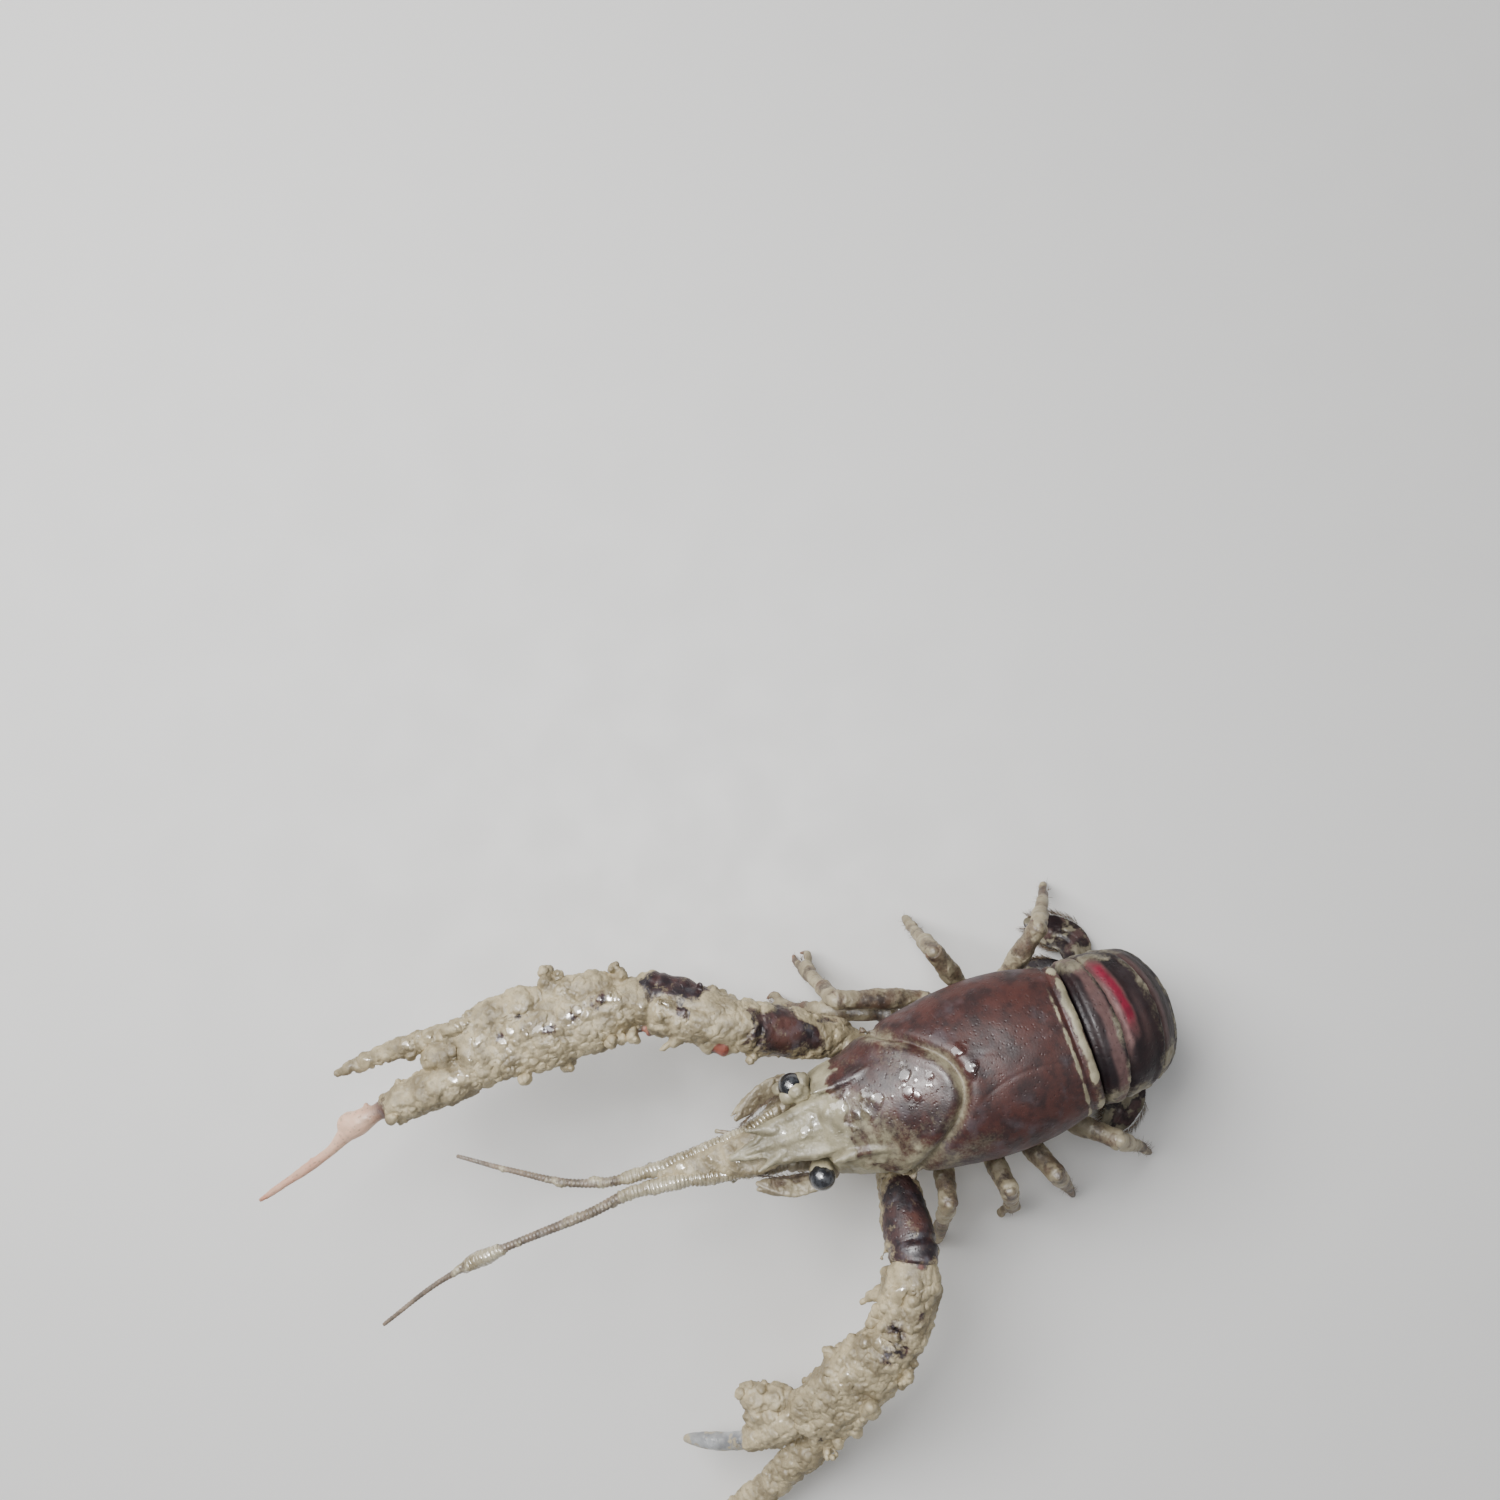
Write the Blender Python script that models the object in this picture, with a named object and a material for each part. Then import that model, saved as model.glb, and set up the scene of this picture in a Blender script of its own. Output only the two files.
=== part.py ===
"""Northern clearwater crayfish, life size, as a still model.

The shell, abdomen plates, tail fan, claws, legs, eyes and feelers are separate closed solids,
set face to face. The animal faces -Y, its left side is +X and the floor is z = 0.
Sizes are in millimetres from the rear of the neck groove: forward, left and up.
"""

import math

import bmesh
import bpy
from mathutils import Vector

MM = 0.001
GAP = 0.3  # between the faces of neighbouring pieces
ROUNDING = 0.55  # how square a rounded block is: 1 is an ellipse

# Shell (carapace) with its rostrum
SHELL_REAR = -12.4
SHELL_FRONT = 13.6
GROOVE_DEPTH = 0.65
GROOVE_SWEEP = 0.14  # how fast the neck groove runs forward down the sides
SHELL_HALF_WIDTH = ((-12.4, 6.9), (-8.0, 8.2), (-1.0, 8.5), (5.0, 7.5), (10.0, 6.0), (13.6, 5.0))
SHELL_TOP = ((-12.4, 21.8), (-6.0, 23.2), (0.0, 23.5), (7.0, 22.8), (13.6, 21.0))
SHELL_BOTTOM = ((-12.4, 14.2), (-8.5, 11.7), (0.0, 11.3), (4.0, 11.7), (8.0, 12.9), (13.6, 13.2))
SHELL_SIDES = 28
SHELL_WIDEST = 0.46  # how high the widest line runs, as a share of the shell's height
SHELL_TUCK = 0.14  # how far the lower edges turn in
SHELL_ROUNDING = 0.62
ROSTRUM_TIP = 23.4
ROSTRUM_SPINES = 19.6
ROSTRUM_HALF_WIDTH = ((14.4, 2.8), (17.0, 2.3), (19.4, 1.85), (20.2, 1.1), (22.0, 0.7), (23.4, 0.3))
ROSTRUM_TOP = ((14.4, 20.8), (19.0, 20.1), (23.4, 19.8))
ROSTRUM_THICKNESS = ((14.4, 2.3), (19.4, 1.5), (23.4, 0.55))
RIDGE = 0.3  # the rostrum's raised edges and keel
RIDGE_WIDTH = 0.16  # as a share of the rostrum's half width

# Spines on each side of the shell: root, sideways lean, radius and height
SHELL_SPINES = (
    ((ROSTRUM_SPINES, 1.55, 19.7), 0.25, 0.42, 1.7),
    ((12.6, 3.1, 20.55), 0.0, 0.5, 1.8),
    ((6.6, 6.85, 18.4), 0.55, 0.5, 1.5),
    ((13.5, 4.3, 15.2), 0.0, 0.45, 1.2),
)

# Abdomen, curled down and under
ABDOMEN_START = (SHELL_REAR - GAP, 21.5)
PLATE_LENGTHS = (3.6, 4.6, 4.8, 4.8, 4.8, 5.2)
PLATE_PITCH = (14.0, 36.0, 60.0, 85.0, 109.0, 136.0)  # degrees below level, heading to the rear
PLATE_HALF_WIDTH = (6.5, 6.9, 6.7, 6.3, 5.8, 5.2, 4.4)
PLATE_DEPTH = (7.4, 7.8, 7.2, 6.4, 5.6, 4.8, 3.6)
PLATE_ARCH = 0.62  # how far down the flanks the arch of a plate ends, as a share of its depth
PLATE_HOLLOW = 0.72  # how deep the belly side lies, as a share of the plate's depth
PLATE_STEP = 0.3  # how far a plate's rear rim stands over the next plate
PLATE_BULGE = 0.25
FLAP_DROP = (1.3, 0.4)  # side flaps of the middle plates, and of the first and last plate
PADDLE = (3.2, 0.55, 0.3)  # length, half width and half thickness of a swimming paddle
PADDLE_LEFT = (2.4, 1.7)  # how far from the middle a paddle's root and tip are
PADDLE_SUNK = 1.2

# Tail fan: it leaves the last plate a little above the floor and lies flat towards its ends
TAIL_LENGTH = 7.8
TAIL_HALF_WIDTH = (2.3, 2.7, 2.8, 2.7, 2.2, 0.9)
TAIL_THICKNESS = 1.0
FAN_INNER = ((3.7, 1.7), (-14.9, 5.4, 0.6), (-10.8, 6.9, 0.4))  # root: left and up; then whole points
FAN_OUTER = (0.8, (-17.6, 8.6, 1.5), (-13.9, 12.0, 0.4))  # root: how far along the last plate
FAN_HALF_WIDTH = (0.8, 1.4, 1.9, 2.0, 1.7, 0.5)
FAN_HALF_THICKNESS = 0.4

# Head
EYE_RADIUS = 1.3
EYE_CENTRE = (15.8, 4.9, 18.9)
STALK_ROOT = (15.5, 3.15, 17.4)
STALK_RADIUS = (0.75, 0.85, 1.0)
FACE = (14.7, 16.3, 12.4, 17.9)  # rear, front, bottom and top of the block below the rostrum
FACE_HALF_WIDTH = (3.5, 2.5)
MOUTH = (9.7, 14.1, 11.6, 12.65)
MOUTH_HALF_WIDTH = (3.4, 2.6)
JAW_FOOT = ((9.4, 1.6, 10.1), (13.5, 1.75, 10.4), (17.2, 1.5, 11.2))
JAW_FOOT_WIDTH = (1.05, 1.15, 0.9, 0.4)
JAW_FOOT_HEIGHT = (0.9, 1.0, 0.8, 0.35)
SHORT_FEELER = ((16.6, 0.75, 16.3), (20.0, 0.8, 15.0), (24.8, 1.2, 13.4))
SHORT_FEELER_RADIUS = (0.55, 0.45, 0.35, 0.25)
SHORT_BRANCH = ((19.4, 0.8, 15.2), (22.0, 1.5, 14.7), (24.4, 2.6, 14.2))
SHORT_BRANCH_RADIUS = (0.38, 0.33, 0.25)
FEELER_ROOT = (16.7, 2.7, 14.6)
FEELER_ROOT_WIDTH = (1.05, 1.1, 0.95, 0.8)
FEELER_ROOT_HEIGHT = (1.05, 1.05, 0.9, 0.75)

# Belly plate, which carries the legs
BELLY = (-9.8, 8.9, 8.4, 10.9)
BELLY_HALF_WIDTH = 3.6
ROOT_LEFT = BELLY_HALF_WIDTH + GAP  # how far out the limbs leave the belly

UPPER_LEG_RADIUS = (1.25, 1.25, 1.0, 1.05, 1.0, 0.85)
LOWER_LEG_RADIUS = (0.85, 0.85, 0.62, 0.6, 0.52, 0.42)
PINCER_LEG_RADIUS = (0.85, 0.85, 0.62, 0.72, 0.62, 0.42)
LEG_SIDES = 8
LIMB_SIDES = 12
PINCER = (4.2, 0.9)  # how far before the foot's end the small moving finger starts and ends
PINCER_RADIUS = (0.4, 0.42, 0.25)
PINCER_OPEN = (0.35, 1.15, 0.5)  # sideways at its start, its end and its bend

# Where each walking leg leaves the belly, its ischium's end, its knee and its foot
LEGS = {
    "leg_2_right": ((3.3, -ROOT_LEFT, 9.4), (4.3, -8.1, 8.4), (10.6, -10.4, 8.6), (16.6, -13.0, 0.0)),
    "leg_2_left": ((3.3, ROOT_LEFT, 9.4), (3.9, 7.8, 9.3), (4.9, 11.6, 13.2), (7.6, 16.8, 0.0)),
    "leg_3_right": ((-0.4, -ROOT_LEFT, 9.4), (0.4, -8.2, 9.5), (8.9, -10.9, 13.4), (11.6, -17.0, 0.0)),
    "leg_3_left": ((-0.4, ROOT_LEFT, 9.4), (-0.9, 8.2, 9.5), (-1.2, 12.2, 14.0), (-1.6, 16.2, 0.0)),
    "leg_4_right": ((-4.2, -ROOT_LEFT, 9.4), (-3.8, -8.2, 9.5), (-2.2, -12.3, 14.0), (-1.3, -17.0, 0.0)),
    "leg_4_left": ((-4.2, ROOT_LEFT, 9.4), (-4.6, 8.2, 9.5), (-6.2, 12.3, 14.0), (-8.4, 16.6, 0.0)),
    "leg_5_right": ((-7.9, -ROOT_LEFT, 9.4), (-9.2, -7.8, 9.4), (-13.2, -11.2, 13.4), (-17.4, -15.4, 0.0)),
    "leg_5_left": ((-7.9, ROOT_LEFT, 9.4), (-9.2, 7.8, 9.4), (-13.2, 11.2, 13.4), (-17.8, 15.0, 0.0)),
}
PINCER_LEGS = ("leg_2", "leg_3")

# Claw limbs: belly root, shoulder, elbow, wrist and the far end of the palm
CLAW_JOINTS = {
    "right": (
        (7.2, -ROOT_LEFT, 10.2),
        (9.9, -7.0, 10.9),
        (18.6, -11.7, 16.6),
        (27.3, -17.3, 16.8),
        (45.2, -17.8, 16.8),
    ),
    "left": (
        (7.2, ROOT_LEFT, 10.2),
        (8.8, 7.6, 10.9),
        (9.9, 15.2, 15.2),
        (13.7, 21.6, 13.8),
        (24.7, 27.6, 8.9),
    ),
}
CLAW_UP = {"right": (-0.1, -0.15, 1.0), "left": (0.35, 0.15, 1.0)}
CLAW_BASE_RADIUS = (1.7, 1.9)
ARM_WIDTH = (1.9, 2.2, 2.565, 2.7, 2.565)
ARM_HEIGHT = (1.9, 2.3, 2.415, 2.3)
WRIST_WIDTH = (2.565, 3.0, 3.1, 2.9, 2.4)
WRIST_HEIGHT = (2.3, 2.6, 2.6, 2.3)
PALM_WIDTH = (2.4, 3.5, 3.8, 3.8, 3.3)
PALM_HEIGHT = (2.2, 2.5, 2.5, 2.375, 2.1)
FIXED_FINGER_WIDTH = (1.6, 1.6, 1.35, 1.0, 0.4)
FIXED_FINGER_HEIGHT = (1.6, 1.5, 1.28, 0.9, 0.4)
FIXED_FINGER = {
    "right": ((51.7, -20.7, 16.4), (58.9, -20.4, 15.9)),
    "left": ((31.0, 32.7, 4.9), (39.6, 35.6, 1.6)),
}
MOVING_FINGER = {
    "right": ((53.8, -15.6, 16.2), (58.6, -14.9, 15.6), (62.5, -13.1, 15.0), (70.6, -11.0, 13.6)),
    "left": ((30.4, 24.9, 8.4), (34.2, 25.8, 6.2), (38.4, 27.2, 4.0)),
}
MOVING_FINGER_RADIUS = {"right": (1.65, 1.7, 1.35, 0.65, 0.3), "left": (1.35, 1.6, 1.15, 0.4)}
MOVING_FINGER_FLATNESS = 0.92
MOVING_FINGER_GAP = 0.7
FINGER_OFFSET = (1.9, 2.0)  # the fixed and the moving finger's root from the middle of the palm's end
TOOTH = (0.45, 0.5)  # radius and height of the grip teeth along the fingers
TEETH = 6
PALM_TUBERCLE = (0.5, 0.7)  # radius and height of the knobs along the palm's inner edge
PALM_TUBERCLES = 5

# Spines of the claw limbs. Place: how far back from the elbow, or along the wrist from its middle;
# upward; toward the body's middle. Then heading the same way, radius and height
ARM_SPINES = (
    ((-2.2, 1.9, -0.6), (1.0, 0.5, 0.0), 0.45, 1.2),
    ((-4.6, 2.0, 0.0), (1.0, 0.5, 0.0), 0.4, 1.0),
    ((-2.2, 0.0, 2.0), (0.4, 0.0, 1.0), 0.55, 1.5),
)
WRIST_SPINES = (
    ((0.0, 0.0, 2.7), (0.6, 0.0, 1.0), 0.6, 1.7),
    ((2.2, 0.0, 2.2), (0.5, 0.0, 1.0), 0.45, 1.0),
    ((0.0, 2.3, 0.0), (0.4, 1.0, 0.0), 0.5, 0.9),
)
WRIST_SPINES_PLACE = 0.55  # along the wrist

# Feelers
FEELER = {
    "left": (
        (18.4, 2.5, 15.7),
        (22.6, 1.75, 16.9),
        (32.9, 0.15, 17.5),
        (38.6, 0.7, 17.0),
        (48.3, 1.3, 15.2),
        (55.4, 2.4, 13.6),
        (62.6, 4.7, 11.6),
    ),
    "right": (
        (18.4, -2.5, 15.7),
        (22.6, -1.55, 16.3),
        (32.8, -1.25, 16.8),
        (38.9, -2.4, 16.2),
        (45.2, -5.6, 14.2),
        (50.6, -8.6, 11.6),
    ),
}
FEELER_SPLIT = {"left": 38.6, "right": 38.9}
FEELER_RADIUS = (0.62, 0.27)
SCALE_BLADE = ((15.7, 4.9, 16.0), (18.6, 4.6, 16.9), (21.8, 3.2, 17.5))
SCALE_WIDTH = (0.6, 1.0, 1.0, 0.8, 0.3)
SCALE_THICKNESS = (0.45, 0.35, 0.3, 0.3, 0.25)

COLOURS = {
    "shell": ((0.11, 0.045, 0.04, 1.0), 0.35),
    "mud": ((0.46, 0.38, 0.27, 1.0), 0.45),
    "plates": ((0.06, 0.035, 0.03, 1.0), 0.4),
    "horn": ((0.55, 0.33, 0.24, 1.0), 0.4),
    "legs": ((0.27, 0.2, 0.15, 1.0), 0.5),
    "eyes": ((0.012, 0.012, 0.014, 1.0), 0.12),
}


def at(forward, left, up):
    """A point of the body, in metres."""
    return Vector((left, -forward, up)) * MM


def along(stations, place):
    """A size read between named stations, eased so that the outline stays smooth."""
    if place <= stations[0][0]:
        return stations[0][1]
    for (start, first), (end, second) in zip(stations, stations[1:]):
        if place <= end:
            part = (place - start) / (end - start)
            eased = part + 0.25 * math.sin(2 * math.pi * part) / -math.pi
            return first + (second - first) * eased
    return stations[-1][1]


def between(sizes, part):
    """A size read along a run of even stations, part being 0 to 1."""
    place = part * (len(sizes) - 1)
    index = min(int(place), len(sizes) - 2)
    return sizes[index] + (sizes[index + 1] - sizes[index]) * (place - index)


def curve_through(points, count):
    """Even points on a smooth curve through the given ones."""
    if len(points) == 2:
        return [points[0].lerp(points[1], i / (count - 1)) for i in range(count)]
    ends = [points[0] * 2 - points[1]] + list(points) + [points[-1] * 2 - points[-2]]
    fine = []
    steps = 12
    for a, b, c, d in zip(ends, ends[1:], ends[2:], ends[3:]):
        for step in range(steps):
            t = step / steps
            square = t * t
            cube = square * t
            fine.append(
                0.5 * (2 * b + (c - a) * t + (2 * a - 5 * b + 4 * c - d) * square
                       + (3 * b - a - 3 * c + d) * cube)
            )
    fine.append(points[-1].copy())
    lengths = [0.0]
    for first, second in zip(fine, fine[1:]):
        lengths.append(lengths[-1] + (second - first).length)
    result = []
    index = 0
    for i in range(count):
        target = lengths[-1] * i / (count - 1)
        while index < len(fine) - 2 and lengths[index + 1] < target:
            index += 1
        run = max(lengths[index + 1] - lengths[index], 1e-12)
        result.append(fine[index].lerp(fine[index + 1], min(1.0, (target - lengths[index]) / run)))
    return result


def material(name):
    """The surface of one kind of piece."""
    found = bpy.data.materials.get(name)
    if found:
        return found
    colour, roughness = COLOURS[name]
    made = bpy.data.materials.new(name)
    made.use_nodes = True
    shader = made.node_tree.nodes["Principled BSDF"]
    shader.inputs["Base Color"].default_value = colour
    shader.inputs["Roughness"].default_value = roughness
    shader.inputs["Metallic"].default_value = 0.0
    made.diffuse_color = colour
    return made


def solid(name, rings, kind, collection):
    """A closed loft through rings of points, with its origin at the middle of the first ring."""
    origin = sum(rings[0], Vector()) / len(rings[0])
    mesh = bpy.data.meshes.new(name)
    form = bmesh.new()
    rows = [[form.verts.new(point - origin) for point in ring] for ring in rings]
    sides = len(rows[0])
    for first, second in zip(rows, rows[1:]):
        for i in range(sides):
            j = (i + 1) % sides
            form.faces.new((first[i], first[j], second[j], second[i]))
    form.faces.new(rows[0][::-1])
    form.faces.new(rows[-1])
    bmesh.ops.triangulate(form, faces=form.faces[:])
    if form.calc_volume(signed=True) < 0:
        bmesh.ops.reverse_faces(form, faces=form.faces[:])
    form.to_mesh(mesh)
    form.free()
    mesh.shade_smooth()
    mesh.set_sharp_from_angle(angle=math.radians(50))
    piece = bpy.data.objects.new(name, mesh)
    piece.location = origin
    mesh.materials.append(material(kind))
    collection.objects.link(piece)
    return piece


def tube_rings(path, widths, heights, up, sides, start_face=None, end_face=None):
    """Rings round a path; the first and last lie in the faces that the neighbours share."""
    count = len(path)
    side = None
    rings = []
    travelled = [0.0]
    for first, second in zip(path, path[1:]):
        travelled.append(travelled[-1] + (second - first).length)
    for k, centre in enumerate(path):
        heading = (path[min(k + 1, count - 1)] - path[max(k - 1, 0)]).normalized()
        if side is None:
            side = heading.cross(up).normalized()
        side = (side - heading * side.dot(heading)).normalized()
        over = side.cross(heading).normalized()
        part = travelled[k] / travelled[-1]
        half_width = between(widths, part) * MM
        half_height = between(heights, part) * MM
        ring = []
        reach = 2.4 * max(half_width, half_height)
        tilt = heading.copy()
        for face, distance in ((start_face, travelled[k]), (end_face, travelled[-1] - travelled[k])):
            if face is not None and distance < reach:
                share = (1 - distance / reach) ** 0.7
                tilt = tilt * (1 - share) + face.normalized() * share
        tilt.normalize()
        for i in range(sides):
            angle = 2 * math.pi * i / sides
            offset = side * half_width * math.sin(angle) + over * half_height * math.cos(angle)
            slide = offset.dot(tilt) / max(heading.dot(tilt), 0.35)
            ring.append(centre + offset - heading * slide)
        rings.append(ring)
    return rings


def cone(centre, heading, radius, height, sides=6):
    """The rings of a spine, its root sunk well in."""
    heading = heading.normalized()
    side = heading.orthogonal().normalized()
    over = side.cross(heading)
    rings = []
    for distance, part in ((-0.9 * height, 1.25), (0.0, 1.0), (0.55 * height, 0.55), (height, 0.12)):
        middle = centre + heading * distance * MM
        rings.append([
            middle + (side * math.cos(2 * math.pi * i / sides) + over * math.sin(2 * math.pi * i / sides))
            * radius * part * MM
            for i in range(sides)
        ])
    return rings


def keep_largest(mesh):
    """Leaves only the largest closed surface of a mesh."""
    form = bmesh.new()
    form.from_mesh(mesh)
    left = set(form.verts)
    groups = []
    while left:
        group = set()
        edge = {left.pop()}
        while edge:
            vertex = edge.pop()
            group.add(vertex)
            for link in vertex.link_edges:
                other = link.other_vert(vertex)
                if other in left:
                    left.discard(other)
                    edge.add(other)
        groups.append(group)
    largest = max(groups, key=len)
    loose = [vertex for group in groups if group is not largest for vertex in group]
    bmesh.ops.delete(form, geom=loose, context="VERTS")
    form.to_mesh(mesh)
    form.free()


def fuse(piece, forms, cutters):
    """Joins closed forms to a piece with one union."""
    group = bpy.data.collections.new(piece.name + "_forms")
    cutters.children.link(group)
    made = []
    for index, rings in enumerate(forms):
        form = solid(f"{piece.name}_form_{index}", rings, "horn", group)
        form.hide_render = True
        form.display_type = "WIRE"
        made.append(form)
    join = piece.modifiers.new("join", "BOOLEAN")
    join.operation = "UNION"
    join.operand_type = "COLLECTION"
    join.collection = group
    join.solver = "EXACT"
    bpy.context.view_layer.update()
    graph = bpy.context.evaluated_depsgraph_get()
    joined = bpy.data.meshes.new_from_object(piece.evaluated_get(graph))
    piece.modifiers.clear()
    old = piece.data
    piece.data = joined
    kept = old.materials[0]
    joined.materials.clear()
    joined.materials.append(kept)
    bpy.data.meshes.remove(old)
    for form in made:
        bpy.data.objects.remove(form)
    bpy.data.collections.remove(group)
    keep_largest(joined)
    joined.name = piece.name


def shell_ring(nominal, sweep, half_width=None, bottom=None, inset=0.0):
    """One ring of the shell. The groove's sweep pushes the points of its sides forward."""
    ring = []
    for i in range(SHELL_SIDES):
        angle = 2 * math.pi * i / SHELL_SIDES
        width = half_width or along(SHELL_HALF_WIDTH, nominal)
        side = math.sin(angle)
        across = width * (side if math.cos(angle) > 0 else math.copysign(1.0, side))
        if abs(side) < 1e-9 and math.cos(angle) < 0:
            across = width
        forward = nominal + sweep * GROOVE_SWEEP * min(abs(across), 7.4) ** 2
        width = half_width or along(SHELL_HALF_WIDTH, forward)
        top = along(SHELL_TOP, forward)
        low = bottom if bottom is not None else along(SHELL_BOTTOM, forward)
        middle = low + SHELL_WIDEST * (top - low)
        if math.cos(angle) >= 0:
            left = (width - inset) * side
            up = middle + (top - inset - middle) * math.cos(angle)
        else:
            tuck = 1 - SHELL_TUCK * math.cos(angle) ** 2
            left = (width - inset) * math.copysign(abs(side) ** SHELL_ROUNDING, side) * tuck
            up = middle - (middle - low) * abs(math.cos(angle)) ** SHELL_ROUNDING
        ring.append(at(forward, left, up))
    return ring


def rostrum_ring(forward):
    """One ring of the beak, with raised edges and a low keel."""
    half_width = along(ROSTRUM_HALF_WIDTH, forward)
    top = along(ROSTRUM_TOP, forward)
    thickness = along(ROSTRUM_THICKNESS, forward)
    fade = max(0.0, min(1.0, (ROSTRUM_TIP - forward) / 3.0))
    ring = []
    for i in range(SHELL_SIDES):
        angle = 2 * math.pi * i / SHELL_SIDES
        side = math.sin(angle)
        height = math.cos(angle)
        up = top - thickness / 2 + thickness / 2 * math.copysign(abs(height) ** 0.7, height)
        if height > 0:
            edge = math.exp(-(((abs(side) - 0.9) / RIDGE_WIDTH) ** 2))
            keel = math.exp(-((side / RIDGE_WIDTH) ** 2))
            up += RIDGE * fade * (edge + keel - 0.5)
        ring.append(at(forward, half_width * side, up))
    return ring


def make_shell(model, cutters):
    """The shell: thorax, neck groove, head and beak in one piece."""
    rings = [shell_ring(SHELL_REAR, 0.0, inset=0.35)]
    stations = (-11.8, -10.0, -7.6, -5.0, -2.6, -1.0, 0.0, 1.0, 3.0, 5.4, 8.0, 10.6, 12.6, 13.6)
    for nominal in stations:
        if nominal < 0:
            sweep = (nominal - SHELL_REAR) / -SHELL_REAR
        else:
            sweep = 1 - nominal / SHELL_FRONT
        inset = GROOVE_DEPTH if nominal == 0.0 else 0.0
        rings.append(shell_ring(nominal, sweep, inset=inset))
    rings.append(shell_ring(14.0, 0.0, half_width=4.2, bottom=15.2))
    rings += [rostrum_ring(place) for place in (14.4, 15.8, 17.4, 18.8, 19.6, 20.3, 21.3, 22.4, ROSTRUM_TIP)]
    shell = solid("carapace", rings, "shell", model)
    spines = [
        cone(at(forward, side * left, up), at(1, side * lean, 0.2 * lean), radius, height)
        for (forward, left, up), lean, radius, height in SHELL_SPINES
        for side in (-1, 1)
    ]
    fuse(shell, spines, cutters)


def box_rings(rear, front, bottom, top, rear_half, front_half, sides=12, steps=3):
    """Rounded block rings along the body's middle."""
    rings = []
    for k in range(steps):
        part = k / (steps - 1)
        half = rear_half + (front_half - rear_half) * part
        middle = (bottom + top) / 2
        ring = []
        for i in range(sides):
            angle = 2 * math.pi * (i + 0.5) / sides
            across, over = math.sin(angle), math.cos(angle)
            left = half * math.copysign(abs(across) ** ROUNDING, across)
            up = middle + (top - bottom) / 2 * math.copysign(abs(over) ** ROUNDING, over)
            ring.append(at(rear + (front - rear) * part, left, up))
        rings.append(ring)
    return rings


def ball_rings(centre, axis, radius, sides=12, steps=9):
    """Rings of a ball, from its pole at the rear of the axis to the one in front."""
    side = axis.orthogonal().normalized()
    over = side.cross(axis)
    rings = []
    for k in range(steps):
        angle = math.pi * (0.06 + 0.88 * k / (steps - 1))
        middle = centre - axis * radius * math.cos(angle) * MM
        reach = radius * math.sin(angle) * MM
        turns = [2 * math.pi * i / sides for i in range(sides)]
        rings.append([middle + (side * math.cos(turn) + over * math.sin(turn)) * reach for turn in turns])
    return rings


def make_head(model, cutters):
    """The face block, mouth, eyes on their stalks, jaw feet, feeler scales and short feelers."""
    up = at(0, 0, 1)
    solid("face", box_rings(*FACE, *FACE_HALF_WIDTH), "legs", model)
    solid("mouth", box_rings(*MOUTH, *MOUTH_HALF_WIDTH), "legs", model)
    for name, side in (("left", 1), ("right", -1)):

        def here(points):
            """The points of one side."""
            return [at(forward, side * left, height) for forward, left, height in points]

        root, centre = here((STALK_ROOT, EYE_CENTRE))
        stalk = tube_rings(curve_through([root, centre], 4), STALK_RADIUS, STALK_RADIUS, at(1, 0, 0), 10)
        eye = solid("eye_" + name, stalk, "eyes", model)
        fuse(eye, [ball_rings(centre, (centre - root).normalized(), EYE_RADIUS)], cutters)
        jaw = tube_rings(curve_through(here(JAW_FOOT), 7), JAW_FOOT_WIDTH, JAW_FOOT_HEIGHT, up, 8)
        solid("jaw_foot_" + name, jaw, "legs", model)
        blade = tube_rings(curve_through(here(SCALE_BLADE), 8), SCALE_WIDTH, SCALE_THICKNESS,
                           at(0, side * -0.5, 1), 8)
        solid("antenna_scale_" + name, blade, "horn", model)
        short = tube_rings(curve_through(here(SHORT_FEELER), 8), SHORT_FEELER_RADIUS, SHORT_FEELER_RADIUS,
                           up, 6, start_face=at(1, 0, 0))
        piece = solid("antennule_" + name, short, "horn", model)
        branch = tube_rings(curve_through(here(SHORT_BRANCH), 6), SHORT_BRANCH_RADIUS, SHORT_BRANCH_RADIUS,
                            up, 6)
        fuse(piece, [branch], cutters)


def make_feelers(model):
    """Each long feeler: its thick root, then the lash in two lengths."""
    for name, points in FEELER.items():
        side = 1 if name == "left" else -1
        root = at(FEELER_ROOT[0], side * FEELER_ROOT[1], FEELER_ROOT[2])
        way = [at(*point) for point in points]
        split = [point[0] for point in points].index(FEELER_SPLIT[name])
        line = curve_through(way, 61)
        joint = min(range(61), key=lambda k: (line[k] - way[split]).length)
        root_face = (line[1] - line[0]).normalized()
        joint_face = (line[joint + 1] - line[joint - 1]).normalized()
        half_gap = GAP / 2 * MM
        stem = curve_through([root, way[0] - root_face * half_gap], 5)
        solid("feeler_root_" + name,
              tube_rings(stem, FEELER_ROOT_WIDTH, FEELER_ROOT_HEIGHT, at(0, 0, 1), 10,
                         start_face=at(1, 0, 0), end_face=root_face),
              "legs", model)
        near = [way[0] + root_face * half_gap] + line[2:joint - 1] + [line[joint] - joint_face * half_gap]
        far = [line[joint] + joint_face * half_gap] + line[joint + 2:]
        total = len(near) + len(far)
        first, last = FEELER_RADIUS
        turn = first + (last - first) * len(near) / total
        near = curve_through(near, 10)
        far = curve_through(far, 10)
        solid("feeler_lash_" + name, tube_rings(near, (first, turn), (first, turn), at(0, 0, 1), 8,
                                                end_face=joint_face), "mud", model)
        solid("feeler_tip_" + name, tube_rings(far, (turn, last), (turn, last), at(0, 0, 1), 8,
                                               start_face=joint_face), "mud", model)


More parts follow.
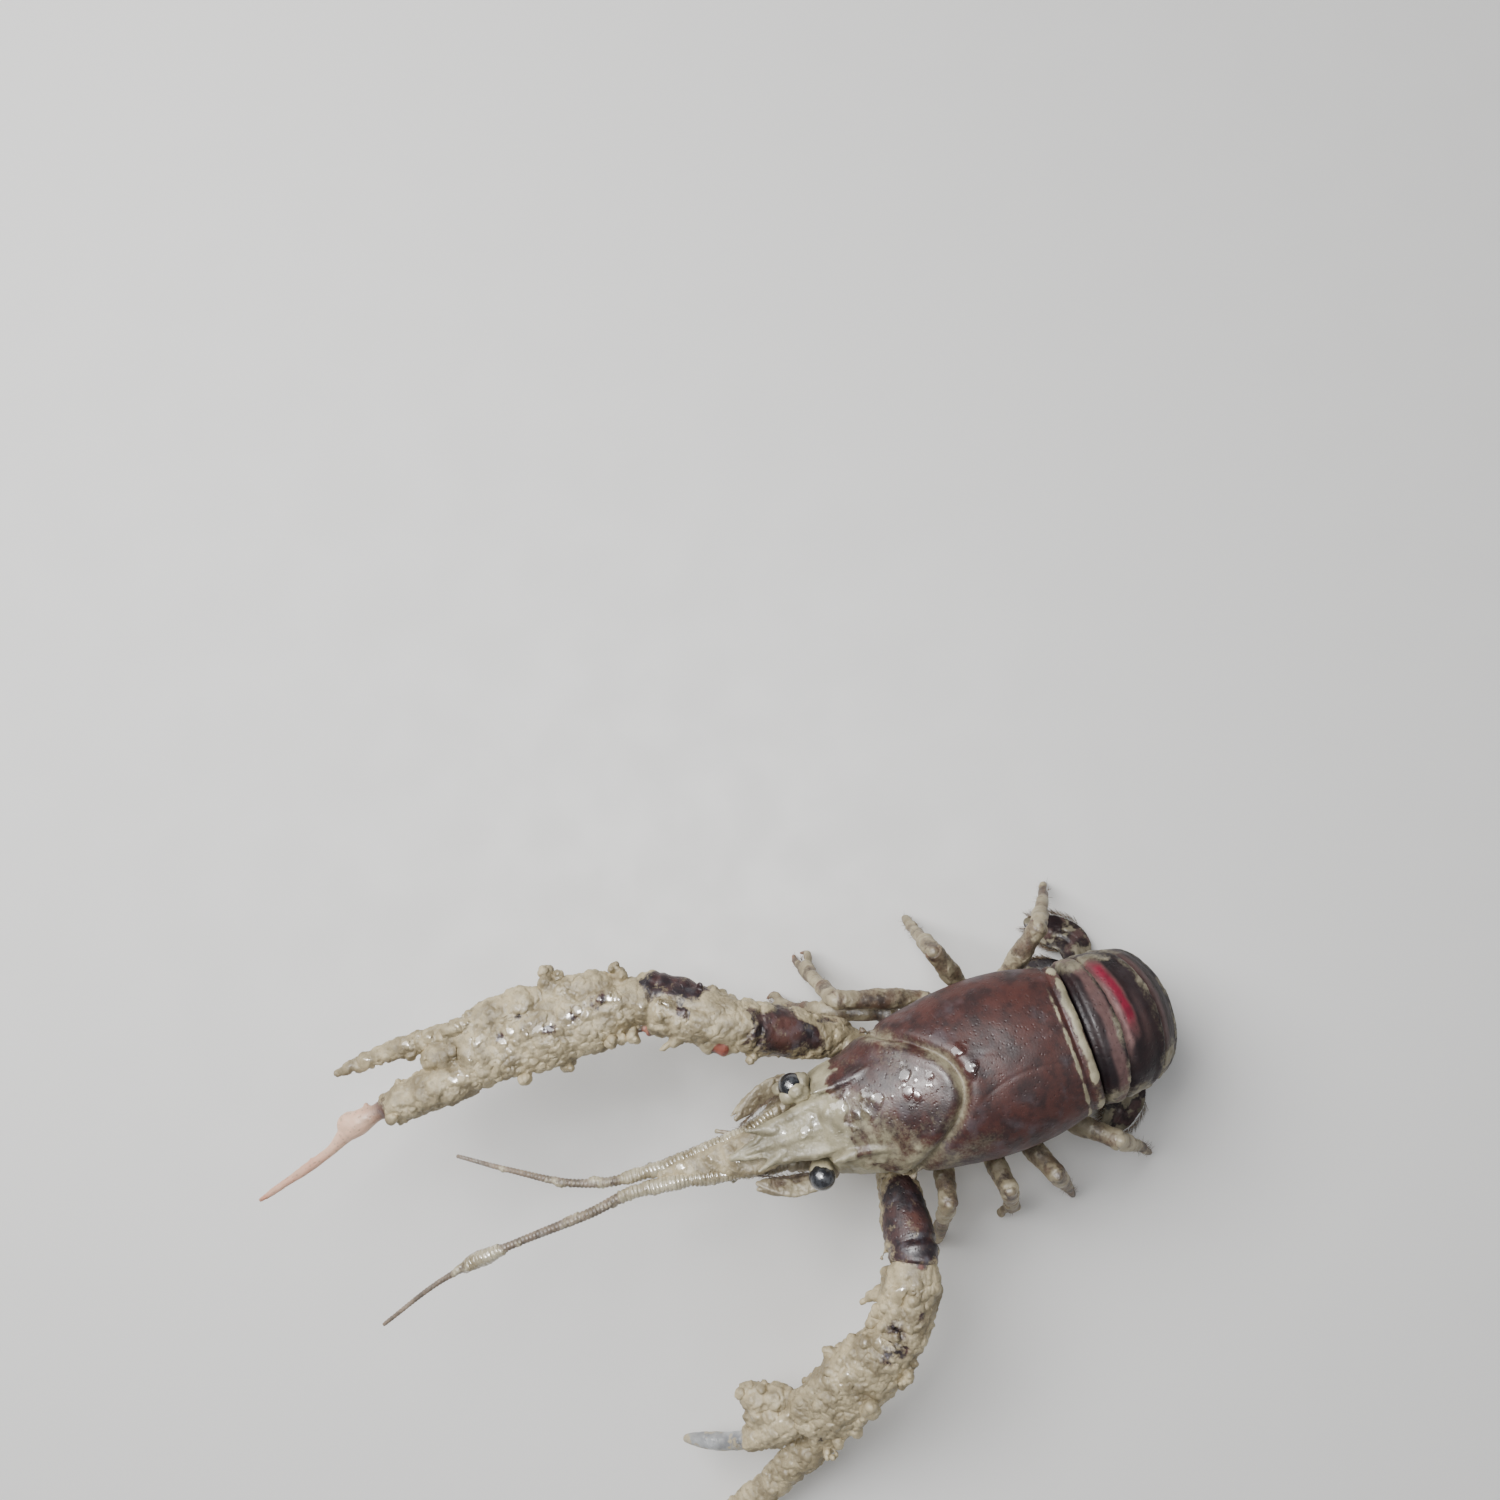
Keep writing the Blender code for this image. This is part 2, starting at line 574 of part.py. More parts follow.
def plate_ring(place, normal, half_width, depth, flap):
    """One ring of the abdomen: an arched plate with hanging side flaps and a hollow belly."""
    forward, up = place
    out_forward, out_up = normal
    outline = []
    arch = 6
    for i in range(-arch, arch + 1):
        angle = math.pi / 2 * i / arch
        outline.append((half_width * math.sin(angle), PLATE_ARCH * depth * (1 - math.cos(angle))))
    flank = [
        (half_width * 0.99, 0.82 * depth),
        (half_width * 0.9, depth + flap),
        (half_width * 0.74, 0.86 * depth),
    ]
    outline += flank
    outline += [(half_width * part, PLATE_HOLLOW * depth) for part in (0.4, 0.0, -0.4)]
    outline += [(-left, down) for left, down in reversed(flank)]
    return [at(forward - out_forward * down, left, up - out_up * down) for left, down in outline]


def abdomen_line():
    """The joints along the abdomen's back, and the direction of each plate."""
    joints = [ABDOMEN_START]
    headings = []
    for length, pitch in zip(PLATE_LENGTHS, PLATE_PITCH):
        angle = math.radians(pitch)
        heading = (-math.cos(angle), -math.sin(angle))
        headings.append(heading)
        joints.append((joints[-1][0] + heading[0] * length, joints[-1][1] + heading[1] * length))
    return joints, headings


def unit(forward, up):
    """A direction in the body's middle plane, of length one."""
    size = math.hypot(forward, up)
    return forward / size, up / size


def plate_rings(index, joints, faces, steps=5):
    """The rings of one plate, turning from the face before it to the face behind it."""
    start, end = joints[index], joints[index + 1]
    first, last = faces[index], faces[index + 1]
    drop = FLAP_DROP[0 if 0 < index < 5 else 1]
    rings = []
    for k in range(steps):
        part = k / (steps - 1)
        way = unit(first[0] + (last[0] - first[0]) * part, first[1] + (last[1] - first[1]) * part)
        out = (way[1], -way[0])
        half_gap = GAP / 2 * (1 if k == 0 else -1 if k == steps - 1 else 0)
        raised = PLATE_BULGE * math.sin(math.pi * part) + PLATE_STEP * part
        place = (
            start[0] + (end[0] - start[0]) * part + way[0] * half_gap + out[0] * raised,
            start[1] + (end[1] - start[1]) * part + way[1] * half_gap + out[1] * raised,
        )
        half_width = between(PLATE_HALF_WIDTH[index:index + 2], part) + raised
        depth = between(PLATE_DEPTH[index:index + 2], part) + PLATE_STEP * part
        rings.append(plate_ring(place, out, half_width, depth, drop * math.sin(math.pi * part) ** 2))
    return rings


def make_abdomen(model, cutters):
    """Six plates, each with its side flaps; plates two to five carry swimming paddles."""
    joints, headings = abdomen_line()
    faces = [(-1.0, 0.0)]
    for first, second in zip(headings, headings[1:] + [(1.0, 0.0)]):
        faces.append(unit(first[0] + second[0], first[1] + second[1]))
    length, half_width, half_thickness = PADDLE
    for index, heading in enumerate(headings):
        plate = solid(f"abdomen_{index + 1}", plate_rings(index, joints, faces), "plates", model)
        if not 0 < index < 5:
            continue
        start, end = joints[index], joints[index + 1]
        middle = ((start[0] + end[0]) / 2, (start[1] + end[1]) / 2)
        out = (heading[1], -heading[0])
        depth = PLATE_HOLLOW * between(PLATE_DEPTH[index:index + 2], 0.5)
        paddles = []
        for side in (-1, 1):
            ends = [
                at(middle[0] - out[0] * down, side * left, middle[1] - out[1] * down)
                for left, down in zip(PADDLE_LEFT, (depth - PADDLE_SUNK, depth + length))
            ]
            paddles.append(tube_rings(curve_through(ends, 4), (half_width, half_width * 1.3, 0.35),
                                      (half_thickness,) * 3, at(heading[0], 0, heading[1]), 6))
        fuse(plate, paddles, cutters)


def make_tail_fan(model):
    """The middle plate and the two blades on each side, each set against the last plate."""
    joints, headings = abdomen_line()
    end_forward, end_up = joints[-1]
    lean = math.radians((180 - PLATE_PITCH[-1]) / 2)
    last_face = at(math.cos(lean), 0, -math.sin(lean)).normalized()

    def behind_plate(left, up):
        """A point half a gap behind the face at the last plate's end."""
        return at(end_forward + (up - end_up) * math.tan(lean) + GAP / 2, left, up)

    middle = TAIL_THICKNESS / 2
    start = behind_plate(0, middle)
    solid("telson", tube_rings(curve_through([start, start + at(TAIL_LENGTH, 0, 0)], 9), TAIL_HALF_WIDTH,
                               (middle,) * 3, at(0, 0, 1), 14, start_face=last_face), "plates", model)
    part = FAN_OUTER[0]
    down = PLATE_ARCH * between(PLATE_DEPTH[-2:], part)
    flank = between(PLATE_HALF_WIDTH[-2:], part) + 2 * PLATE_STEP + GAP / 2
    heading = headings[-1]
    flank_forward = joints[-2][0] + heading[0] * PLATE_LENGTHS[-1] * part - heading[1] * down
    flank_up = joints[-2][1] + heading[1] * PLATE_LENGTHS[-1] * part + heading[0] * down
    for name, side in (("left", 1), ("right", -1)):
        inner = [behind_plate(side * FAN_INNER[0][0], FAN_INNER[0][1])]
        inner += [at(forward, side * left, up) for forward, left, up in FAN_INNER[1:]]
        outer = [at(flank_forward, side * flank, flank_up)]
        outer += [at(forward, side * left, up) for forward, left, up in FAN_OUTER[1:]]
        outward = Vector((side, 0, 0))
        for kind, points, face in (("inner", inner, last_face), ("outer", outer, outward)):
            rings = tube_rings(curve_through(points, 10), FAN_HALF_WIDTH, (FAN_HALF_THICKNESS,) * 2,
                               at(0, 0, 1), 12, start_face=face)
            for ring in rings:
                for point in ring:
                    point.z = max(point.z, 0.0)
            solid(f"tail_blade_{kind}_{name}", rings, "plates", model)


def make_belly(model):
    """The belly plate between the legs."""
    solid("sternum", box_rings(*BELLY, BELLY_HALF_WIDTH, BELLY_HALF_WIDTH, steps=5), "legs", model)


def make_leg(name, points, model, cutters):
    """One walking leg in two pieces: belly to knee, and knee to foot."""
    root, middle, knee, foot = [at(*point) for point in points]
    thigh, shin = (knee - middle).normalized(), (foot - knee).normalized()
    face = (thigh + shin).normalized()
    half_gap = GAP / 2 * MM
    outward = Vector((math.copysign(1, root.x), 0, 0))
    upper = curve_through([root, middle, knee - face * half_gap], 9)
    turn = at(0, 0, 1) if abs(thigh.z) < 0.5 else at(1, 0, 0.3)
    solid(name + "_upper", tube_rings(upper, UPPER_LEG_RADIUS, UPPER_LEG_RADIUS, turn, LEG_SIDES,
                                      start_face=outward, end_face=face), "legs", model)
    pincer = name[:5] in PINCER_LEGS
    radii = PINCER_LEG_RADIUS if pincer else LOWER_LEG_RADIUS
    lower = curve_through([knee + face * half_gap, foot], 8)
    piece = solid(name + "_lower", tube_rings(lower, radii, radii, at(1, 0, 0.3), LEG_SIDES,
                                              start_face=face, end_face=Vector((0, 0, -1))), "legs", model)
    if not pincer:
        return
    side = shin.cross(Vector((0, 0, 1))).normalized()
    back_near, back_far = PINCER
    open_near, open_far, open_bend = PINCER_OPEN
    near = foot + (side * open_near - shin * back_near) * MM
    far = foot + (side * open_far - shin * back_far) * MM
    bend = near.lerp(far, 0.5) + side * open_bend * MM
    fuse(piece, [tube_rings(curve_through([near, bend, far], 5), PINCER_RADIUS, PINCER_RADIUS, at(0, 0, 1), 6)],
         cutters)


def limb_spines(spines, place, run, up, inward):
    """Spines placed and headed along a limb, upward and toward the body's middle."""
    ways = (run, up, inward)
    return [
        cone(place + sum((way * size for way, size in zip(ways, offset)), Vector()) * MM,
             sum((way * size for way, size in zip(ways, heading)), Vector()), radius, height)
        for offset, heading, radius, height in spines
    ]


def make_claw(side, model, cutters):
    """One claw limb: base, upper arm, wrist, palm with its fixed finger, and the moving finger."""
    joints = [at(*point) for point in CLAW_JOINTS[side]]
    root, shoulder, elbow, wrist, palm_end = joints
    up = at(*CLAW_UP[side]).normalized()
    half_gap = GAP / 2 * MM
    runs = [(second - first).normalized() for first, second in zip(joints, joints[1:])]
    faces = [(first + second).normalized() for first, second in zip(runs, runs[1:])]
    inner = 1 if side == "left" else -1
    base = curve_through([root, shoulder - faces[0] * half_gap], 5)
    solid(f"claw_base_{side}",
          tube_rings(base, CLAW_BASE_RADIUS, CLAW_BASE_RADIUS, up, LIMB_SIDES,
                     start_face=Vector((math.copysign(1, root.x), 0, 0)), end_face=faces[0]), "shell", model)
    line = curve_through([shoulder + faces[0] * half_gap, elbow - faces[1] * half_gap], 8)
    arm = solid(f"claw_arm_{side}", tube_rings(line, ARM_WIDTH, ARM_HEIGHT, up, LIMB_SIDES,
                                               start_face=faces[0], end_face=faces[1]), "shell", model)
    inward = runs[1].cross(up).normalized() * inner
    fuse(arm, limb_spines(ARM_SPINES, elbow, runs[1], up, inward), cutters)
    line = curve_through([elbow + faces[1] * half_gap, wrist - faces[2] * half_gap], 8)
    carpus = solid(f"claw_wrist_{side}", tube_rings(line, WRIST_WIDTH, WRIST_HEIGHT, up, LIMB_SIDES,
                                                    start_face=faces[1], end_face=faces[2]), "mud", model)
    inward = runs[2].cross(up).normalized() * inner
    place = elbow.lerp(wrist, WRIST_SPINES_PLACE)
    fuse(carpus, limb_spines(WRIST_SPINES, place, runs[2], up, inward), cutters)
    make_palm(side, wrist + faces[2] * half_gap, palm_end, faces[2], model, cutters)


def make_palm(side, start, end, start_face, model, cutters):
    """The palm narrows in a step to its fixed finger; the moving finger stands on that step."""
    run = (end - start).normalized()
    finger_points = [at(*point) for point in FIXED_FINGER[side]]
    mover_points = [at(*point) for point in MOVING_FINGER[side]]
    inward = mover_points[0] - finger_points[0]
    inward = (inward - run * inward.dot(run)).normalized()
    up = run.cross(inward)
    up *= math.copysign(1, up.z)
    finger_points.insert(0, end + (run * GAP - inward * FINGER_OFFSET[0]) * MM)
    mover_points.insert(0, end + (run * MOVING_FINGER_GAP + inward * FINGER_OFFSET[1]) * MM)
    rings = tube_rings(curve_through([start, end], 9), PALM_WIDTH, PALM_HEIGHT, up, LIMB_SIDES + 2,
                       start_face=start_face)
    finger_path = curve_through(finger_points, 8)
    rings += tube_rings(finger_path, FIXED_FINGER_WIDTH, FIXED_FINGER_HEIGHT, up, LIMB_SIDES + 2, start_face=run)
    palm = solid(f"claw_palm_{side}", rings, "mud", model)
    mover_path = curve_through(mover_points, 16 if side == "right" else 12)
    radii = MOVING_FINGER_RADIUS[side]
    flat_radii = tuple(size * MOVING_FINGER_FLATNESS for size in radii)
    mover_rings = tube_rings(mover_path, radii, flat_radii, up, LIMB_SIDES, start_face=run)
    mover = solid(f"claw_finger_{side}", mover_rings, "mud", model)
    radius, height = TOOTH
    on_palm = []
    on_mover = []
    for k in range(TEETH):
        part = 0.25 + 0.55 * k / (TEETH - 1)
        place = finger_path[0].lerp(finger_path[-1], part)
        size = 0.85 * between(FIXED_FINGER_WIDTH, part)
        on_palm.append(cone(place + inward * size * MM, inward, radius, height))
        step = 3 + k
        size = 0.95 * between(radii, step / (len(mover_path) - 1))
        on_mover.append(cone(mover_path[step] - inward * size * MM, -inward, radius, height))
    for k in range(PALM_TUBERCLES):
        part = 0.24 + 0.15 * k
        place = start.lerp(end, part) + (inward * between(PALM_WIDTH, part) * 0.86 + up * 0.7) * MM
        on_palm.append(cone(place, inward + up * 0.5 + run * 0.4, *PALM_TUBERCLE))
    fuse(palm, on_palm, cutters)
    if side == "right":
        on_mover.append(cone(mover_points[2] - inward * 0.9 * MM, -inward + run * 0.3, 0.8, 1.1))
    fuse(mover, on_mover, cutters)


def main():
    """Builds the animal and stands it over the origin."""
    for obj in list(bpy.data.objects):
        bpy.data.objects.remove(obj)
    scene = bpy.context.scene
    model = bpy.data.collections.new("northern_clearwater_crayfish")
    cutters = bpy.data.collections.new("cutters")
    scene.collection.children.link(model)
    scene.collection.children.link(cutters)
    make_shell(model, cutters)
    make_belly(model)
    make_head(model, cutters)
    make_feelers(model)
    make_abdomen(model, cutters)
    make_tail_fan(model)
    for name, points in LEGS.items():
        make_leg(name, points, model, cutters)
    for side in CLAW_JOINTS:
        make_claw(side, model, cutters)
    bpy.context.view_layer.update()
    corners = [piece.matrix_world @ vertex.co for piece in model.objects for vertex in piece.data.vertices]
    low = Vector([min(point[axis] for point in corners) for axis in range(3)])
    high = Vector([max(point[axis] for point in corners) for axis in range(3)])
    stand = bpy.data.objects.new("crayfish", None)
    stand.location = (-(low.x + high.x) / 2, -(low.y + high.y) / 2, -low.z)
    scene.collection.objects.link(stand)
    for piece in model.objects:
        piece.parent = stand


main()
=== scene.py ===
"""Looks of a northern clearwater crayfish, life size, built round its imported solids.

Every piece is shaped in the body's own millimetres, as (forward, left, up) from the rear of the
neck groove, pressed into one skin, roughened by mud and noise, and then set in the frame.
"""

from __future__ import annotations

import logging
import math
from collections.abc import Sequence
from dataclasses import dataclass, field
from enum import Enum

import bmesh
import bpy
import numpy as np
from mathutils import Matrix, Vector, noise

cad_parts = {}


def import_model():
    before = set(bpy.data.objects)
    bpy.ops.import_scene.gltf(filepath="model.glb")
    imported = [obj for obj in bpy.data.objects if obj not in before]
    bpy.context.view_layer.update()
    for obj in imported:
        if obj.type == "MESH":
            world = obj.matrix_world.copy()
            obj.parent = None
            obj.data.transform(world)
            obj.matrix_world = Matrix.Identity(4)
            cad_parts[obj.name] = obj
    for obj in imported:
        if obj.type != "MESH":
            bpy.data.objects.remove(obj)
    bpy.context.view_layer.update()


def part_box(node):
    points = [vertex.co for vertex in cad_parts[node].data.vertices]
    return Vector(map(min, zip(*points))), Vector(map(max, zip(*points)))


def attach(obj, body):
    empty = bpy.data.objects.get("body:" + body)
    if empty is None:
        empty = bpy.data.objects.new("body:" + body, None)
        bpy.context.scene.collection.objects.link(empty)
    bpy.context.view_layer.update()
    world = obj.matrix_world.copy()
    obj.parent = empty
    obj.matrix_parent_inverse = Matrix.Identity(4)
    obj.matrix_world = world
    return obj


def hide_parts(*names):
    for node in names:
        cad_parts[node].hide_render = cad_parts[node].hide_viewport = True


LOG = logging.getLogger("crayfish")
MM = 0.001
PER_METRE = 1000.0
MASKS = ("mud", "wet", "accent", "tint")

UP = (0.0, 0.0, 1.0)

Array = np.ndarray
Point = tuple[float, float, float]
Colour = tuple[float, float, float, float]
Stations = tuple[tuple[float, float], ...]
Spots = tuple[tuple[Point, float], ...]


class Side(Enum):
    """The animal's two sides; the value is the sign of the left axis."""

    LEFT = 1
    RIGHT = -1

    @property
    def label(self) -> str:
        """The side's word in the names of nodes."""
        return self.name.lower()

    @property
    def outward(self) -> Array:
        """The direction away from the body's middle."""
        return np.array([0.0, self.value, 0.0])

    def turned(self, points: Sequence[float] | Sequence[Point]) -> Array:
        """Left points, or one of them, turned over to this side."""
        return np.array(points) * np.array([1.0, self.value, 1.0])


class Slot(Enum):
    """The record's material slots."""

    SHELL = "shell"
    CLAW = "claw"
    PLATE = "abdomen_plate"
    TAIL = "tail"
    LEG = "leg"
    UNDERSIDE = "underside"
    FEELER = "feeler"
    EYE = "eye"


def unit(vectors: Array) -> Array:
    """The same directions at length one."""
    return vectors / np.maximum(np.linalg.norm(vectors, axis=-1, keepdims=True), 1e-12)


def ease(low: float, high: float, values: Array | float) -> Array:
    """Runs softly from 0 at low to 1 at high."""
    part = np.clip((values - low) / (high - low), 0.0, 1.0)
    return part * part * (3.0 - 2.0 * part)


def hill(distance: Array, reach: float) -> Array:
    """A soft hill of height one round distance zero."""
    return np.exp(-((distance / reach) ** 2))


def sizes_at(stations: Stations, places: Array) -> Array:
    """Reads sizes on a smooth line through stations.

    Args:
        stations: Pairs of a place and the size there, in rising order.
        places: Where to read.

    Returns:
        The sizes, held steady past both ends.
    """
    known, sizes = np.array(stations, float).T
    slopes = np.gradient(sizes, known)
    first = np.clip(np.searchsorted(known, places) - 1, 0, len(known) - 2)
    step = known[first + 1] - known[first]
    part = np.clip((places - known[first]) / step, 0.0, 1.0)
    rest = 1.0 - part
    start = sizes[first] * (1 + 2 * part) * rest**2 + slopes[first] * step * part * rest**2
    end = sizes[first + 1] * part**2 * (3 - 2 * part) - slopes[first + 1] * step * part**2 * rest
    return start + end


def taper(sizes: Sequence[float], parts: Array) -> Array:
    """Reads sizes that stand evenly along a run, parts being 0 to 1."""
    return sizes_at(tuple(zip(np.linspace(0.0, 1.0, len(sizes)), sizes)), parts)


def spline(points: Sequence[Sequence[float]], count: int) -> Array:
    """Sets even points on a smooth curve.

    Args:
        points: The points that the curve goes through.
        count: How many even points to set.

    Returns:
        The points, one a row.
    """
    knots = np.asarray(points, float)
    padded = np.vstack([2 * knots[0] - knots[1], knots, 2 * knots[-1] - knots[-2]])
    t = np.linspace(0.0, 1.0, 32, endpoint=False)[:, None]
    runs = []
    for a, b, c, d in zip(padded, padded[1:], padded[2:], padded[3:]):
        bend = (2 * a - 5 * b + 4 * c - d) * t**2 + (3 * b - a - 3 * c + d) * t**3
        runs.append(0.5 * (2 * b + (c - a) * t + bend))
    fine = np.vstack(runs + [knots[-1:]])
    travelled = np.concatenate([[0.0], np.cumsum(np.linalg.norm(np.diff(fine, axis=0), axis=1))])
    even = np.linspace(0.0, travelled[-1], count)
    return np.stack([np.interp(even, travelled, fine[:, axis]) for axis in range(3)], axis=1)


def grain(points: Array, size: float, octaves: int = 3, seed: float = 0.0) -> Array:
    """Soft noise at points.

    Args:
        points: Where to read it, in millimetres.
        size: How large its lumps are, in millimetres.
        octaves: How many finer layers it has.
        seed: Moves the pattern.

    Returns:
        About -1 to 1 at each point.
    """
    rows = (points / size + seed).tolist()
    return np.array([noise.fractal(row, 1.0, 2.0, octaves) for row in rows])


def pebbles(points: Array, size: float, seed: float = 0.0) -> Array:
    """Round grains at points: 1 at the top of a grain and 0 between grains."""
    rows = (points / size + seed).tolist()
    return np.array([max(0.0, 1.0 - 1.9 * noise.voronoi(row)[0][0]) for row in rows])


def tube(path: Array, widths: Sequence[float], heights: Sequence[float], up: Sequence[float], sides: int = 40,
         start_face: Array | None = None, end_face: Array | None = None) -> Array:
    """Rings round a path.

    Args:
        path: Even points along the middle.
        widths: Half widths, evenly spaced along the path.
        heights: Half heights, the same way.
        up: Which way is up at the start.
        sides: Points in a ring.
        start_face: Normal of the face that the first ring lies in.
        end_face: Normal of the face that the last ring lies in.

    Returns:
        An array of rings, points and coordinates.
    """
    travelled = np.concatenate([[0.0], np.cumsum(np.linalg.norm(np.diff(path, axis=0), axis=1))])
    parts = travelled / travelled[-1]
    headings = unit(np.gradient(path, axis=0))
    side = unit(np.cross(headings[0], np.asarray(up, float)))
    turns = np.linspace(0.0, 2 * np.pi, sides, endpoint=False)
    rings = []
    sizes = zip(taper(widths, parts), taper(heights, parts))
    for place, heading, part, (width, height) in zip(path, headings, parts, sizes):
        side = unit(side - heading * side.dot(heading))
        over = unit(np.cross(side, heading))
        tilt = heading
        reach = 2.4 * max(width, height)
        for face, gone in ((start_face, part * travelled[-1]), (end_face, (1 - part) * travelled[-1])):
            if face is not None and gone < reach:
                share = (1 - gone / reach) ** 0.7
                tilt = tilt * (1 - share) + unit(face) * share
        tilt = unit(tilt)
        offsets = np.outer(np.sin(turns), side) * width + np.outer(np.cos(turns), over) * height
        rings.append(place + offsets - np.outer(offsets @ tilt / max(heading.dot(tilt), 0.35), heading))
    return np.array(rings)


def domed(rings: Array, start: float, end: float, steps: int = 6) -> Array:
    """Rounds off both ends of a run of rings.

    Args:
        rings: The rings.
        start: How far the first end swells out.
        end: How far the last end swells out.
        steps: Rings in each dome.

    Returns:
        The rings with their domes.
    """
    turns = np.linspace(0.0, 0.46 * np.pi, steps + 1)[1:]
    parts = []
    for ring, inner, depth in ((rings[0], rings[1], start), (rings[-1], rings[-2], end)):
        middle = ring.mean(axis=0)
        heading = unit(middle - inner.mean(axis=0))
        parts.append([middle + (ring - middle) * math.cos(t) + heading * depth * math.sin(t) for t in turns])
    return np.concatenate([parts[0][::-1], rings, parts[1]])


def ball(centre: Sequence[float], axes: Sequence[Sequence[float]], sides: int = 24) -> Array:
    """An egg shape.

    Args:
        centre: Its middle.
        axes: Its three half axes, each a direction with its length.
        sides: Points round it.

    Returns:
        Its rings.
    """
    long_axis, wide, high = (np.asarray(axis, float) for axis in axes)
    turns = np.linspace(0.0, 2 * np.pi, sides, endpoint=False)
    rings = []
    for fall in np.linspace(0.03, 0.97, sides // 2) * np.pi:
        ring = np.outer(np.cos(turns), wide) + np.outer(np.sin(turns), high)
        rings.append(np.asarray(centre, float) - long_axis * math.cos(fall) + ring * math.sin(fall))
    return np.array(rings)


def lump(centre: Sequence[float], radius: float) -> Array:
    """A round ball."""
    return ball(centre, np.eye(3) * radius, 16)


def spine(root: Array, heading: Array, radius: float, height: float, bend: Array | None = None) -> Array:
    """A curved spine with its root sunk in.

    Args:
        root: Where it leaves the surface.
        heading: Which way it points.
        radius: Its radius at the root.
        height: How far it stands out.
        bend: Which way its tip leans, in millimetres.

    Returns:
        Its rings.
    """
    heading = unit(np.asarray(heading, float))
    lean = np.zeros(3) if bend is None else np.asarray(bend, float)
    steps = np.linspace(-0.9, 1.0, 9)
    path = np.array([root + heading * height * t + lean * max(t, 0.0) ** 2 for t in steps])
    sizes = radius * np.array([1.25, 1.2, 1.12, 1.0, 0.85, 0.66, 0.46, 0.26, 0.1])
    up = np.array([0.3, 0.2, 1.0]) if abs(heading[2]) < 0.8 else np.array([1.0, 0.2, 0.1])
    return tube(path, sizes, sizes, up, 14)


def tumble(draw: np.random.Generator) -> Array:
    """A turn drawn at random, as the rows of three axes."""
    return np.array(Matrix.Rotation(draw.uniform(0, math.pi), 3, Vector(draw.normal(0, 1, 3))))


def beside(place: Sequence[float], start: Array, end: Array) -> tuple[float, Array]:
    """Measures a point against a run.

    Args:
        place: The point.
        start: Where the run starts.
        end: Where it ends.

    Returns:
        How far along the run the point lies, 0 to 1, and its offset from there.
    """
    away, run = np.array(place) - start, end - start
    part = np.clip(away @ run / (run @ run), 0.0, 1.0)
    return part, away - run * part


def stand(name: str, data: bpy.types.ID) -> bpy.types.Object:
    """Makes an object of some data and links it to the scene.

    Args:
        name: The object's name.
        data: Its mesh, light or camera.

    Returns:
        The object.
    """
    made = bpy.data.objects.new(name, data)
    bpy.context.scene.collection.objects.link(made)
    return made


class Skin:
    """A closed skin in body millimetres, with named masks at its points."""

    def __init__(self, mesh: bpy.types.Mesh) -> None:
        """Reads a mesh whose units are millimetres.

        Args:
            mesh: The mesh.
        """
        self.mesh = mesh
        self.points = self._read(mesh.vertices, "co", 3)
        self.edges = np.empty(len(mesh.edges) * 2, np.int32)
        mesh.edges.foreach_get("vertices", self.edges)
        self.edges = self.edges.reshape(-1, 2)
        self.masks: dict[str, Array] = {}

    @staticmethod
    def _read(rows: bpy.types.bpy_prop_collection, name: str, width: int) -> Array:
        """Values of a collection as rows of numbers.

        Args:
            rows: The collection.
            name: Which of its values.
            width: How many numbers each has.

        Returns:
            The values, one row each.
        """
        values = np.empty(len(rows) * width, np.float32)
        rows.foreach_get(name, values)
        return values.reshape(-1, width).astype(float)

    def store(self) -> None:
        """Writes the points to the mesh."""
        self.mesh.vertices.foreach_set("co", self.points.astype(np.float32).ravel())
        self.mesh.update()

    def normals(self) -> Array:
        """Which way the skin faces at each point."""
        self.store()
        return self._read(self.mesh.vertex_normals, "vector", 3)

    def settle(self, rounds: int, strength: float = 0.6) -> None:
        """Smooths the skin.

        Args:
            rounds: How many times.
            strength: How far each point goes to the middle of its neighbours.
        """
        first, second = self.edges.T
        count = len(self.points)
        degree = np.maximum(np.bincount(first, minlength=count) + np.bincount(second, minlength=count), 1)
        for _ in range(rounds):
            for axis in range(3):
                values = self.points[:, axis]
                total = np.bincount(first, values[second], count) + np.bincount(second, values[first], count)
                self.points[:, axis] = values + strength * (total / degree - values)

    def push(self, heights: Array) -> None:
        """Moves the points outward by heights in millimetres."""
        self.points = self.points + self.normals() * heights[:, None]

    def mask(self, name: str) -> Array:
        """A named mask, nothing where it hasn't been painted."""
        return self.masks.get(name, np.zeros(len(self.points)))

    def paint(self, name: str, values: Array | float) -> None:
        """Raises a named mask to values of 0 to 1."""
        self.masks[name] = np.maximum(self.mask(name), np.clip(values, 0.0, 1.0))

    def wipe(self, name: str, values: Array) -> None:
        """Lowers a named mask where values is 1."""
        self.masks[name] = self.mask(name) * (1.0 - np.clip(values, 0.0, 1.0))

    def near(self, centre: Sequence[float], reach: float) -> Array:
        """A soft mask round a point."""
        return hill(np.linalg.norm(self.points - np.asarray(centre, float), axis=1), reach)


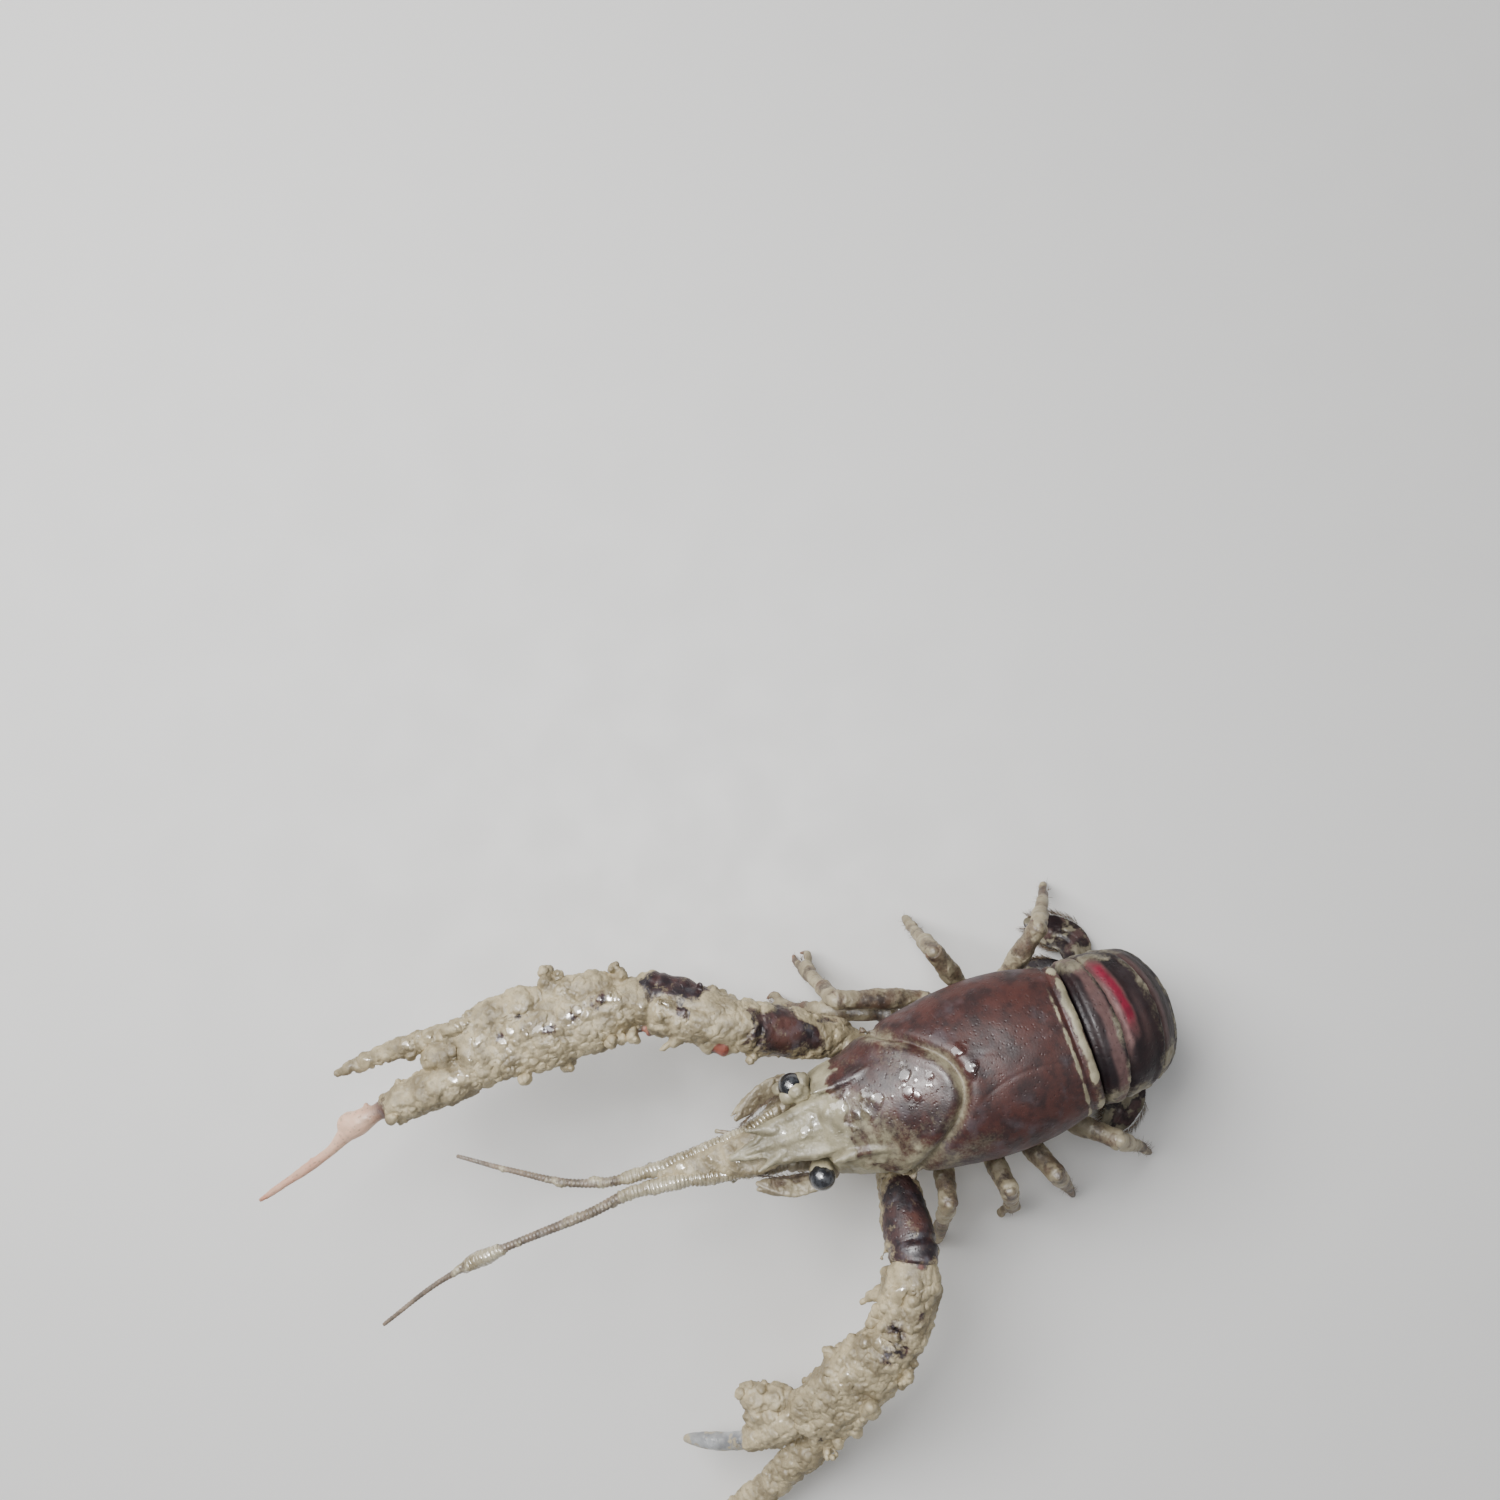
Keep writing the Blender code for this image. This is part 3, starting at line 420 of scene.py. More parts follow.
class Clay:
    """Closed forms that are pressed into one skin."""

    def __init__(self) -> None:
        """Starts with nothing."""
        self.points: list[Array] = []
        self.faces: list[list[int]] = []
        self.count = 0

    def add(self, *forms: Array) -> Clay:
        """Adds closed lofts.

        Args:
            forms: Arrays of rings.

        Returns:
            The clay itself.
        """
        for rings in forms:
            rows, sides = rings.shape[:2]
            index = np.arange(rows * sides).reshape(rows, sides)
            turned = np.roll(index, -1, axis=1)
            quads = np.stack([index[:-1], turned[:-1], turned[1:], index[1:]], axis=-1).reshape(-1, 4)
            points = rings.reshape(-1, 3)
            corners = points[quads] - points.mean(axis=0)
            volume = np.einsum("ij,ij->i", corners[:, 0], np.cross(corners[:, 1], corners[:, 2])).sum()
            caps = [index[0, ::-1].tolist(), index[-1].tolist()]
            faces = quads.tolist() + caps
            if volume < 0:
                faces = [face[::-1] for face in faces]
            self.faces += [[corner + self.count for corner in face] for face in faces]
            self.points.append(points)
            self.count += len(points)
        return self

    def mesh(self) -> bpy.types.Mesh:
        """The forms as one mesh, in millimetres.

        Returns:
            The mesh.
        """
        made = bpy.data.meshes.new("forms")
        made.from_pydata(np.concatenate(self.points).tolist(), [], self.faces)
        return made

    def loose(self) -> Skin:
        """The forms as they are, for fine strands."""
        return Skin(self.mesh())

    def press(self, voxel: float, rounds: int = 3) -> Skin:
        """Presses the forms into one skin.

        Args:
            voxel: The grid's step in millimetres.
            rounds: How often the skin is smoothed.

        Returns:
            The skin.
        """
        forms = self.mesh()
        piece = stand("forms", forms)
        remesh = piece.modifiers.new("press", "REMESH")
        remesh.mode = "VOXEL"
        remesh.voxel_size = voxel
        remesh.adaptivity = 0.0
        bpy.context.view_layer.update()
        graph = bpy.context.evaluated_depsgraph_get()
        pressed = bpy.data.meshes.new_from_object(piece.evaluated_get(graph))
        bpy.data.objects.remove(piece)
        bpy.data.meshes.remove(forms)
        self.drop_scraps(pressed)
        skin = Skin(pressed)
        skin.settle(rounds)
        return skin

    @staticmethod
    def drop_scraps(mesh: bpy.types.Mesh, keep: float = 0.4) -> None:
        """Deletes loose bits that the pressing left apart.

        Args:
            mesh: The pressed mesh.
            keep: An island stays with at least this share of the largest one's points.
        """
        ends = np.empty(len(mesh.edges) * 2, np.int32)
        mesh.edges.foreach_get("vertices", ends)
        first, second = ends.reshape(-1, 2).T
        island = np.arange(len(mesh.vertices))
        settled = False
        while not settled:
            lowest = island.copy()
            np.minimum.at(lowest, first, island[second])
            np.minimum.at(lowest, second, island[first])
            lowest = lowest[lowest]
            settled = np.array_equal(lowest, island)
            island = lowest
        sizes = np.bincount(island)
        scraps = np.flatnonzero(sizes[island] < keep * sizes.max())
        if len(scraps):
            form = bmesh.new()
            form.from_mesh(mesh)
            form.verts.ensure_lookup_table()
            bmesh.ops.delete(form, geom=[form.verts[index] for index in scraps], context="VERTS")
            form.to_mesh(mesh)
            form.free()


@dataclass(frozen=True)
class BodyFrame:
    """Where the body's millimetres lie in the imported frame."""

    middle: float
    neck: float

    @classmethod
    def from_solids(cls, beak_tip: float) -> BodyFrame:
        """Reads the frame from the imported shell.

        Args:
            beak_tip: How far forward the beak ends, in millimetres.

        Returns:
            The frame.
        """
        low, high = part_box("carapace")
        return cls(middle=(low.x + high.x) / 2, neck=low.y + beak_tip * MM)

    def world(self, points: Array) -> Array:
        """Body points in the frame's metres.

        Args:
            points: Places in body millimetres.

        Returns:
            The same places in metres.
        """
        place = np.array([self.middle, self.neck, 0.0])
        turned = np.stack([points[..., 1], -points[..., 0], points[..., 2]], axis=-1)
        return turned * MM + place


@dataclass(frozen=True)
class Mud:
    """How wet mud lies on a skin."""

    thickness: float
    lumps: Stations
    ragged: float
    seed: float
    film: float = 0.5
    creases: float = 0.0
    least: float = 0.01

    def spread(self, skin: Skin, cover: Array | float, relief: Array | float = 1.0) -> None:
        """Lays mud on a skin and paints its mask.

        Args:
            skin: The skin.
            cover: Where mud lies, 0 to 1, before its edge is broken up.
            relief: How much of its height it has.
        """
        points = skin.points
        torn = cover + self.ragged * (grain(points, 1.7, 4, self.seed + 3.1) + 0.12 * (cover - 0.5))
        mask = ease(0.34, 0.62, torn) * ease(0.02, 0.12, cover)
        height = np.full(len(points), self.thickness)
        for index, (size, rise) in enumerate(self.lumps):
            height += rise * (0.35 + grain(points, size, 2, self.seed + 7.7 * index))
        if self.creases:
            height -= self.creases * hill(grain(points, 1.5, 3, self.seed + 31.0), 0.11)
        skin.push(mask * relief * np.maximum(height, self.least))
        skin.paint("mud", mask)
        skin.paint("mud", self.film * ease(-0.25, 0.6, torn) * ease(0.02, 0.2, cover))


@dataclass
class Bench:
    """Sets finished pieces down in the frame."""

    frame: BodyFrame
    finishes: dict[str, bpy.types.Material] = field(default_factory=dict)

    def set_down(self, name: str, skin: Skin, finish: str, slot: Slot, *nodes: str) -> bpy.types.Object:
        """Puts a skin in the frame as a piece.

        Args:
            name: The piece's name.
            skin: Its skin.
            finish: The name of its finish.
            slot: The record's slot for the piece; not used.
            nodes: The solids that it stands for.

        Returns:
            The piece.
        """
        skin.points = self.frame.world(skin.points)
        skin.store()
        mesh = skin.mesh
        mesh.name = name
        for mask in MASKS:
            layer = mesh.attributes.new(mask, "FLOAT", "POINT")
            layer.data.foreach_set("value", skin.mask(mask).astype(np.float32))
        mesh.shade_smooth()
        mesh.materials.append(self.finishes[finish])
        piece = stand(name, mesh)
        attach(piece, "root")
        if nodes:
            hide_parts(*nodes)
        LOG.info("%s: %d faces", name, len(mesh.polygons))
        return piece


@dataclass
class Assembly:
    """A part of the animal that makes its own pieces."""

    bench: Bench


@dataclass
class Carapace(Assembly):
    """The shell with its neck groove, beak, ridges and spines."""

    rear: float = -12.4
    front: float = 13.6
    beak_root: float = 10.0
    tip: float = 23.4
    half_width: Stations = ((-12.4, 6.9), (-8.0, 8.2), (-1.0, 8.5), (5.0, 7.5), (10.0, 6.0), (13.6, 5.0))
    top: Stations = ((-12.4, 21.8), (-6.0, 23.2), (0.0, 23.5), (7.0, 22.8), (13.6, 21.0))
    bottom: Stations = ((-12.4, 14.2), (-8.5, 11.7), (0.0, 11.3), (4.0, 11.7), (8.0, 12.9), (13.6, 13.2))
    widest: float = 0.46
    tuck: float = 0.14
    rounding: float = 0.62
    beak_half_width: Stations = (
        (10.0, 2.6), (14.4, 2.75), (17.0, 2.3), (19.4, 1.85), (20.2, 1.1), (22.0, 0.62), (23.4, 0.2)
    )
    beak_top: Stations = ((10.0, 21.6), (14.4, 20.8), (19.0, 20.1), (23.4, 19.8))
    beak_thickness: Stations = ((10.0, 2.6), (14.4, 2.3), (19.4, 1.5), (23.4, 0.4))
    beak_edge: float = 0.34
    groove_sweep: float = 0.14
    groove_reach: float = 7.4
    groove_depth: float = 0.62
    groove_width: float = 0.42
    areola_narrowest: float = 1.15
    areola_depth: float = 0.055
    spines: tuple[tuple[Point, float, float, float], ...] = (
        ((19.6, 1.55, 19.75), 0.3, 0.42, 1.8),
        ((12.2, 3.25, 20.75), 0.05, 0.5, 1.9),
        ((6.6, 6.85, 18.4), 0.6, 0.5, 1.6),
        ((13.4, 4.3, 15.2), 0.1, 0.45, 1.3),
    )
    ridge: tuple[Point, ...] = ((6.2, 4.0, 21.3), (8.6, 3.6, 21.25), (10.6, 3.35, 21.1), (12.4, 3.25, 20.7))
    ridge_widths: tuple[float, ...] = (0.1, 0.5, 0.55, 0.45, 0.3)
    ridge_heights: tuple[float, ...] = (0.1, 0.35, 0.4, 0.35, 0.3)
    beads: tuple[tuple[float, float], ...] = (
        (-0.1, -3.2), (-0.7, -3.0), (-0.8, -1.5), (-0.5, -0.4), (5.2, -2.7), (3.2, -1.6), (8.8, -1.1),
        (5.0, 0.0), (5.7, -0.9), (11.1, -2.6), (12.2, -2.2), (13.7, -1.3), (11.2, -0.1), (11.7, 1.2),
        (16.1, -0.7), (12.9, -1.7), (10.2, 0.3), (9.5, -1.9), (13.1, 0.2), (9.1, -1.6), (12.4, -0.6),
        (14.8, 0.1),
    )
    bead_radii: tuple[float, ...] = (0.8, 0.56, 0.95, 0.66)
    socket: float = 1.95
    voxel: float = 0.14

    @staticmethod
    def grid(rear: float, front: float, steps: int, sides: int) -> tuple[Array, Array, Array]:
        """The rows and turns of a run of rings.

        Args:
            rear: Where the first ring is.
            front: Where the last ring is.
            steps: How many rings there are.
            sides: Points in a ring.

        Returns:
            Each ring's place, and each point's share sideways and upward.
        """
        turn = np.linspace(0.0, 2 * np.pi, sides, endpoint=False)[None, :]
        return np.linspace(rear, front, steps)[:, None], np.sin(turn), np.cos(turn)

    def shell_rings(self) -> Array:
        """Rings of the shell without its beak.

        Returns:
            The rings, with both ends domed.
        """
        forward, side, rise = self.grid(self.rear, self.front, 90, 144)
        width = sizes_at(self.half_width, forward)
        low, high = sizes_at(self.bottom, forward), sizes_at(self.top, forward)
        middle = low + self.widest * (high - low)
        flat = np.sign(side) * np.abs(side) ** self.rounding * (1 - self.tuck * rise**2)
        left = width * np.where(rise >= 0, side, flat)
        up = np.where(rise >= 0, middle + (high - middle) * rise,
                      middle - (middle - low) * np.abs(rise) ** self.rounding)
        return domed(np.stack([np.broadcast_to(forward, left.shape), left, up], axis=-1), 0.35, 1.0)

    def beak_rings(self) -> Array:
        """Rings of the beak, hollowed along its top between raised edges, with a low keel.

        Returns:
            The rings.
        """
        forward, side, rise = self.grid(self.beak_root, self.tip, 80, 64)
        width = sizes_at(self.beak_half_width, forward)
        thickness = sizes_at(self.beak_thickness, forward)
        body = np.sign(rise) * np.abs(rise) ** 0.7 * thickness / 2
        fade = np.clip((self.tip - forward) / 3.0, 0.0, 1.0)
        edge = hill(np.abs(side) - 0.86, 0.17) * 1.3 + 0.7 * hill(side, 0.13) - 0.75
        up = sizes_at(self.beak_top, forward) - thickness / 2 + body
        up = up + np.where(rise > 0, self.beak_edge * fade * edge, 0.0)
        return np.stack([np.broadcast_to(forward, up.shape), width * side, up], axis=-1)

    def forms(self) -> Clay:
        """The shell, its beak, ridges and spines as closed forms.

        Returns:
            The forms, not yet pressed.
        """
        clay = Clay().add(self.shell_rings(), self.beak_rings())
        for side in Side:
            path = spline(side.turned(self.ridge), 40)
            clay.add(tube(path, self.ridge_widths, self.ridge_heights, UP, 16))
            for root, lean, radius, length in self.spines:
                heading = np.array([1.0, side.value * lean, 0.12])
                clay.add(spine(side.turned(root), heading, radius, length, np.array([0, 0, 0.15])))
        return clay

    def neck_distance(self, points: Array) -> Array:
        """How far in front of the neck groove each point is.

        Args:
            points: Places in body millimetres.

        Returns:
            Millimetres, less than 0 behind it.
        """
        reach = np.minimum(np.abs(points[:, 1]), self.groove_reach)
        slope = 2 * self.groove_sweep * reach
        return (points[:, 0] - self.groove_sweep * reach**2) / np.sqrt(1 + slope**2)

    def carve(self, skin: Skin, eye: Point) -> None:
        """Cuts the grooves and the eye sockets, and raises the rear rim.

        Args:
            skin: The shell's skin.
            eye: The middle of the left eye.
        """
        points = skin.points
        neck = self.neck_distance(points)
        waver = 0.12 * grain(points, 2.2, 2, 5.0)
        above = ease(12.6, 15.0, points[:, 2])
        on_shell = ease(14.2, 13.0, points[:, 0])
        forward, aside = points[:, 0], np.abs(points[:, 1])
        cut = -self.groove_depth * hill(neck + waver, self.groove_width)
        cut = cut + 0.17 * hill(neck - 1.25, 0.75) + 0.12 * hill(neck + 1.2, 0.7)
        areola = self.areola_narrowest + 0.045 * (forward + 6.2) ** 2
        line = hill(aside - areola, 0.13) * ease(-11.3, -10.4, forward) * ease(-0.9, -2.2, neck)
        cut = cut - self.areola_depth * line * (points[:, 2] > 19)
        cut = cut - 0.2 * hill(forward + 11.35, 0.2) + 0.12 * hill(forward + 12.0, 0.35)
        flank = hill(aside - 0.86 * sizes_at(self.half_width, forward), 0.9)
        cut = cut + 0.05 * flank * pebbles(points, 0.8, 2.0) + 0.05 * grain(points, 2.6, 2, 9.0)
        skin.push(cut * above * on_shell)
        for side in Side:
            away = skin.points - side.turned(eye)
            distance = np.linalg.norm(away, axis=1)
            inside = np.maximum(0.0, self.socket - distance)
            skin.points = skin.points + unit(away) * inside[:, None]
        skin.settle(2)

    def muddy(self, skin: Skin) -> None:
        """Lays a film of mud over the head, and thicker mud on the beak, the low flank and the rims.

        Args:
            skin: The piece's skin.
        """
        points = skin.points
        neck = self.neck_distance(points)
        forward, left, up = points.T
        cloud = grain(points, 2.4, 4, 6.0)
        beside = (forward - 3.4) * 0.65 + (left - 3.0) * 0.76 + 1.3 * cloud
        ahead = ease(0.0, 1.0, neck)
        flank = ease(18.5, 13.0, up) * ease(-3.0, 2.5, neck) * (0.55 + 0.45 * np.sign(left))
        rear_rim = 0.7 * hill(forward + 12.1, 0.5) * (1.0 + 0.6 * cloud)
        cover = np.maximum.reduce([
            0.7 * ease(4.2, 7.0, beside) * ahead,
            0.92 * ease(10.4, 13.0, forward + cloud),
            rear_rim,
            0.62 * hill(forward + 10.75, 0.2) * ease(-7.0, -2.0, left),
            0.62 * flank,
            0.8 * ease(13.2, 12.0, up),
        ])
        relief = 1.0 - 0.7 * ease(-10.0, -10.8, forward)
        mud = Mud(0.04, ((2.4, 0.16), (0.9, 0.06), (0.35, 0.03)), 0.5, 1.0, film=0.3, creases=0.03)
        mud.spread(skin, cover, relief)
        film = np.maximum.reduce([
            0.17 * ahead * ease(12.0, 15.0, up),
            0.6 * ease(-2.4, 4.4, beside) * ahead * (1.0 + 0.6 * grain(points, 0.9, 3, 8.0)),
            0.56 * hill(neck - 0.25, 0.85) * ease(11.5, 14.0, up),
            0.4 * hill(left - 6.6, 1.6) * ease(-5.5, -1.0, neck),
        ])
        skin.paint("mud", film * (0.9 + 0.7 * cloud))
        skin.paint("wet", 0.4 + 0.25 * ahead)
        skin.paint("accent", 0.3 * ease(-0.1, 0.6, grain(points, 2.4, 4, 21.0)))

    def build(self, eye: Point) -> None:
        """Makes the shell.

        Args:
            eye: The middle of the left eye.
        """
        skin = self.forms().press(self.voxel)
        self.carve(skin, eye)
        self.muddy(skin)
        WetBeads(self.beads, self.bead_radii).lay(skin)
        self.bench.set_down("carapace_shell", skin, "shell", Slot.SHELL, "carapace")


@dataclass(frozen=True)
class WetBeads:
    """Domes of water on a skin, seen from above, with smaller ones round each.

    Each dome stands on the skin's own level there, which is a percentile of its heights, and smooths
    the skin a little past its rim.
    """

    places: tuple[tuple[float, float], ...]
    radii: tuple[float, ...] = (0.72, 0.5, 0.82, 0.6)
    rise: float = 0.12
    level: float = 60.0
    past_rim: float = 1.3
    droplets: int = 3
    droplet_radii: tuple[float, float] = (0.18, 0.32)
    scatter: float = 0.75
    seed: int = 3

    def all_places(self) -> list[tuple[float, float, float]]:
        """Every bead as forward, left and radius.

        Returns:
            The beads and their droplets.
        """
        draw = np.random.default_rng(self.seed)
        beads = []
        for index, (forward, left) in enumerate(self.places):
            beads.append((forward, left, self.radii[index % len(self.radii)]))
            for _ in range(self.droplets):
                near = draw.normal(0.0, self.scatter, 2)
                beads.append((forward + near[0], left + near[1], draw.uniform(*self.droplet_radii)))
        return beads

    def lay(self, skin: Skin) -> None:
        """Rounds the topmost skin at each place into a smooth wet dome.

        Args:
            skin: The piece's skin.
        """
        normals, water = skin.normals(), np.zeros(len(skin.points))
        for forward, left, radius in self.all_places():
            flat = np.hypot(skin.points[:, 0] - forward, skin.points[:, 1] - left)
            close = np.flatnonzero(flat < self.past_rim * radius)
            inside = flat[close] < radius
            if not inside.any():
                continue
            points = skin.points[close]
            centre = points[inside][np.argmax(points[inside, 2])]
            distance = np.linalg.norm(points - centre, axis=1) / radius
            heading = unit(normals[close[distance < 1.0]].mean(axis=0))
            facing = ease(0.1, 0.5, normals[close] @ heading)
            height = (points - centre) @ heading
            core = distance < 0.8
            level = np.percentile(height[core & (facing >= facing[core].max())], self.level)
            dome = level + self.rise * radius * np.maximum(0.0, 1.0 - distance**2)
            share = ease(1.1, 0.7, distance) * facing * ease(0.7, 0.4, np.abs(dome - height))
            skin.points[close] = points + heading * ((dome - height) * share)[:, None]
            water[close] = np.maximum(water[close], ease(1.15, 0.85, distance) * ease(0.0, 0.2, facing))
        skin.paint("wet", water)


@dataclass
class Head(Assembly):
    """Eyes on their stalks, face, mouth, jaw feet, feeler scales and short feelers."""

    eye_radius: float = 1.3
    eye_centre: Point = (15.6, 4.45, 18.9)
    stalk_root: Point = (15.1, 2.8, 17.4)
    stalk_radii: tuple[float, ...] = (0.7, 0.8, 0.95, 1.22)
    right_hood: Spots = (
        ((15.0, -3.5, 19.1), 0.95), ((16.2, -3.7, 19.2), 0.8), ((14.6, -4.6, 18.9), 0.85),
        ((16.9, -4.6, 18.2), 0.6), ((15.3, -4.0, 19.8), 0.7),
    )
    feeler_rooms: Spots = (
        ((15.6, 2.75, 14.6), 1.45), ((15.0, 4.1, 15.4), 1.25), ((15.6, 0.85, 16.3), 0.85),
        ((14.6, 3.2, 13.4), 1.1),
    )
    scale_blade: tuple[Point, ...] = ((15.5, 4.9, 15.9), (18.6, 4.6, 16.9), (21.9, 3.2, 17.5))
    jaw_foot: tuple[Point, ...] = ((9.2, 1.6, 10.0), (13.5, 1.75, 10.4), (17.4, 1.5, 11.2))
    jaw_widths: tuple[float, ...] = (0.8, 1.0, 1.15, 1.05, 0.75, 0.85, 0.7, 0.5, 0.55, 0.3)
    short_feeler: tuple[Point, ...] = ((16.2, 0.85, 16.2), (20.0, 0.8, 15.0), (24.8, 1.2, 13.4))
    short_feeler_radii: tuple[float, ...] = (0.62, 0.56, 0.4, 0.34, 0.28, 0.2)
    short_branch: tuple[Point, ...] = ((19.2, 0.8, 15.25), (22.0, 1.5, 14.7), (24.4, 2.6, 14.2))
    short_branch_radii: tuple[float, ...] = (0.38, 0.33, 0.28, 0.18)
    web: tuple[Point, ...] = ((18.6, 0.3, 18.4), (22.4, 0.2, 17.6), (26.0, -0.2, 17.2), (30.6, -0.5, 17.2))
    web_widths: tuple[float, ...] = (1.5, 2.1, 1.75, 1.2, 0.8, 0.3)
    web_heights: tuple[float, ...] = (0.5, 0.75, 0.65, 0.5, 0.4, 0.2)
    web_beads: tuple[tuple[float, float], ...] = (
        (22.0, 0.3), (25.9, -0.5), (19.9, 0.9), (28.4, -0.3), (23.9, 0.7), (20.9, -0.9)
    )

    def eye(self, side: Side) -> None:
        """One eye and its stalk.

        Args:
            side: Which side of the animal it is on.
        """
        root, centre = side.turned((self.stalk_root, self.eye_centre))
        axis = unit(centre - root)
        across = unit(np.cross(axis, [1.0, 0.0, 0.0]))
        over = np.cross(across, axis)
        radius = self.eye_radius
        axes = (axis * radius * 0.96, across * radius, over * radius)
        cornea = Clay().add(ball(centre + axis * 0.12, axes, 56)).loose()
        cornea.paint("wet", 1.0)
        self.bench.set_down(f"eye_cornea_{side.label}", cornea, "eye", Slot.EYE, f"eye_{side.label}")
        path = spline([root - axis * 0.8, root, centre - axis * 0.1], 24)
        stalk = Clay().add(tube(path, self.stalk_radii, self.stalk_radii, (1, 0, 0), 32))
        if side is Side.RIGHT:
            for place, size in self.right_hood:
                stalk.add(lump(place, size))
        skin = stalk.press(0.1, 6)
        Mud(0.04, ((1.0, 0.1), (0.4, 0.05)), 0.4, 4.0).spread(skin, 0.85 - 0.3 * skin.near(centre, 1.0))
        skin.paint("wet", 0.7)
        self.bench.set_down(f"eye_stalk_{side.label}", skin, "shell", Slot.SHELL)

    def face(self) -> None:
        """The face below the beak, with the rooms of the feelers, and the mouth."""
        clay = Clay().add(
            ball((14.6, 0.0, 15.0), ((1.7, 0, 0), (0, 3.6, 0), (0, 0, 2.9)), 32),
            ball((15.6, 0.0, 13.3), ((1.2, 0, 0.2), (0, 1.9, 0), (0, 0, 0.9)), 28),
            ball((15.6, 0.0, 17.4), ((1.6, 0, 0), (0, 1.1, 0), (0, 0, 1.1)), 24),
        )
        for side in Side:
            for centre, size in self.feeler_rooms:
                clay.add(lump(side.turned(centre), size))
        skin = clay.press(0.13)
        Mud(0.08, ((1.4, 0.16), (0.6, 0.1)), 0.5, 11.0).spread(skin, 0.62)
        skin.paint("wet", 0.6)
        self.bench.set_down("face_plate", skin, "leg", Slot.UNDERSIDE, "face")
        clay = Clay().add(ball((11.9, 0.0, 12.1), ((2.3, 0, 0.1), (0, 3.3, 0), (0, 0, 0.62)), 32))
        for side in Side:
            jaw = ((1.3, side.value * 0.3, 0), (0, 0.8, 0), (0, 0, 0.7))
            clay.add(ball(side.turned((12.6, 0.95, 11.85)), jaw, 24))
        skin = clay.press(0.12)
        Mud(0.03, ((0.8, 0.05),), 0.5, 14.0).spread(skin, 0.4)
        self.bench.set_down("mouth_plates", skin, "underside", Slot.UNDERSIDE, "mouth")

    def jaw(self, side: Side) -> None:
        """One jaw foot, in five joints, with a brush along its inner edge.

        Args:
            side: Which side of the animal it is on.
        """
        path = spline(side.turned(self.jaw_foot), 60)
        rings = tube(path, self.jaw_widths, [0.85 * size for size in self.jaw_widths], UP, 32)
        skin = Clay().add(domed(rings, 0.4, 0.2)).press(0.1)
        Mud(0.04, ((1.0, 0.07), (0.4, 0.05)), 0.5, 17.0).spread(skin, 0.5)
        skin.paint("wet", 0.4)
        self.bench.set_down(f"jaw_foot_joints_{side.label}", skin, "leg", Slot.LEG, f"jaw_foot_{side.label}")
        roots = path[22:56:1] - np.array([0.0, side.value * 0.55, 0.15])
        brush = Bristles(length=0.9, radius=0.035, spread=0.3, seed=31 + side.value, tuft=4)
        brush.grow(self.bench, f"jaw_brush_{side.label}", roots, np.array([0.35, -side.value * 0.8, -0.5]))

    def scale(self, side: Side) -> None:
        """One feeler scale: a blade with a thick outer edge that ends in a spine.

        Args:
            side: Which side of the animal it is on.
        """
        path = spline(side.turned(self.scale_blade), 40)
        blade = tube(path, (0.6, 1.0, 1.15, 1.0, 0.7, 0.2), (0.35, 0.28, 0.22, 0.2, 0.16, 0.1),
                     (0, side.value * -0.5, 1), 32)
        outer = path + np.array([0.0, side.value * 0.62, -0.1])
        edge = tube(outer[4:], (0.3, 0.36, 0.34, 0.3, 0.18), (0.3, 0.36, 0.34, 0.3, 0.18), UP, 16)
        tip = spine(outer[-3], unit(outer[-1] - outer[-6]), 0.2, 0.9)
        skin = Clay().add(domed(blade, 0.3, 0.1), domed(edge, 0.2, 0.1), tip).press(0.09)
        Mud(0.05, ((1.0, 0.1), (0.4, 0.06)), 0.5, 19.0).spread(skin, 0.6)
        skin.paint("wet", 0.6)
        solid = f"antenna_scale_{side.label}"
        self.bench.set_down(f"feeler_scale_{side.label}", skin, "leg", Slot.FEELER, solid)
        inner = path[8:38] - np.array([0.0, side.value * 0.8, -0.1])
        brush = Bristles(length=0.8, radius=0.03, spread=0.2, seed=41 + side.value, tuft=4)
        brush.grow(self.bench, f"scale_brush_{side.label}", inner, np.array([0.8, -side.value * 0.6, 0.0]))

    def short(self, side: Side) -> None:
        """One short feeler with its two ringed branches.

        Args:
            side: Which side of the animal it is on.
        """
        clay = Clay()
        for points, sizes in ((self.short_feeler, self.short_feeler_radii),
                              (self.short_branch, self.short_branch_radii)):
            path = spline(side.turned(points), 60)
            clay.add(domed(tube(path, sizes, sizes, UP, 24), 0.2, 0.1))
        skin = clay.press(0.08, 2)
        Mud(0.03, ((0.8, 0.06), (0.3, 0.04)), 0.5, 23.0).spread(skin, 0.5)
        skin.paint("wet", 0.7)
        solid = f"antennule_{side.label}"
        self.bench.set_down(f"short_feeler_{side.label}", skin, "feeler", Slot.FEELER, solid)

    def mud_web(self) -> None:
        """Mud that has run together between the beak and the feelers."""
        rings = tube(spline(self.web, 60), self.web_widths, self.web_heights, UP, 40)
        skin = Clay().add(domed(rings, 0.3, 0.2)).press(0.11)
        Mud(0.02, ((1.8, 0.3), (0.8, 0.12), (0.35, 0.05)), 0.3, 33.0, creases=0.05).spread(skin, 1.0)
        skin.paint("wet", 0.45)
        WetBeads(self.web_beads).lay(skin)
        self.bench.set_down("beak_mud", skin, "claw", Slot.SHELL)

    def build(self) -> None:
        """Makes every piece of the head."""
        self.mud_web()
        self.face()
        for side in Side:
            self.eye(side)
            self.jaw(side)
            self.scale(side)
            self.short(side)


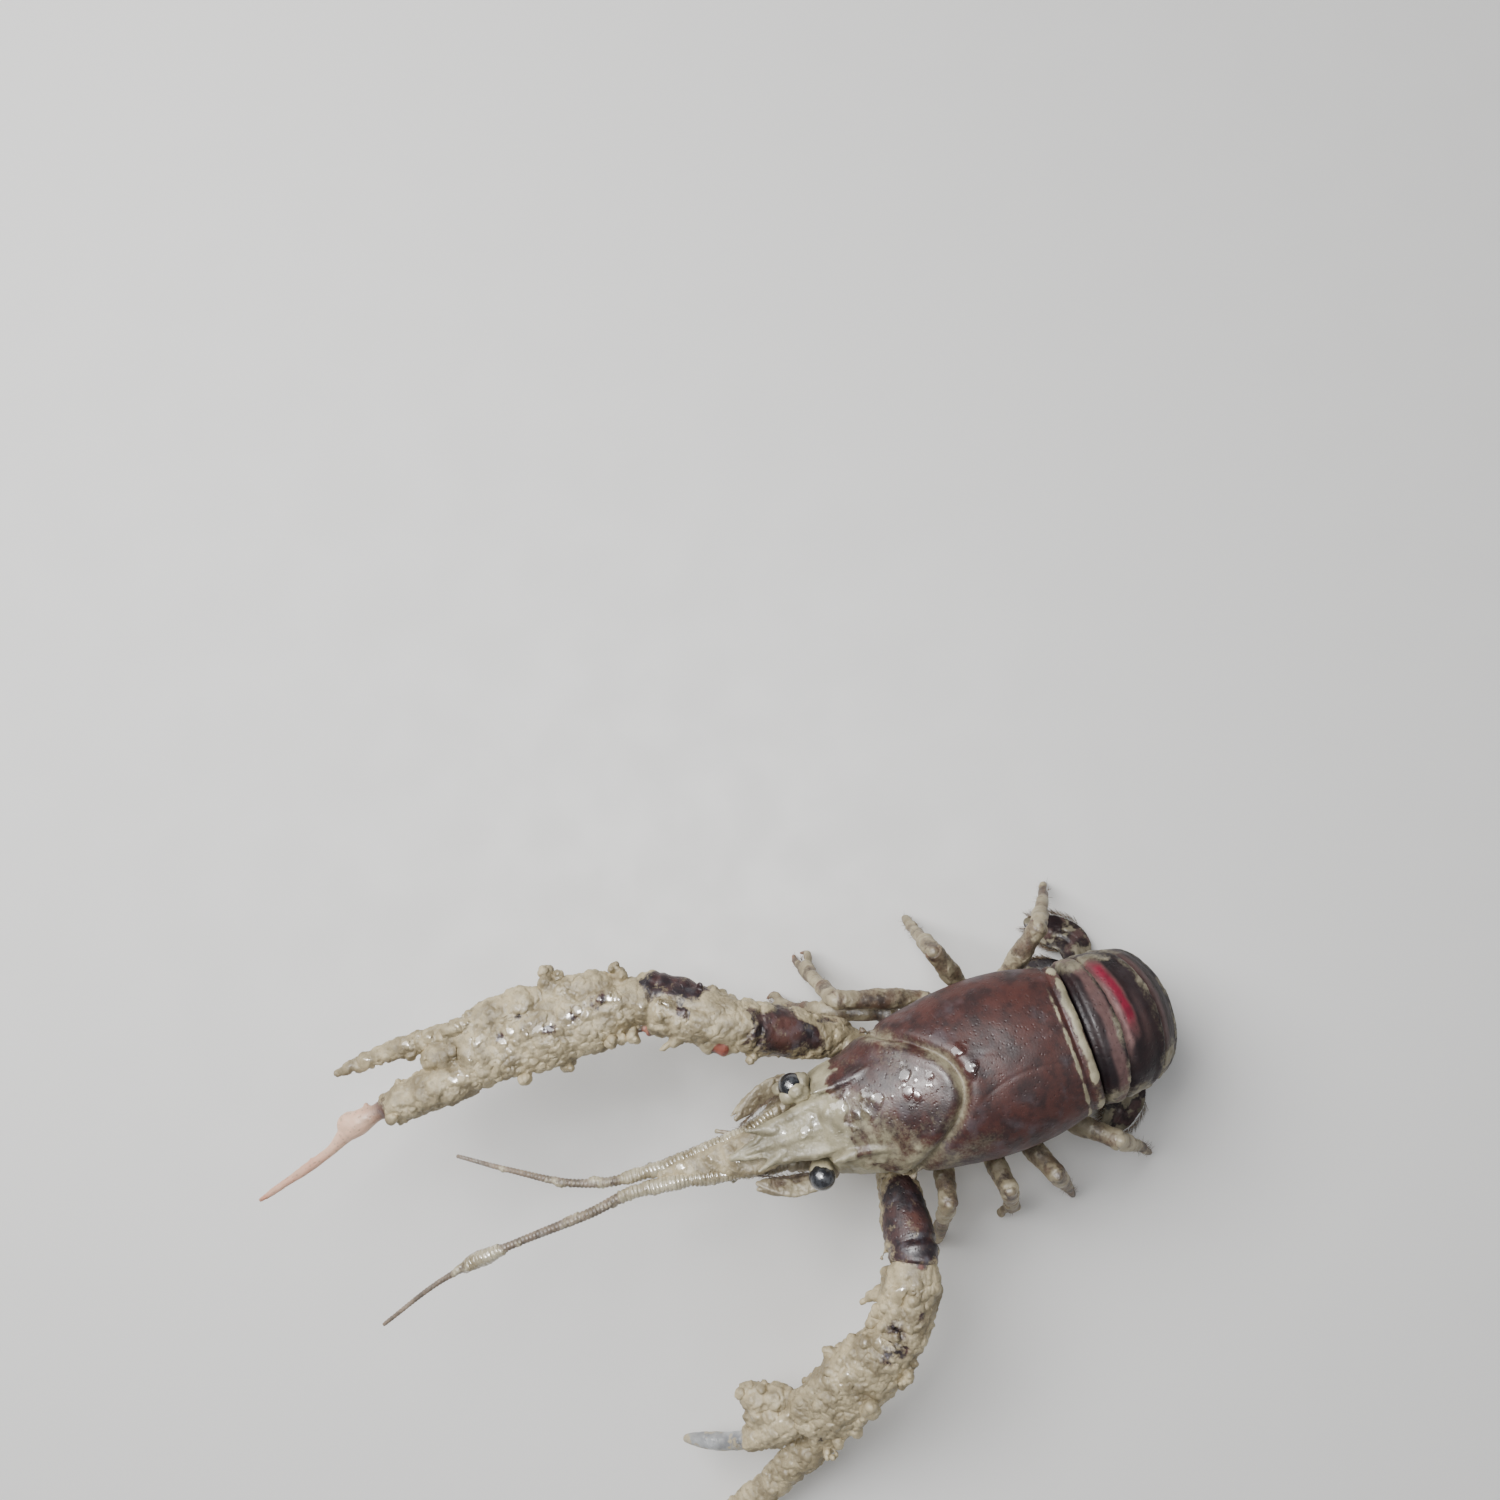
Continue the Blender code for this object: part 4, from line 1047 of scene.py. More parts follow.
@dataclass(frozen=True)
class Bristles:
    """Fine tapered hairs in a row or a tuft."""

    length: float
    radius: float
    spread: float
    seed: int
    tuft: int
    bend: float = 0.25

    def strands(self, roots: Array, headings: Array) -> Clay:
        """Curved three-sided strands.

        Args:
            roots: Where they leave the surface.
            headings: Which way each points.

        Returns:
            The strands as loose forms.
        """
        draw = np.random.default_rng(self.seed)
        clay = Clay()
        for root, way in zip(roots, headings):
            way = unit(unit(way) + draw.normal(0.0, self.spread, 3))
            sag = draw.normal(0.0, self.bend, 3) * self.length
            reach = self.length * draw.uniform(0.65, 1.1)
            t = np.linspace(0.0, 1.0, 5)[:, None]
            path = root + draw.normal(0.0, 0.05, 3) - way * 0.12 + way * (reach + 0.12) * t + sag * t**2
            sizes = (self.radius, self.radius * 0.85, self.radius * 0.5, self.radius * 0.15)
            clay.add(tube(path, sizes, sizes, (0.2, 0.3, 1.0), 3))
        return clay

    def grow(self, bench: Bench, name: str, roots: Array, heading: Array) -> None:
        """Sets a brush down as a piece of its own, with a tuft at each root.

        Args:
            bench: Where it is set down.
            name: The piece's name.
            roots: Where its tufts leave the surface.
            heading: Which way they point, for all or for each.
        """
        pair = (roots, np.broadcast_to(heading, roots.shape))
        skin = self.strands(*(np.repeat(rows, self.tuft, axis=0) for rows in pair)).loose()
        skin.paint("mud", 0.25)
        bench.set_down(name, skin, "bristle", Slot.LEG)


@dataclass
class Feelers(Assembly):
    """The two long feelers: stout root joints, then ringed lashes coated in mud."""

    root: Point = (16.7, 2.7, 14.6)
    root_radii: tuple[float, ...] = (0.95, 1.15, 1.18, 0.98, 1.08, 1.02, 0.82, 0.86, 0.72)
    lines: dict[Side, tuple[Point, ...]] = field(default_factory=lambda: {
        Side.LEFT: ((18.4, 2.5, 15.7), (22.6, 1.75, 16.9), (32.9, 0.15, 17.5), (38.6, 0.7, 17.0),
                    (48.3, 1.3, 15.2), (55.4, 2.4, 13.6), (62.6, 4.7, 11.6)),
        Side.RIGHT: ((18.4, -2.5, 15.7), (22.6, -1.55, 16.3), (32.8, -1.25, 16.8), (38.9, -2.4, 16.2),
                     (45.2, -5.6, 14.2), (50.6, -8.6, 11.6)),
    })
    radii: tuple[float, ...] = (0.62, 0.6, 0.54, 0.46, 0.36, 0.27, 0.2)
    ring_pitch: float = 0.42
    ring_rise: float = 0.035
    clot: tuple[float, float, float] = (50.5, 2.6, 0.34)

    def stem(self, side: Side) -> None:
        """The root joints of one feeler.

        Args:
            side: Which side of the animal it is on.
        """
        root = side.turned(self.root)
        end = np.array(self.lines[side][0])
        way = unit(end - root)
        path = spline([root - way * 0.9, root, end + way * 0.25], 50)
        rings = tube(path, self.root_radii, self.root_radii, UP, 40)
        skin = Clay().add(domed(rings, 0.3, 0.2)).press(0.1)
        Mud(0.06, ((1.2, 0.14), (0.5, 0.08)), 0.5, 27.0).spread(skin, 0.75)
        skin.paint("wet", 0.7)
        solid = f"feeler_root_{side.label}"
        self.bench.set_down(f"feeler_stem_{side.label}", skin, "leg", Slot.FEELER, solid)

    def lash(self, side: Side) -> None:
        """The lash of one feeler, thick with mud near the beak.

        Args:
            side: Which side of the animal it is on.
        """
        line = self.lines[side]
        path = spline(line, 620)
        rings = tube(path, self.radii, self.radii, UP, 20)
        gone = np.linspace(0.0, np.linalg.norm(np.diff(path, axis=0), axis=1).sum(), len(path))
        ringed = 1 + self.ring_rise / 0.4 * np.sin(2 * np.pi * gone / self.ring_pitch)
        middle = rings.mean(axis=1, keepdims=True)
        rings = middle + (rings - middle) * ringed[:, None, None]
        skin = Clay().add(domed(rings, 0.1, 0.15, 4)).loose()
        forward = skin.points[:, 0]
        cover = np.maximum(0.95 * ease(36.5, 33.5, forward), 0.35 * ease(60.0, 30.0, forward))
        place, reach, rise = self.clot
        if side is Side.LEFT:
            cover = np.maximum(cover, 1.0 * hill(forward - place, reach))
            skin.push(rise * hill(forward - place, reach * 0.8))
        Mud(0.05, ((1.6, 0.16), (0.6, 0.1)), 0.5, 29.0 + side.value).spread(skin, cover)
        skin.paint("wet", 0.5 + 0.5 * ease(40.0, 30.0, forward) + hill(forward - place, reach))
        solids = (f"feeler_lash_{side.label}", f"feeler_tip_{side.label}")
        self.bench.set_down(f"feeler_whip_{side.label}", skin, "feeler", Slot.FEELER, *solids)

    def build(self) -> None:
        """Makes both feelers."""
        for side in Side:
            self.stem(side)
            self.lash(side)


@dataclass(frozen=True)
class Stripe:
    """A coloured stripe across a plate, its places in millimetres."""

    start: float
    end: float
    amount: float
    tint: float = 0.0
    rightmost: float = -9.0
    leftmost: float = 9.0
    soft: float = 0.25

    def strength(self, back: Array, left: Array) -> Array:
        """How strong the stripe is.

        Args:
            back: How far behind the plate's front each point is.
            left: How far left of the middle each point is.

        Returns:
            0 to 1 at each point.
        """
        along = ease(self.start - self.soft, self.start + self.soft, back)
        along = along * ease(self.end + self.soft, self.end - self.soft, back)
        return along * ease(self.rightmost - 1.2, self.rightmost + 1.2, left) * ease(
            self.leftmost + 1.5, self.leftmost - 1.5, left)


STRIPES: dict[int, tuple[Stripe, ...]] = {
    0: (Stripe(1.75, 2.9, 0.42),),
    1: (
        Stripe(0.45, 1.35, 0.9, 0.0, -6.6, 3.0),
        Stripe(1.3, 2.5, 1.0, 1.0, -6.2, 0.9, 0.35),
        Stripe(3.0, 3.9, 0.16, 0.0, -2.0, 3.0, 0.5),
    ),
    2: (Stripe(1.2, 2.4, 0.3, 0.0, -6.0, 4.0, 0.4),),
    3: (Stripe(3.2, 4.4, 0.2),),
    4: (Stripe(3.2, 4.4, 0.2),),
    5: (Stripe(3.6, 4.8, 0.15),),
}


@dataclass
class Abdomen(Assembly):
    """Six overlapping plates, curled down and under, with swimming feet below them."""

    start: tuple[float, float] = (-12.7, 21.5)
    lengths: tuple[float, ...] = (3.05, 5.114, 4.8, 4.8, 4.8, 5.2)
    pitches: tuple[float, ...] = (14.0, 33.69, 60.0, 85.0, 109.0, 136.0)
    half_widths: tuple[float, ...] = (6.5, 6.9, 6.7, 6.3, 5.8, 5.2, 4.4)
    depths: tuple[float, ...] = (7.4, 7.8, 7.2, 6.4, 5.6, 4.8, 3.6)
    arch: float = 0.62
    hollow: float = 0.72
    flaps: tuple[float, ...] = (0.4, 1.45, 1.4, 1.3, 1.2, 0.5)
    lip: float = 0.09
    mud_patches: tuple[tuple[int, Point], ...] = ((0, (-14.6, 5.9, 17.4)), (2, (-20.6, 5.2, 15.2)))
    mud_patch_reach: float = 1.5
    steps: int = 44
    sides: int = 132
    voxel: float = 0.14

    def joints(self) -> tuple[Array, Array]:
        """The joints along the back, and each plate's heading, as (forward, up).

        Returns:
            The joints, and one heading for each plate.
        """
        angles = np.radians(self.pitches)
        headings = -np.stack([np.cos(angles), np.sin(angles)], axis=1)
        steps = headings * np.array(self.lengths)[:, None]
        return np.vstack([self.start, np.array(self.start) + np.cumsum(steps, axis=0)]), headings

    def faces(self) -> Array:
        """Normals of the faces between plates, the first turned to the shell.

        Returns:
            One normal for each joint.
        """
        headings = self.joints()[1]
        after = np.vstack([headings[1:], [1.0, 0.0]])
        return np.vstack([[-1.0, 0.0], unit(headings + after)])

    def section(self, half_width: float, depth: float, flap: float) -> Array:
        """One closed outline of a plate, as (left, down).

        Args:
            half_width: Half the plate's width.
            depth: How deep its arch is.
            flap: How far its side flaps hang down.

        Returns:
            The outline's points.
        """
        turns = np.linspace(-np.pi / 2, np.pi / 2, 15)
        arch = np.stack([half_width * np.sin(turns), self.arch * depth * (1 - np.cos(turns))], axis=1)
        flank = np.array([
            (1.0, 0.84 * depth), (0.93, depth + 0.8 * flap), (0.84, depth + flap), (0.74, 0.86 * depth)
        ])
        flank[:, 0] *= half_width
        belly = np.array([(half_width * part, self.hollow * depth) for part in (0.5, 0.0, -0.5)])
        outline = np.vstack([arch, flank, belly, flank[::-1] * np.array([-1.0, 1.0])])
        closed = np.vstack([outline[-2:], outline, outline[:3]])
        full = spline(np.pad(closed, ((0, 0), (0, 1))), self.sides * 3)[:, :2]
        turned = np.linspace(0.0, 1.0, len(closed))
        gone = np.linspace(0.0, 1.0, len(full))
        first, last = turned[2], turned[-3]
        keep = full[(gone >= first) & (gone < last)]
        return keep[np.linspace(0, len(keep) - 1, self.sides).astype(int)]

    def rings(self, index: int) -> Array:
        """Rings of one plate: a low smooth front, a step, and a rear rim over the next plate.

        Args:
            index: Which plate, counted from the front.

        Returns:
            The rings.
        """
        joints, _ = self.joints()
        faces = self.faces()
        start, end, first, last = joints[index], joints[index + 1], faces[index], faces[index + 1]
        rings = []
        for part in np.linspace(0.02, 1.0 + self.lip, self.steps):
            way = unit(first + (last - first) * min(part, 1.0))
            out = np.array([way[1], -way[0]])
            raised = 0.25 * math.sin(math.pi * min(part, 1.0)) + 0.3 * part
            raised += 0.28 * float(ease(0.16, 0.34, np.array(part))) - 0.28
            raised += 0.1 * float(hill(np.array(part - 1.0), 0.09))
            place = start + (end - start) * part + out * raised
            between = min(part, 1.0)
            half_width = np.interp(between, (0, 1), self.half_widths[index:index + 2]) + raised
            depth = np.interp(between, (0, 1), self.depths[index:index + 2]) + 0.3 * part
            flap = self.flaps[index] * math.sin(math.pi * min(1.0, 0.12 + 0.88 * between)) ** 1.4
            left, down = self.section(half_width, depth, flap).T
            rings.append(np.stack([place[0] - out[0] * down, left, place[1] - out[1] * down], axis=1))
        return np.array(rings)

    def plate(self, index: int) -> None:
        """One plate with its flaps.

        Args:
            index: Which plate, counted from the front.
        """
        joints, headings = self.joints()
        skin = Clay().add(self.rings(index)).press(self.voxel, 2)
        points = skin.points
        gone = (points[:, (0, 2)] - joints[index]) @ headings[index] / self.lengths[index]
        pitted = pebbles(points, 0.7, 41.0) * ease(0.35, 0.5, gone)
        skin.push(0.035 * grain(points, 1.6, 3, 40.0) + 0.03 * pitted)
        left = points[:, 1]
        side = ease(0.78, 1.0, np.abs(left) / self.half_widths[index])
        cover = np.maximum(0.5 * side, 0.3 * ease(0.8, 0.95, gone))
        for wearer, centre in self.mud_patches:
            if wearer == index:
                cover = np.maximum(cover, skin.near(centre, self.mud_patch_reach))
        Mud(0.03, ((1.5, 0.09), (0.5, 0.06)), 0.45, 43.0 + index).spread(skin, cover)
        waver = 0.22 * grain(points, 2.0, 3, 47.0)
        back = gone * self.lengths[index] + waver
        for stripe in STRIPES[index]:
            strength = stripe.strength(back, left + 2.0 * waver)
            skin.paint("accent", stripe.amount * strength * (0.85 + 0.3 * grain(points, 0.7, 3, 48.0)))
            skin.paint("tint", stripe.tint * strength)
        skin.paint("wet", 0.5 if index < 2 else 0.15)
        self.bench.set_down(f"plate_{index + 1}", skin, "plate", Slot.PLATE, f"abdomen_{index + 1}")

    def swimming_feet(self, index: int) -> None:
        """A pair of swimming feet, each a stalk with two fringed blades.

        Args:
            index: Which plate, counted from the front.
        """
        joints, headings = self.joints()
        middle, heading = (joints[index] + joints[index + 1]) / 2, headings[index]
        out = np.array([heading[1], -heading[0]])
        depth = self.hollow * (self.depths[index] + self.depths[index + 1]) / 2

        def below(down: float, left: float, back: float) -> Array:
            """A point under the plate."""
            place = middle - out * down + heading * back
            return np.array([place[0], left, place[1]])

        clay = Clay()
        roots, ways = [], []
        for side in Side:
            left = 2.4 * side.value
            knee = below(depth + 0.9, left * 0.95, 0.1)
            clay.add(domed(tube(spline([below(depth - 0.6, left, 0.0), knee], 16), (0.42, 0.4, 0.36),
                                (0.36, 0.34, 0.3), (0, side.value, 0), 18), 0.1, 0.2))
            for spread_out, length in ((0.45, 3.1), (-0.5, 2.7)):
                tip = below(depth + length, left * 0.78 + side.value * spread_out, 0.45)
                bend = (knee + tip) / 2 + np.array([0.0, side.value * spread_out * 0.5, 0.0])
                path = spline([knee, bend, tip], 24)
                clay.add(domed(tube(path, (0.26, 0.42, 0.45, 0.3, 0.1), (0.16, 0.15, 0.13, 0.1, 0.07),
                                    (heading[0], 0.0, heading[1]), 18), 0.1, 0.05))
                way = unit(tip - knee) + 0.5 * np.array([0, side.value * spread_out, 0])
                roots.append(path[6:])
                ways.append(np.broadcast_to(way, path[6:].shape))
        skin = clay.press(0.1, 2)
        skin.paint("mud", 0.3 + 0.4 * grain(skin.points, 1.5, 2, 51.0))
        self.bench.set_down(f"swimming_feet_{index + 1}", skin, "leg", Slot.LEG)
        brush = Bristles(length=0.9, radius=0.03, spread=0.3, seed=60 + index, tuft=3)
        brush.grow(self.bench, f"swimming_brush_{index + 1}", np.vstack(roots), np.vstack(ways))

    def build(self) -> None:
        """Makes the plates and the swimming feet."""
        for index in range(len(self.lengths)):
            self.plate(index)
            if 0 < index < 5:
                self.swimming_feet(index)


@dataclass
class TailFan(Assembly):
    """The middle plate and two blades a side, fringed with bristles."""

    length: float = 7.8
    half_width: tuple[float, ...] = (2.3, 2.7, 2.85, 2.8, 2.45, 1.3)
    half_thickness: tuple[float, ...] = (0.62, 0.55, 0.5, 0.42, 0.34, 0.2)
    middle_up: float = 0.5
    inner_root: tuple[float, float] = (3.7, 1.7)
    inner: tuple[Point, ...] = ((-14.9, 5.4, 0.6), (-10.8, 6.9, 0.4))
    outer: tuple[Point, ...] = ((-17.6, 8.6, 1.5), (-13.9, 12.0, 0.4))
    blade_half_width: tuple[float, ...] = (0.8, 1.4, 1.9, 2.05, 1.8, 0.7)
    blade_half_thickness: tuple[float, ...] = (0.55, 0.42, 0.36, 0.3, 0.24, 0.14)
    floor: float = 0.02
    fringe_floor: float = 0.12
    middle_fringe: Bristles = Bristles(length=1.1, radius=0.026, spread=0.09, seed=71, tuft=5, bend=0.08)
    blade_fringe: Bristles = Bristles(length=1.0, radius=0.026, spread=0.08, seed=80, tuft=4, bend=0.08)

    def rest(self, skin: Skin) -> None:
        """Keeps a skin on the floor."""
        skin.points[:, 2] = np.maximum(skin.points[:, 2], self.floor)

    def middle_plate(self, start: Array) -> None:
        """The middle plate, with its cross seam, corner spines and fringe.

        Args:
            start: The middle of its front edge.
        """
        path = spline([start, start + [self.length, 0.0, 0.0]], 60)
        clay = Clay().add(domed(tube(path, self.half_width, self.half_thickness, UP, 72), 0.5, 0.7))
        for side in Side:
            corner = start + np.array([self.length * 0.6, side.value * 2.55, 0.0])
            clay.add(spine(corner, np.array([1.0, side.value * 0.35, 0.0]), 0.32, 0.9))
        skin = clay.press(0.12, 2)
        gone = (skin.points[:, 0] - start[0]) / self.length
        left = skin.points[:, 1]
        high = ease(start[2] - 0.1, start[2] + 0.2, skin.points[:, 2])
        cut = -0.12 * hill(gone - 0.62, 0.025) - 0.08 * hill(left, 0.35) * ease(0.9, 0.3, gone)
        cut = cut + 0.07 * hill(np.abs(left) - 1.25, 0.3) * ease(0.95, 0.4, gone)
        skin.push(cut * high + 0.03 * grain(skin.points, 0.9, 3, 70.0))
        self.rest(skin)
        self.dress(skin)
        self.bench.set_down("tail_middle", skin, "plate", Slot.TAIL, "telson")
        turns = np.linspace(-0.5 * np.pi, 0.5 * np.pi, 60)
        rim = np.stack([start[0] + self.length * (0.86 + 0.2 * np.cos(turns)), 2.25 * np.sin(turns),
                        np.full(60, start[2])], axis=1)
        ways = np.stack([np.cos(turns) + 0.6, 0.7 * np.sin(turns), np.zeros(60)], axis=1)
        self.middle_fringe.grow(self.bench, "tail_middle_fringe", rim, ways)

    def dress(self, skin: Skin) -> None:
        """Lays a little mud and water.

        Args:
            skin: The piece's skin.
        """
        Mud(0.03, ((1.6, 0.06), (0.5, 0.04)), 0.5, 73.0, film=0.3).spread(skin, 0.38)
        self.rest(skin)
        skin.paint("wet", 0.8)
        skin.paint("accent", 0.25 * ease(0.0, 0.5, grain(skin.points, 2.0, 3, 75.0)))

    def blade(self, kind: str, side: Side, points: Array, face: Array) -> None:
        """One blade with its rib, its cross seam on the outer one, and its fringe.

        Args:
            kind: Whether it is the inner or the outer one.
            side: Which side of the animal it is on.
            points: Where its middle starts, goes through and ends.
            face: Normal of the face that it leaves.
        """
        path = spline(points, 60)
        rings = tube(path, self.blade_half_width, self.blade_half_thickness, UP, 64, start_face=face)
        clay = Clay().add(domed(rings, 0.5, 0.35))
        side_way = unit(np.cross(np.gradient(path, axis=0), [0.0, 0.0, 1.0]))
        if kind == "outer":
            for share in (-0.75, -0.25, 0.25, 0.75):
                root = path[38] + side_way[38] * share * 1.8
                clay.add(spine(root + [0, 0, 0.25], path[44] - path[38] + np.array([0, 0, 0.1]), 0.14, 0.45))
        skin = clay.press(0.11, 2)
        nearest = self.nearest(skin.points, path)
        part = nearest / (len(path) - 1)
        across = np.einsum("ij,ij->i", skin.points - path[nearest], side_way[nearest])
        high = ease(-0.05, 0.15, skin.points[:, 2] - path[nearest][:, 2])
        cut = 0.13 * hill(across, 0.22) * ease(0.98, 0.7, part) - 0.07 * hill(np.abs(across) - 0.5, 0.2)
        if kind == "outer":
            cut = cut - 0.12 * hill(part - 0.66, 0.02)
        skin.push(cut * high + 0.025 * grain(skin.points, 0.8, 3, 77.0))
        self.dress(skin)
        name = f"{kind}_{side.label}"
        self.bench.set_down(f"tail_{name}", skin, "plate", Slot.TAIL, f"tail_blade_{name}")
        roots, ways = [], []
        widths = taper(self.blade_half_width, np.linspace(0, 1, 60))
        for step in range(30, 60):
            for sign in (-1, 1):
                roots.append(path[step] + side_way[step] * sign * widths[step] * 0.93)
                ahead = unit(path[min(step + 1, 59)] - path[step - 1])
                ways.append(ahead * (0.4 + step / 60) + side_way[step] * sign * 0.5)
        roots = np.array(roots)
        roots[:, 2] = np.maximum(roots[:, 2], self.fringe_floor)
        self.blade_fringe.grow(self.bench, f"tail_{kind}_fringe_{side.label}", roots, np.array(ways))

    @staticmethod
    def nearest(points: Array, path: Array) -> Array:
        """The step of a path that lies nearest each point.

        Args:
            points: The points.
            path: The path's points.

        Returns:
            A step for each point.
        """
        best = np.zeros(len(points), int)
        least = np.full(len(points), np.inf)
        for step, place in enumerate(path):
            distance = ((points - place) ** 2).sum(axis=1)
            closer = distance < least
            best[closer] = step
            least[closer] = distance[closer]
        return best

    def build(self, abdomen: Abdomen) -> None:
        """Makes the fan against the last plate.

        Args:
            abdomen: The plates that carry it.
        """
        joints, headings = abdomen.joints()
        end = joints[-1]
        lean = math.radians((180.0 - abdomen.pitches[-1]) / 2)
        face = np.array([math.cos(lean), 0.0, -math.sin(lean)])

        def behind(left: float, up: float) -> Array:
            """A point behind the face at the last plate's end."""
            return np.array([end[0] + (up - end[1]) * math.tan(lean) - 0.1, left, up])

        self.middle_plate(behind(0.0, self.middle_up))
        share = 0.8
        down = abdomen.arch * (0.2 * abdomen.depths[-2] + 0.8 * abdomen.depths[-1])
        flank = 0.2 * abdomen.half_widths[-2] + 0.8 * abdomen.half_widths[-1] + 0.45
        along = joints[-2] + headings[-1] * abdomen.lengths[-1] * share
        root = along - np.array([headings[-1][1], -headings[-1][0]]) * down
        for side in Side:
            left, up = self.inner_root
            inner = [behind(left * side.value, up), *side.turned(self.inner)]
            outer = [np.array([root[0], side.value * flank, root[1]]), *side.turned(self.outer)]
            self.blade("inner", side, np.array(inner), face)
            self.blade("outer", side, np.array(outer), side.outward)


@dataclass
class Belly(Assembly):
    """The belly plates between the legs."""

    rear: float = -9.8
    front: float = 8.9
    middle_up: float = 9.75
    half_width: float = 3.6
    half_height: float = 1.1
    squareness: float = 0.6
    segments: int = 5

    def build(self) -> None:
        """Makes the belly: one block with a raised plate and two knobs for each pair of legs."""
        path = spline([(forward, 0, self.middle_up) for forward in (self.rear, 0, self.front)], 60)
        rings = tube(path, (self.half_width,) * 3, (self.half_height,) * 3, UP, 64)
        flat = rings - path[:, None]
        across = np.abs(flat[..., 1] / self.half_width) ** self.squareness
        flat[..., 1] = np.sign(flat[..., 1]) * across * self.half_width
        clay = Clay().add(domed(flat + path[:, None], 0.3, 0.3))
        for place in np.linspace(self.rear + 2.0, self.front - 1.8, self.segments):
            for side in Side:
                clay.add(ball((place, side.value * 1.25, 9.0), ((1.35, 0, 0), (0, 1.1, 0), (0, 0, 0.75)), 24))
                clay.add(lump((place + 0.3, side.value * 3.2, 9.6), 1.15))
        skin = clay.press(0.15)
        cuts = sum(hill(skin.points[:, 0] - place, 0.22)
                   for place in np.linspace(self.rear + 3.6, self.front - 3.4, self.segments - 1))
        skin.push(-0.25 * cuts * (skin.points[:, 2] < 9.5) - 0.3 * hill(skin.points[:, 1], 0.3))
        Mud(0.05, ((1.6, 0.12), (0.6, 0.08)), 0.5, 90.0).spread(skin, 0.55)
        skin.paint("wet", 0.5)
        self.bench.set_down("belly_plates", skin, "underside", Slot.UNDERSIDE, "sternum")


def leg_joint(points: Sequence[Array], near: float, middle: float, far: float, sides: int = 28) -> Array:
    """One joint of a leg: narrow where it starts, then swelling to a lip.

    Args:
        points: Where it starts, goes through and ends.
        near: Radius at the start.
        middle: Radius in the middle.
        far: Radius at the end.
        sides: Points in a ring.

    Returns:
        Its rings.
    """
    path = spline(points, 30)
    sizes = (near * 0.82, near, middle, (middle + far) / 2, far, far * 1.1)
    heading = unit(path[-1] - path[0])
    up = (0.0, 0.0, 1.0) if abs(heading[2]) < 0.6 else (1.0, 0.0, 0.3)
    return domed(tube(path, sizes, sizes, up, sides), near * 0.5, far * 0.45)


